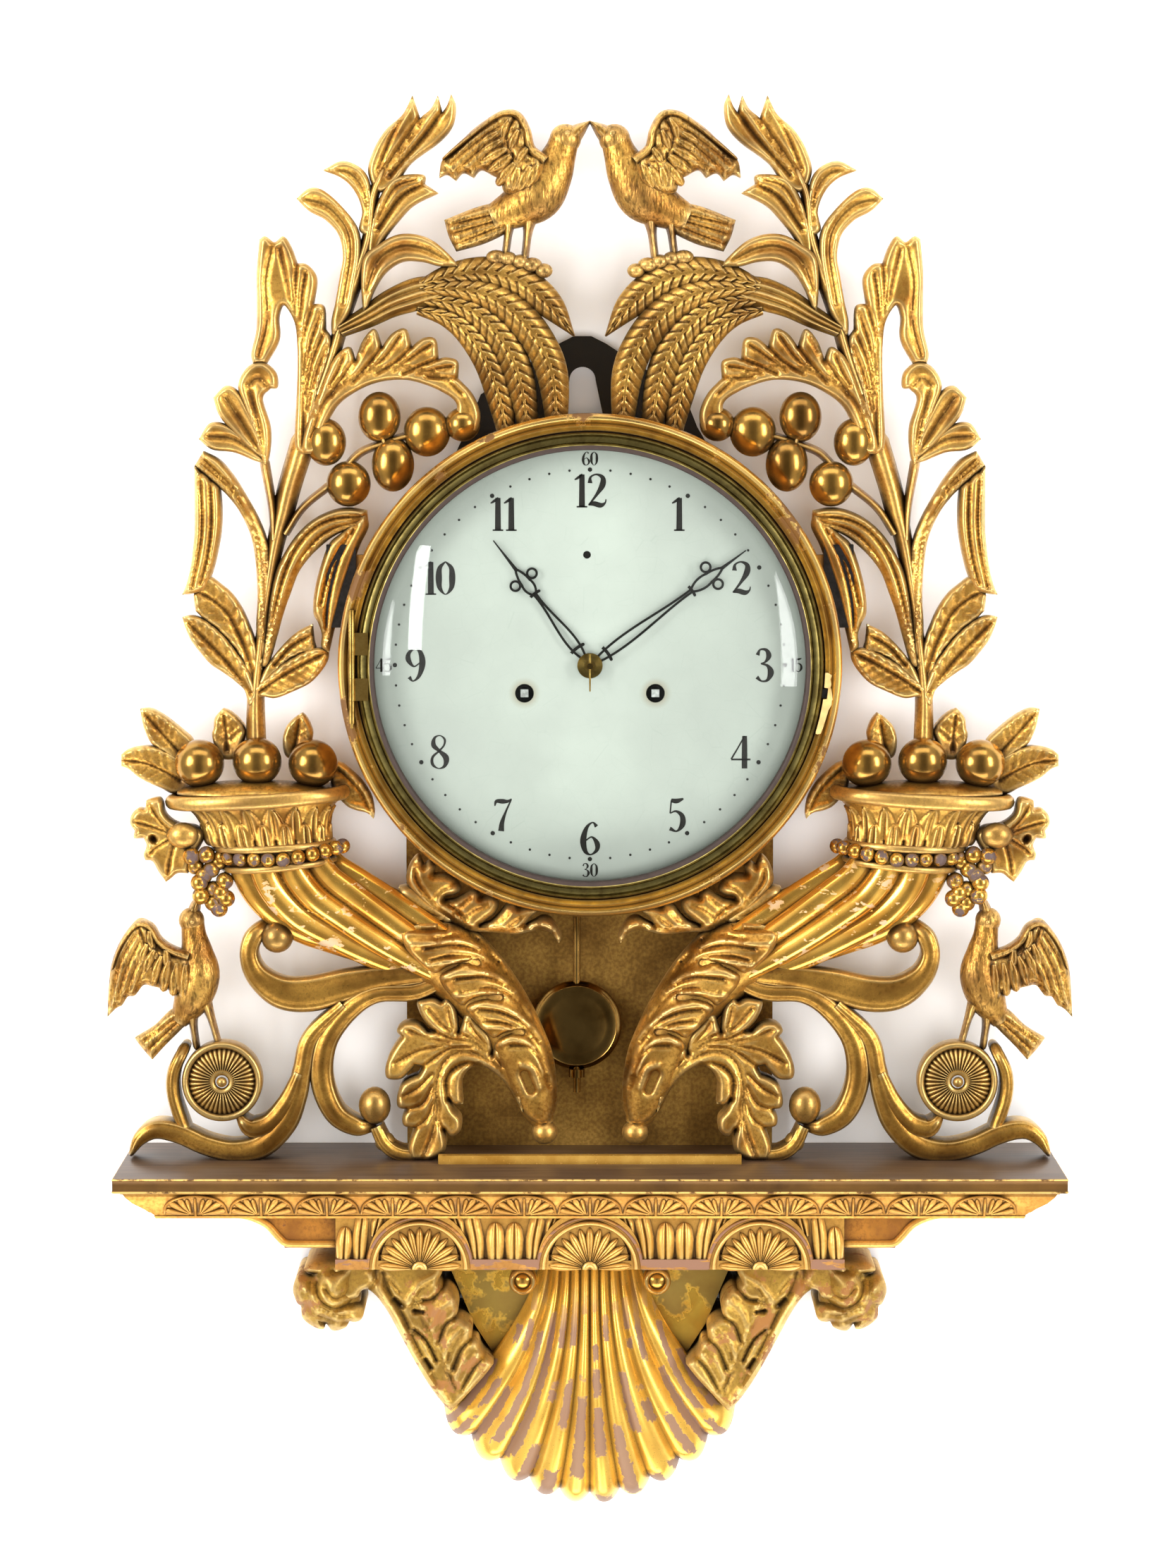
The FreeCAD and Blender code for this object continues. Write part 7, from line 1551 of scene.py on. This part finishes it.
def shell_surface(ribs=10, columns=241, rows=70, bold=84.0):
    """The fluted fan of the shell, with a front and a back. u runs across it and v down it."""
    front, rear = [], []
    for i in range(rows):
        v = i / (rows - 1)
        for j in range(columns):
            u = -1 + 2 * j / (columns - 1)
            phase = (u + 1) / 2 * ribs
            wave = abs(math.sin(math.pi * phase))
            ridge = wave ** 0.55 + 0.3 * math.exp(-(wave / 0.1) ** 2)
            span = abs(u)
            start = (33 * u, -403.0)
            bend = (40 * u * (0.55 + 0.45 * span), -482 + 30 * span ** 2)
            reach = 1 + 0.035 * wave
            end = (105 * u * (1 - 0.035 * span ** 2) * reach, -569 + 55 * span ** 1.9 - 6.5 * wave ** 0.8)
            x = (1 - v) ** 2 * start[0] + 2 * v * (1 - v) * bend[0] + v * v * end[0]
            z = (1 - v) ** 2 * start[1] + 2 * v * (1 - v) * bend[1] + v * v * end[1]
            swell = (0.55 + 0.45 * math.sin(math.pi * min(1.0, 0.12 + 0.62 * v))) * bold
            depth = swell * (0.62 + 0.38 * math.cos(u * math.pi / 2)) + (5.0 + 3.4 * v) * (ridge - 0.6)
            if v > LIP:
                depth -= LIP_ROLL * ((v - LIP) / 0.06) ** 2
            front.append((x, -depth, z + DATUM))
            rear.append((x * 0.985, -2, z + DATUM + 1.5 * v))
    points = front + rear
    faces = []
    count = rows * columns
    for i in range(rows - 1):
        for j in range(columns - 1):
            a = i * columns + j
            d = a + columns
            faces.append((a, a + 1, d + 1, d))
            faces.append((count + d, count + d + 1, count + a + 1, count + a))
    for j in range(columns - 1):
        a = (rows - 1) * columns + j
        faces.append((a, a + 1, count + a + 1, count + a))
        faces.append((j + 1, j, count + j, count + j + 1))
    for i in range(rows - 1):
        a, b = i * columns, (i + 1) * columns
        faces.append((a, b, count + b, count + a))
        a, b = a + columns - 1, b + columns - 1
        faces.append((b, a, count + a, count + b))
    return points, faces


piece("shell_fan", [shell_surface()], SHELL_GOLD, "case", ["shell"])

CONSOLE = [
    (-100, -402, 1), (-101, -412), (-104, -419), (-101, -424, 1), (-97, -424), (-92, -429), (-90, -437),
    (-92, -444, 1), (-86, -446), (-81, -451), (-81, -459, 1), (-77, -461), (-75, -467), (-72, -471),
    (-66, -476, 1), (-72, -484), (-80, -493), (-92, -506), (-95, -509, 1), (-101, -503), (-110, -491),
    (-120, -474), (-130, -455), (-138, -440), (-145, -430), (-151, -425), (-156, -425), (-160, -430),
    (-170, -430), (-176, -410), (-160, -402, 1),
]
CONSOLE_VEINS = [
    ([(-120, -430), (-112, -450), (-102, -472), (-92, -494)], 2.0, 1.8),
    ([(-101, -424), (-108, -431), (-115, -432)], 3.0, 1.6),
    ([(-92, -444), (-99, -449), (-104, -462)], 2.6, 1.5),
    ([(-81, -459), (-88, -466), (-94, -480)], 2.6, 1.5),
    ([(-72, -471), (-80, -480), (-88, -494)], 2.2, 1.5), ([(-134, -431), (-129, -436)], 5, 1.8),
    ([(-120, -439), (-114, -440)], 5, 1.6), ([(-121, -452), (-112, -460), (-105, -474)], 3.4, 1.5),
    ([(-113, -473), (-109, -479)], 5, 1.7),
    ([(-142, -412), (-138, -424), (-128, -442), (-118, -464), (-104, -490)], 2.2, 1.5),
    [(-104, -415), (-114, -422), (-122, -436)], [(-138, -416), (-130, -426)],
    [(-86, -452), (-94, -462), (-98, -476)], [(-78, -466), (-86, -478), (-91, -490)],
    ([(-146, -409), (-147, -418), (-152, -424)], 2.4, 2.0),
    ([(-150, -414), (-142, -428), (-132, -446), (-121, -466), (-108, -487), (-98, -502)], -2.4, 3.0),
    ([(-95, -432), (-103, -439), (-109, -452)], -2.4, 3.2),
    ([(-85, -452), (-94, -459), (-100, -471)], -2.4, 3.2),
    ([(-75, -467), (-84, -474), (-91, -487)], -2.2, 3.0),
    ([(-106, -416), (-116, -421), (-124, -432)], -2.2, 3.0),
    ([(-116, -436), (-108, -455), (-98, -478)], -2.0, 2.6),
]
VOLUTE = [
    (-158, -404), (-176, -405), (-188, -406), (-196, -411), (-190, -415, 1), (-200, -416), (-203.5, -425),
    (-201, -434), (-198, -437, 1), (-197, -445), (-190, -451), (-183, -453), (-181, -449, 1),
    (-176, -454), (-168, -452), (-165, -448, 1), (-158, -447), (-155, -442), (-156, -437),
    (-161, -434, 1), (-160, -428), (-160, -418),
]
VOLUTE_VEINS = [
    ([(-161, -433), (-174, -436), (-184, -430), (-187, -420), (-182, -412)], 3.4, 1.7),
    ([(-165, -448), (-178, -445), (-190, -438), (-195, -426)], 2.4, 1.6),
    ([(-198, -437), (-192, -430), (-191, -418)], 2.4, 1.5),
    ([(-181, -449), (-189, -443), (-194, -434)], 2.2, 1.5),
    ([(-190, -415), (-180, -411), (-168, -410)], 3, 1.6), [(-164, -426), (-174, -429), (-181, -422)],
    [(-158, -441), (-172, -441), (-186, -434)],
]
console = [relief(CONSOLE, CONSOLE_VEINS, 3, 76, 4, 3.6, 1.5, 1.3, grid=1.5, dish=0.8),
           relief(VOLUTE, VOLUTE_VEINS, 3, 84, 16, 18, 2.4, 1.5),
           egg(-179, -430, 22, 22, 20, 56, 18, 32)]
piece("consoles", console + mirror(console), CONSOLE_GOLD, "case", ["console_scrolls"])
EYE_PROFILE = [
    (9.2, 60), (9.4, 75), (8.8, 77), (7.4, 77.8), (6.0, 76.8), (5.2, 75.4), (3.4, 76.4), (1.8, 77),
    (0.05, 77.2),
]
EYE_X, EYE_Z = 46, -418
eyes = [lathe(EYE_PROFILE, side * EYE_X, EYE_Z + DATUM, 48) for side in (-1, 1)]
piece("shell_eyes", eyes, BURNISHED, "case", ())

# Stage, light and camera

# Wall behind the clock, and how far it reaches sideways and up, in metres
WALL, WALL_HALF, WALL_UP = 0.0015, 4, 3
wall_mesh = bpy.data.meshes.new("wall")
wall_corners = [(-WALL_HALF, WALL, -WALL_UP), (WALL_HALF, WALL, -WALL_UP), (WALL_HALF, WALL, WALL_UP),
                (-WALL_HALF, WALL, WALL_UP)]
wall_mesh.from_pydata(wall_corners, [], [(0, 1, 2, 3)])
wall = bpy.data.objects.new("wall", wall_mesh)
bpy.context.scene.collection.objects.link(wall)
# Matt white wall paint, a plain pale ground that keeps the clock's shadow
wall_paint, _, wall_shader, _ = new_material("matt_wall_paint")
fill(wall_paint.node_tree, wall_shader, {"Base Color": hex_rgb("#f6f6f6"), "Roughness": 0.9})
wall_mesh.materials.append(wall_paint)

world = bpy.data.worlds.new("studio")
bpy.context.scene.world = world
world.use_nodes = True
# A studio that is dim in the middle and light at both sides, for broad reflections in the gilding
studio = partial(add, world.node_tree)
aside = studio("SeparateXYZ", {0: studio("TexCoord", {}, "Generated")}, "X")
aside = studio("Math", {0: aside}, operation="ABSOLUTE")
room = studio("ValToRGB", {"Fac": aside}, stops=[
    (0.0, grey(0.1)), (0.2, grey(0.13)), (0.42, grey(0.74)), (0.6, grey(0.84)), (0.8, grey(0.5))])
fill(world.node_tree, world.node_tree.nodes["Background"], {"Color": room})


def softbox(name, place, aim, width, height, power, glints=True):
    """A lamp with a lit rectangle, turned to what it lights. Without glints it isn't mirrored."""
    lamp = bpy.data.lights.new(name, "AREA")
    lamp.shape = "RECTANGLE"
    lamp.size = width
    lamp.size_y = height
    lamp.energy = power
    thing = bpy.data.objects.new(name, lamp)
    thing.location = place
    thing.visible_glossy = glints
    thing.rotation_euler = (Vector(aim) - Vector(place)).to_track_quat("-Z", "Y").to_euler()
    bpy.context.scene.collection.objects.link(thing)


softbox("left_softbox", (-1.9, -1.7, 0.5), (0, -0.05, 0), 0.62, 1.5, 43)
softbox("window", (-1.54, -2.1, 0.47), (0, -0.1, 0), 0.13, 0.95, 9)
softbox("right_softbox", (1.9, -1.8, 0.4), (0, -0.05, 0), 0.62, 1.5, 41)
softbox("top_softbox", (0.0, -1.3, 2.0), (0, -0.05, 0), 2.6, 0.9, 22)
softbox("floor_bounce", (0.0, -1.2, -1.9), (0, -0.05, -0.2), 2.6, 0.8, 34)
softbox("front_fill", (0, -3.4, -0.4), (0, 0, -0.1), 2.4, 1.6, 96, glints=False)

# The camera stands 5 degrees above level, 3 m in front of this point
TARGET = Vector((-0.005, -0.060, -0.083))
PITCH = math.radians(5)
AWAY = 3.0
lens = bpy.data.cameras.new("camera")
lens.lens = 101.2
lens.sensor_width = 36
lens.clip_end = 50
camera = bpy.data.objects.new("camera", lens)
camera.location = TARGET + AWAY * Vector((0, -math.cos(PITCH), math.sin(PITCH)))
camera.rotation_euler = (TARGET - camera.location).to_track_quat("-Z", "Y").to_euler()
bpy.context.scene.collection.objects.link(camera)
bpy.context.scene.camera = camera
bpy.context.scene.view_settings.view_transform = "Standard"
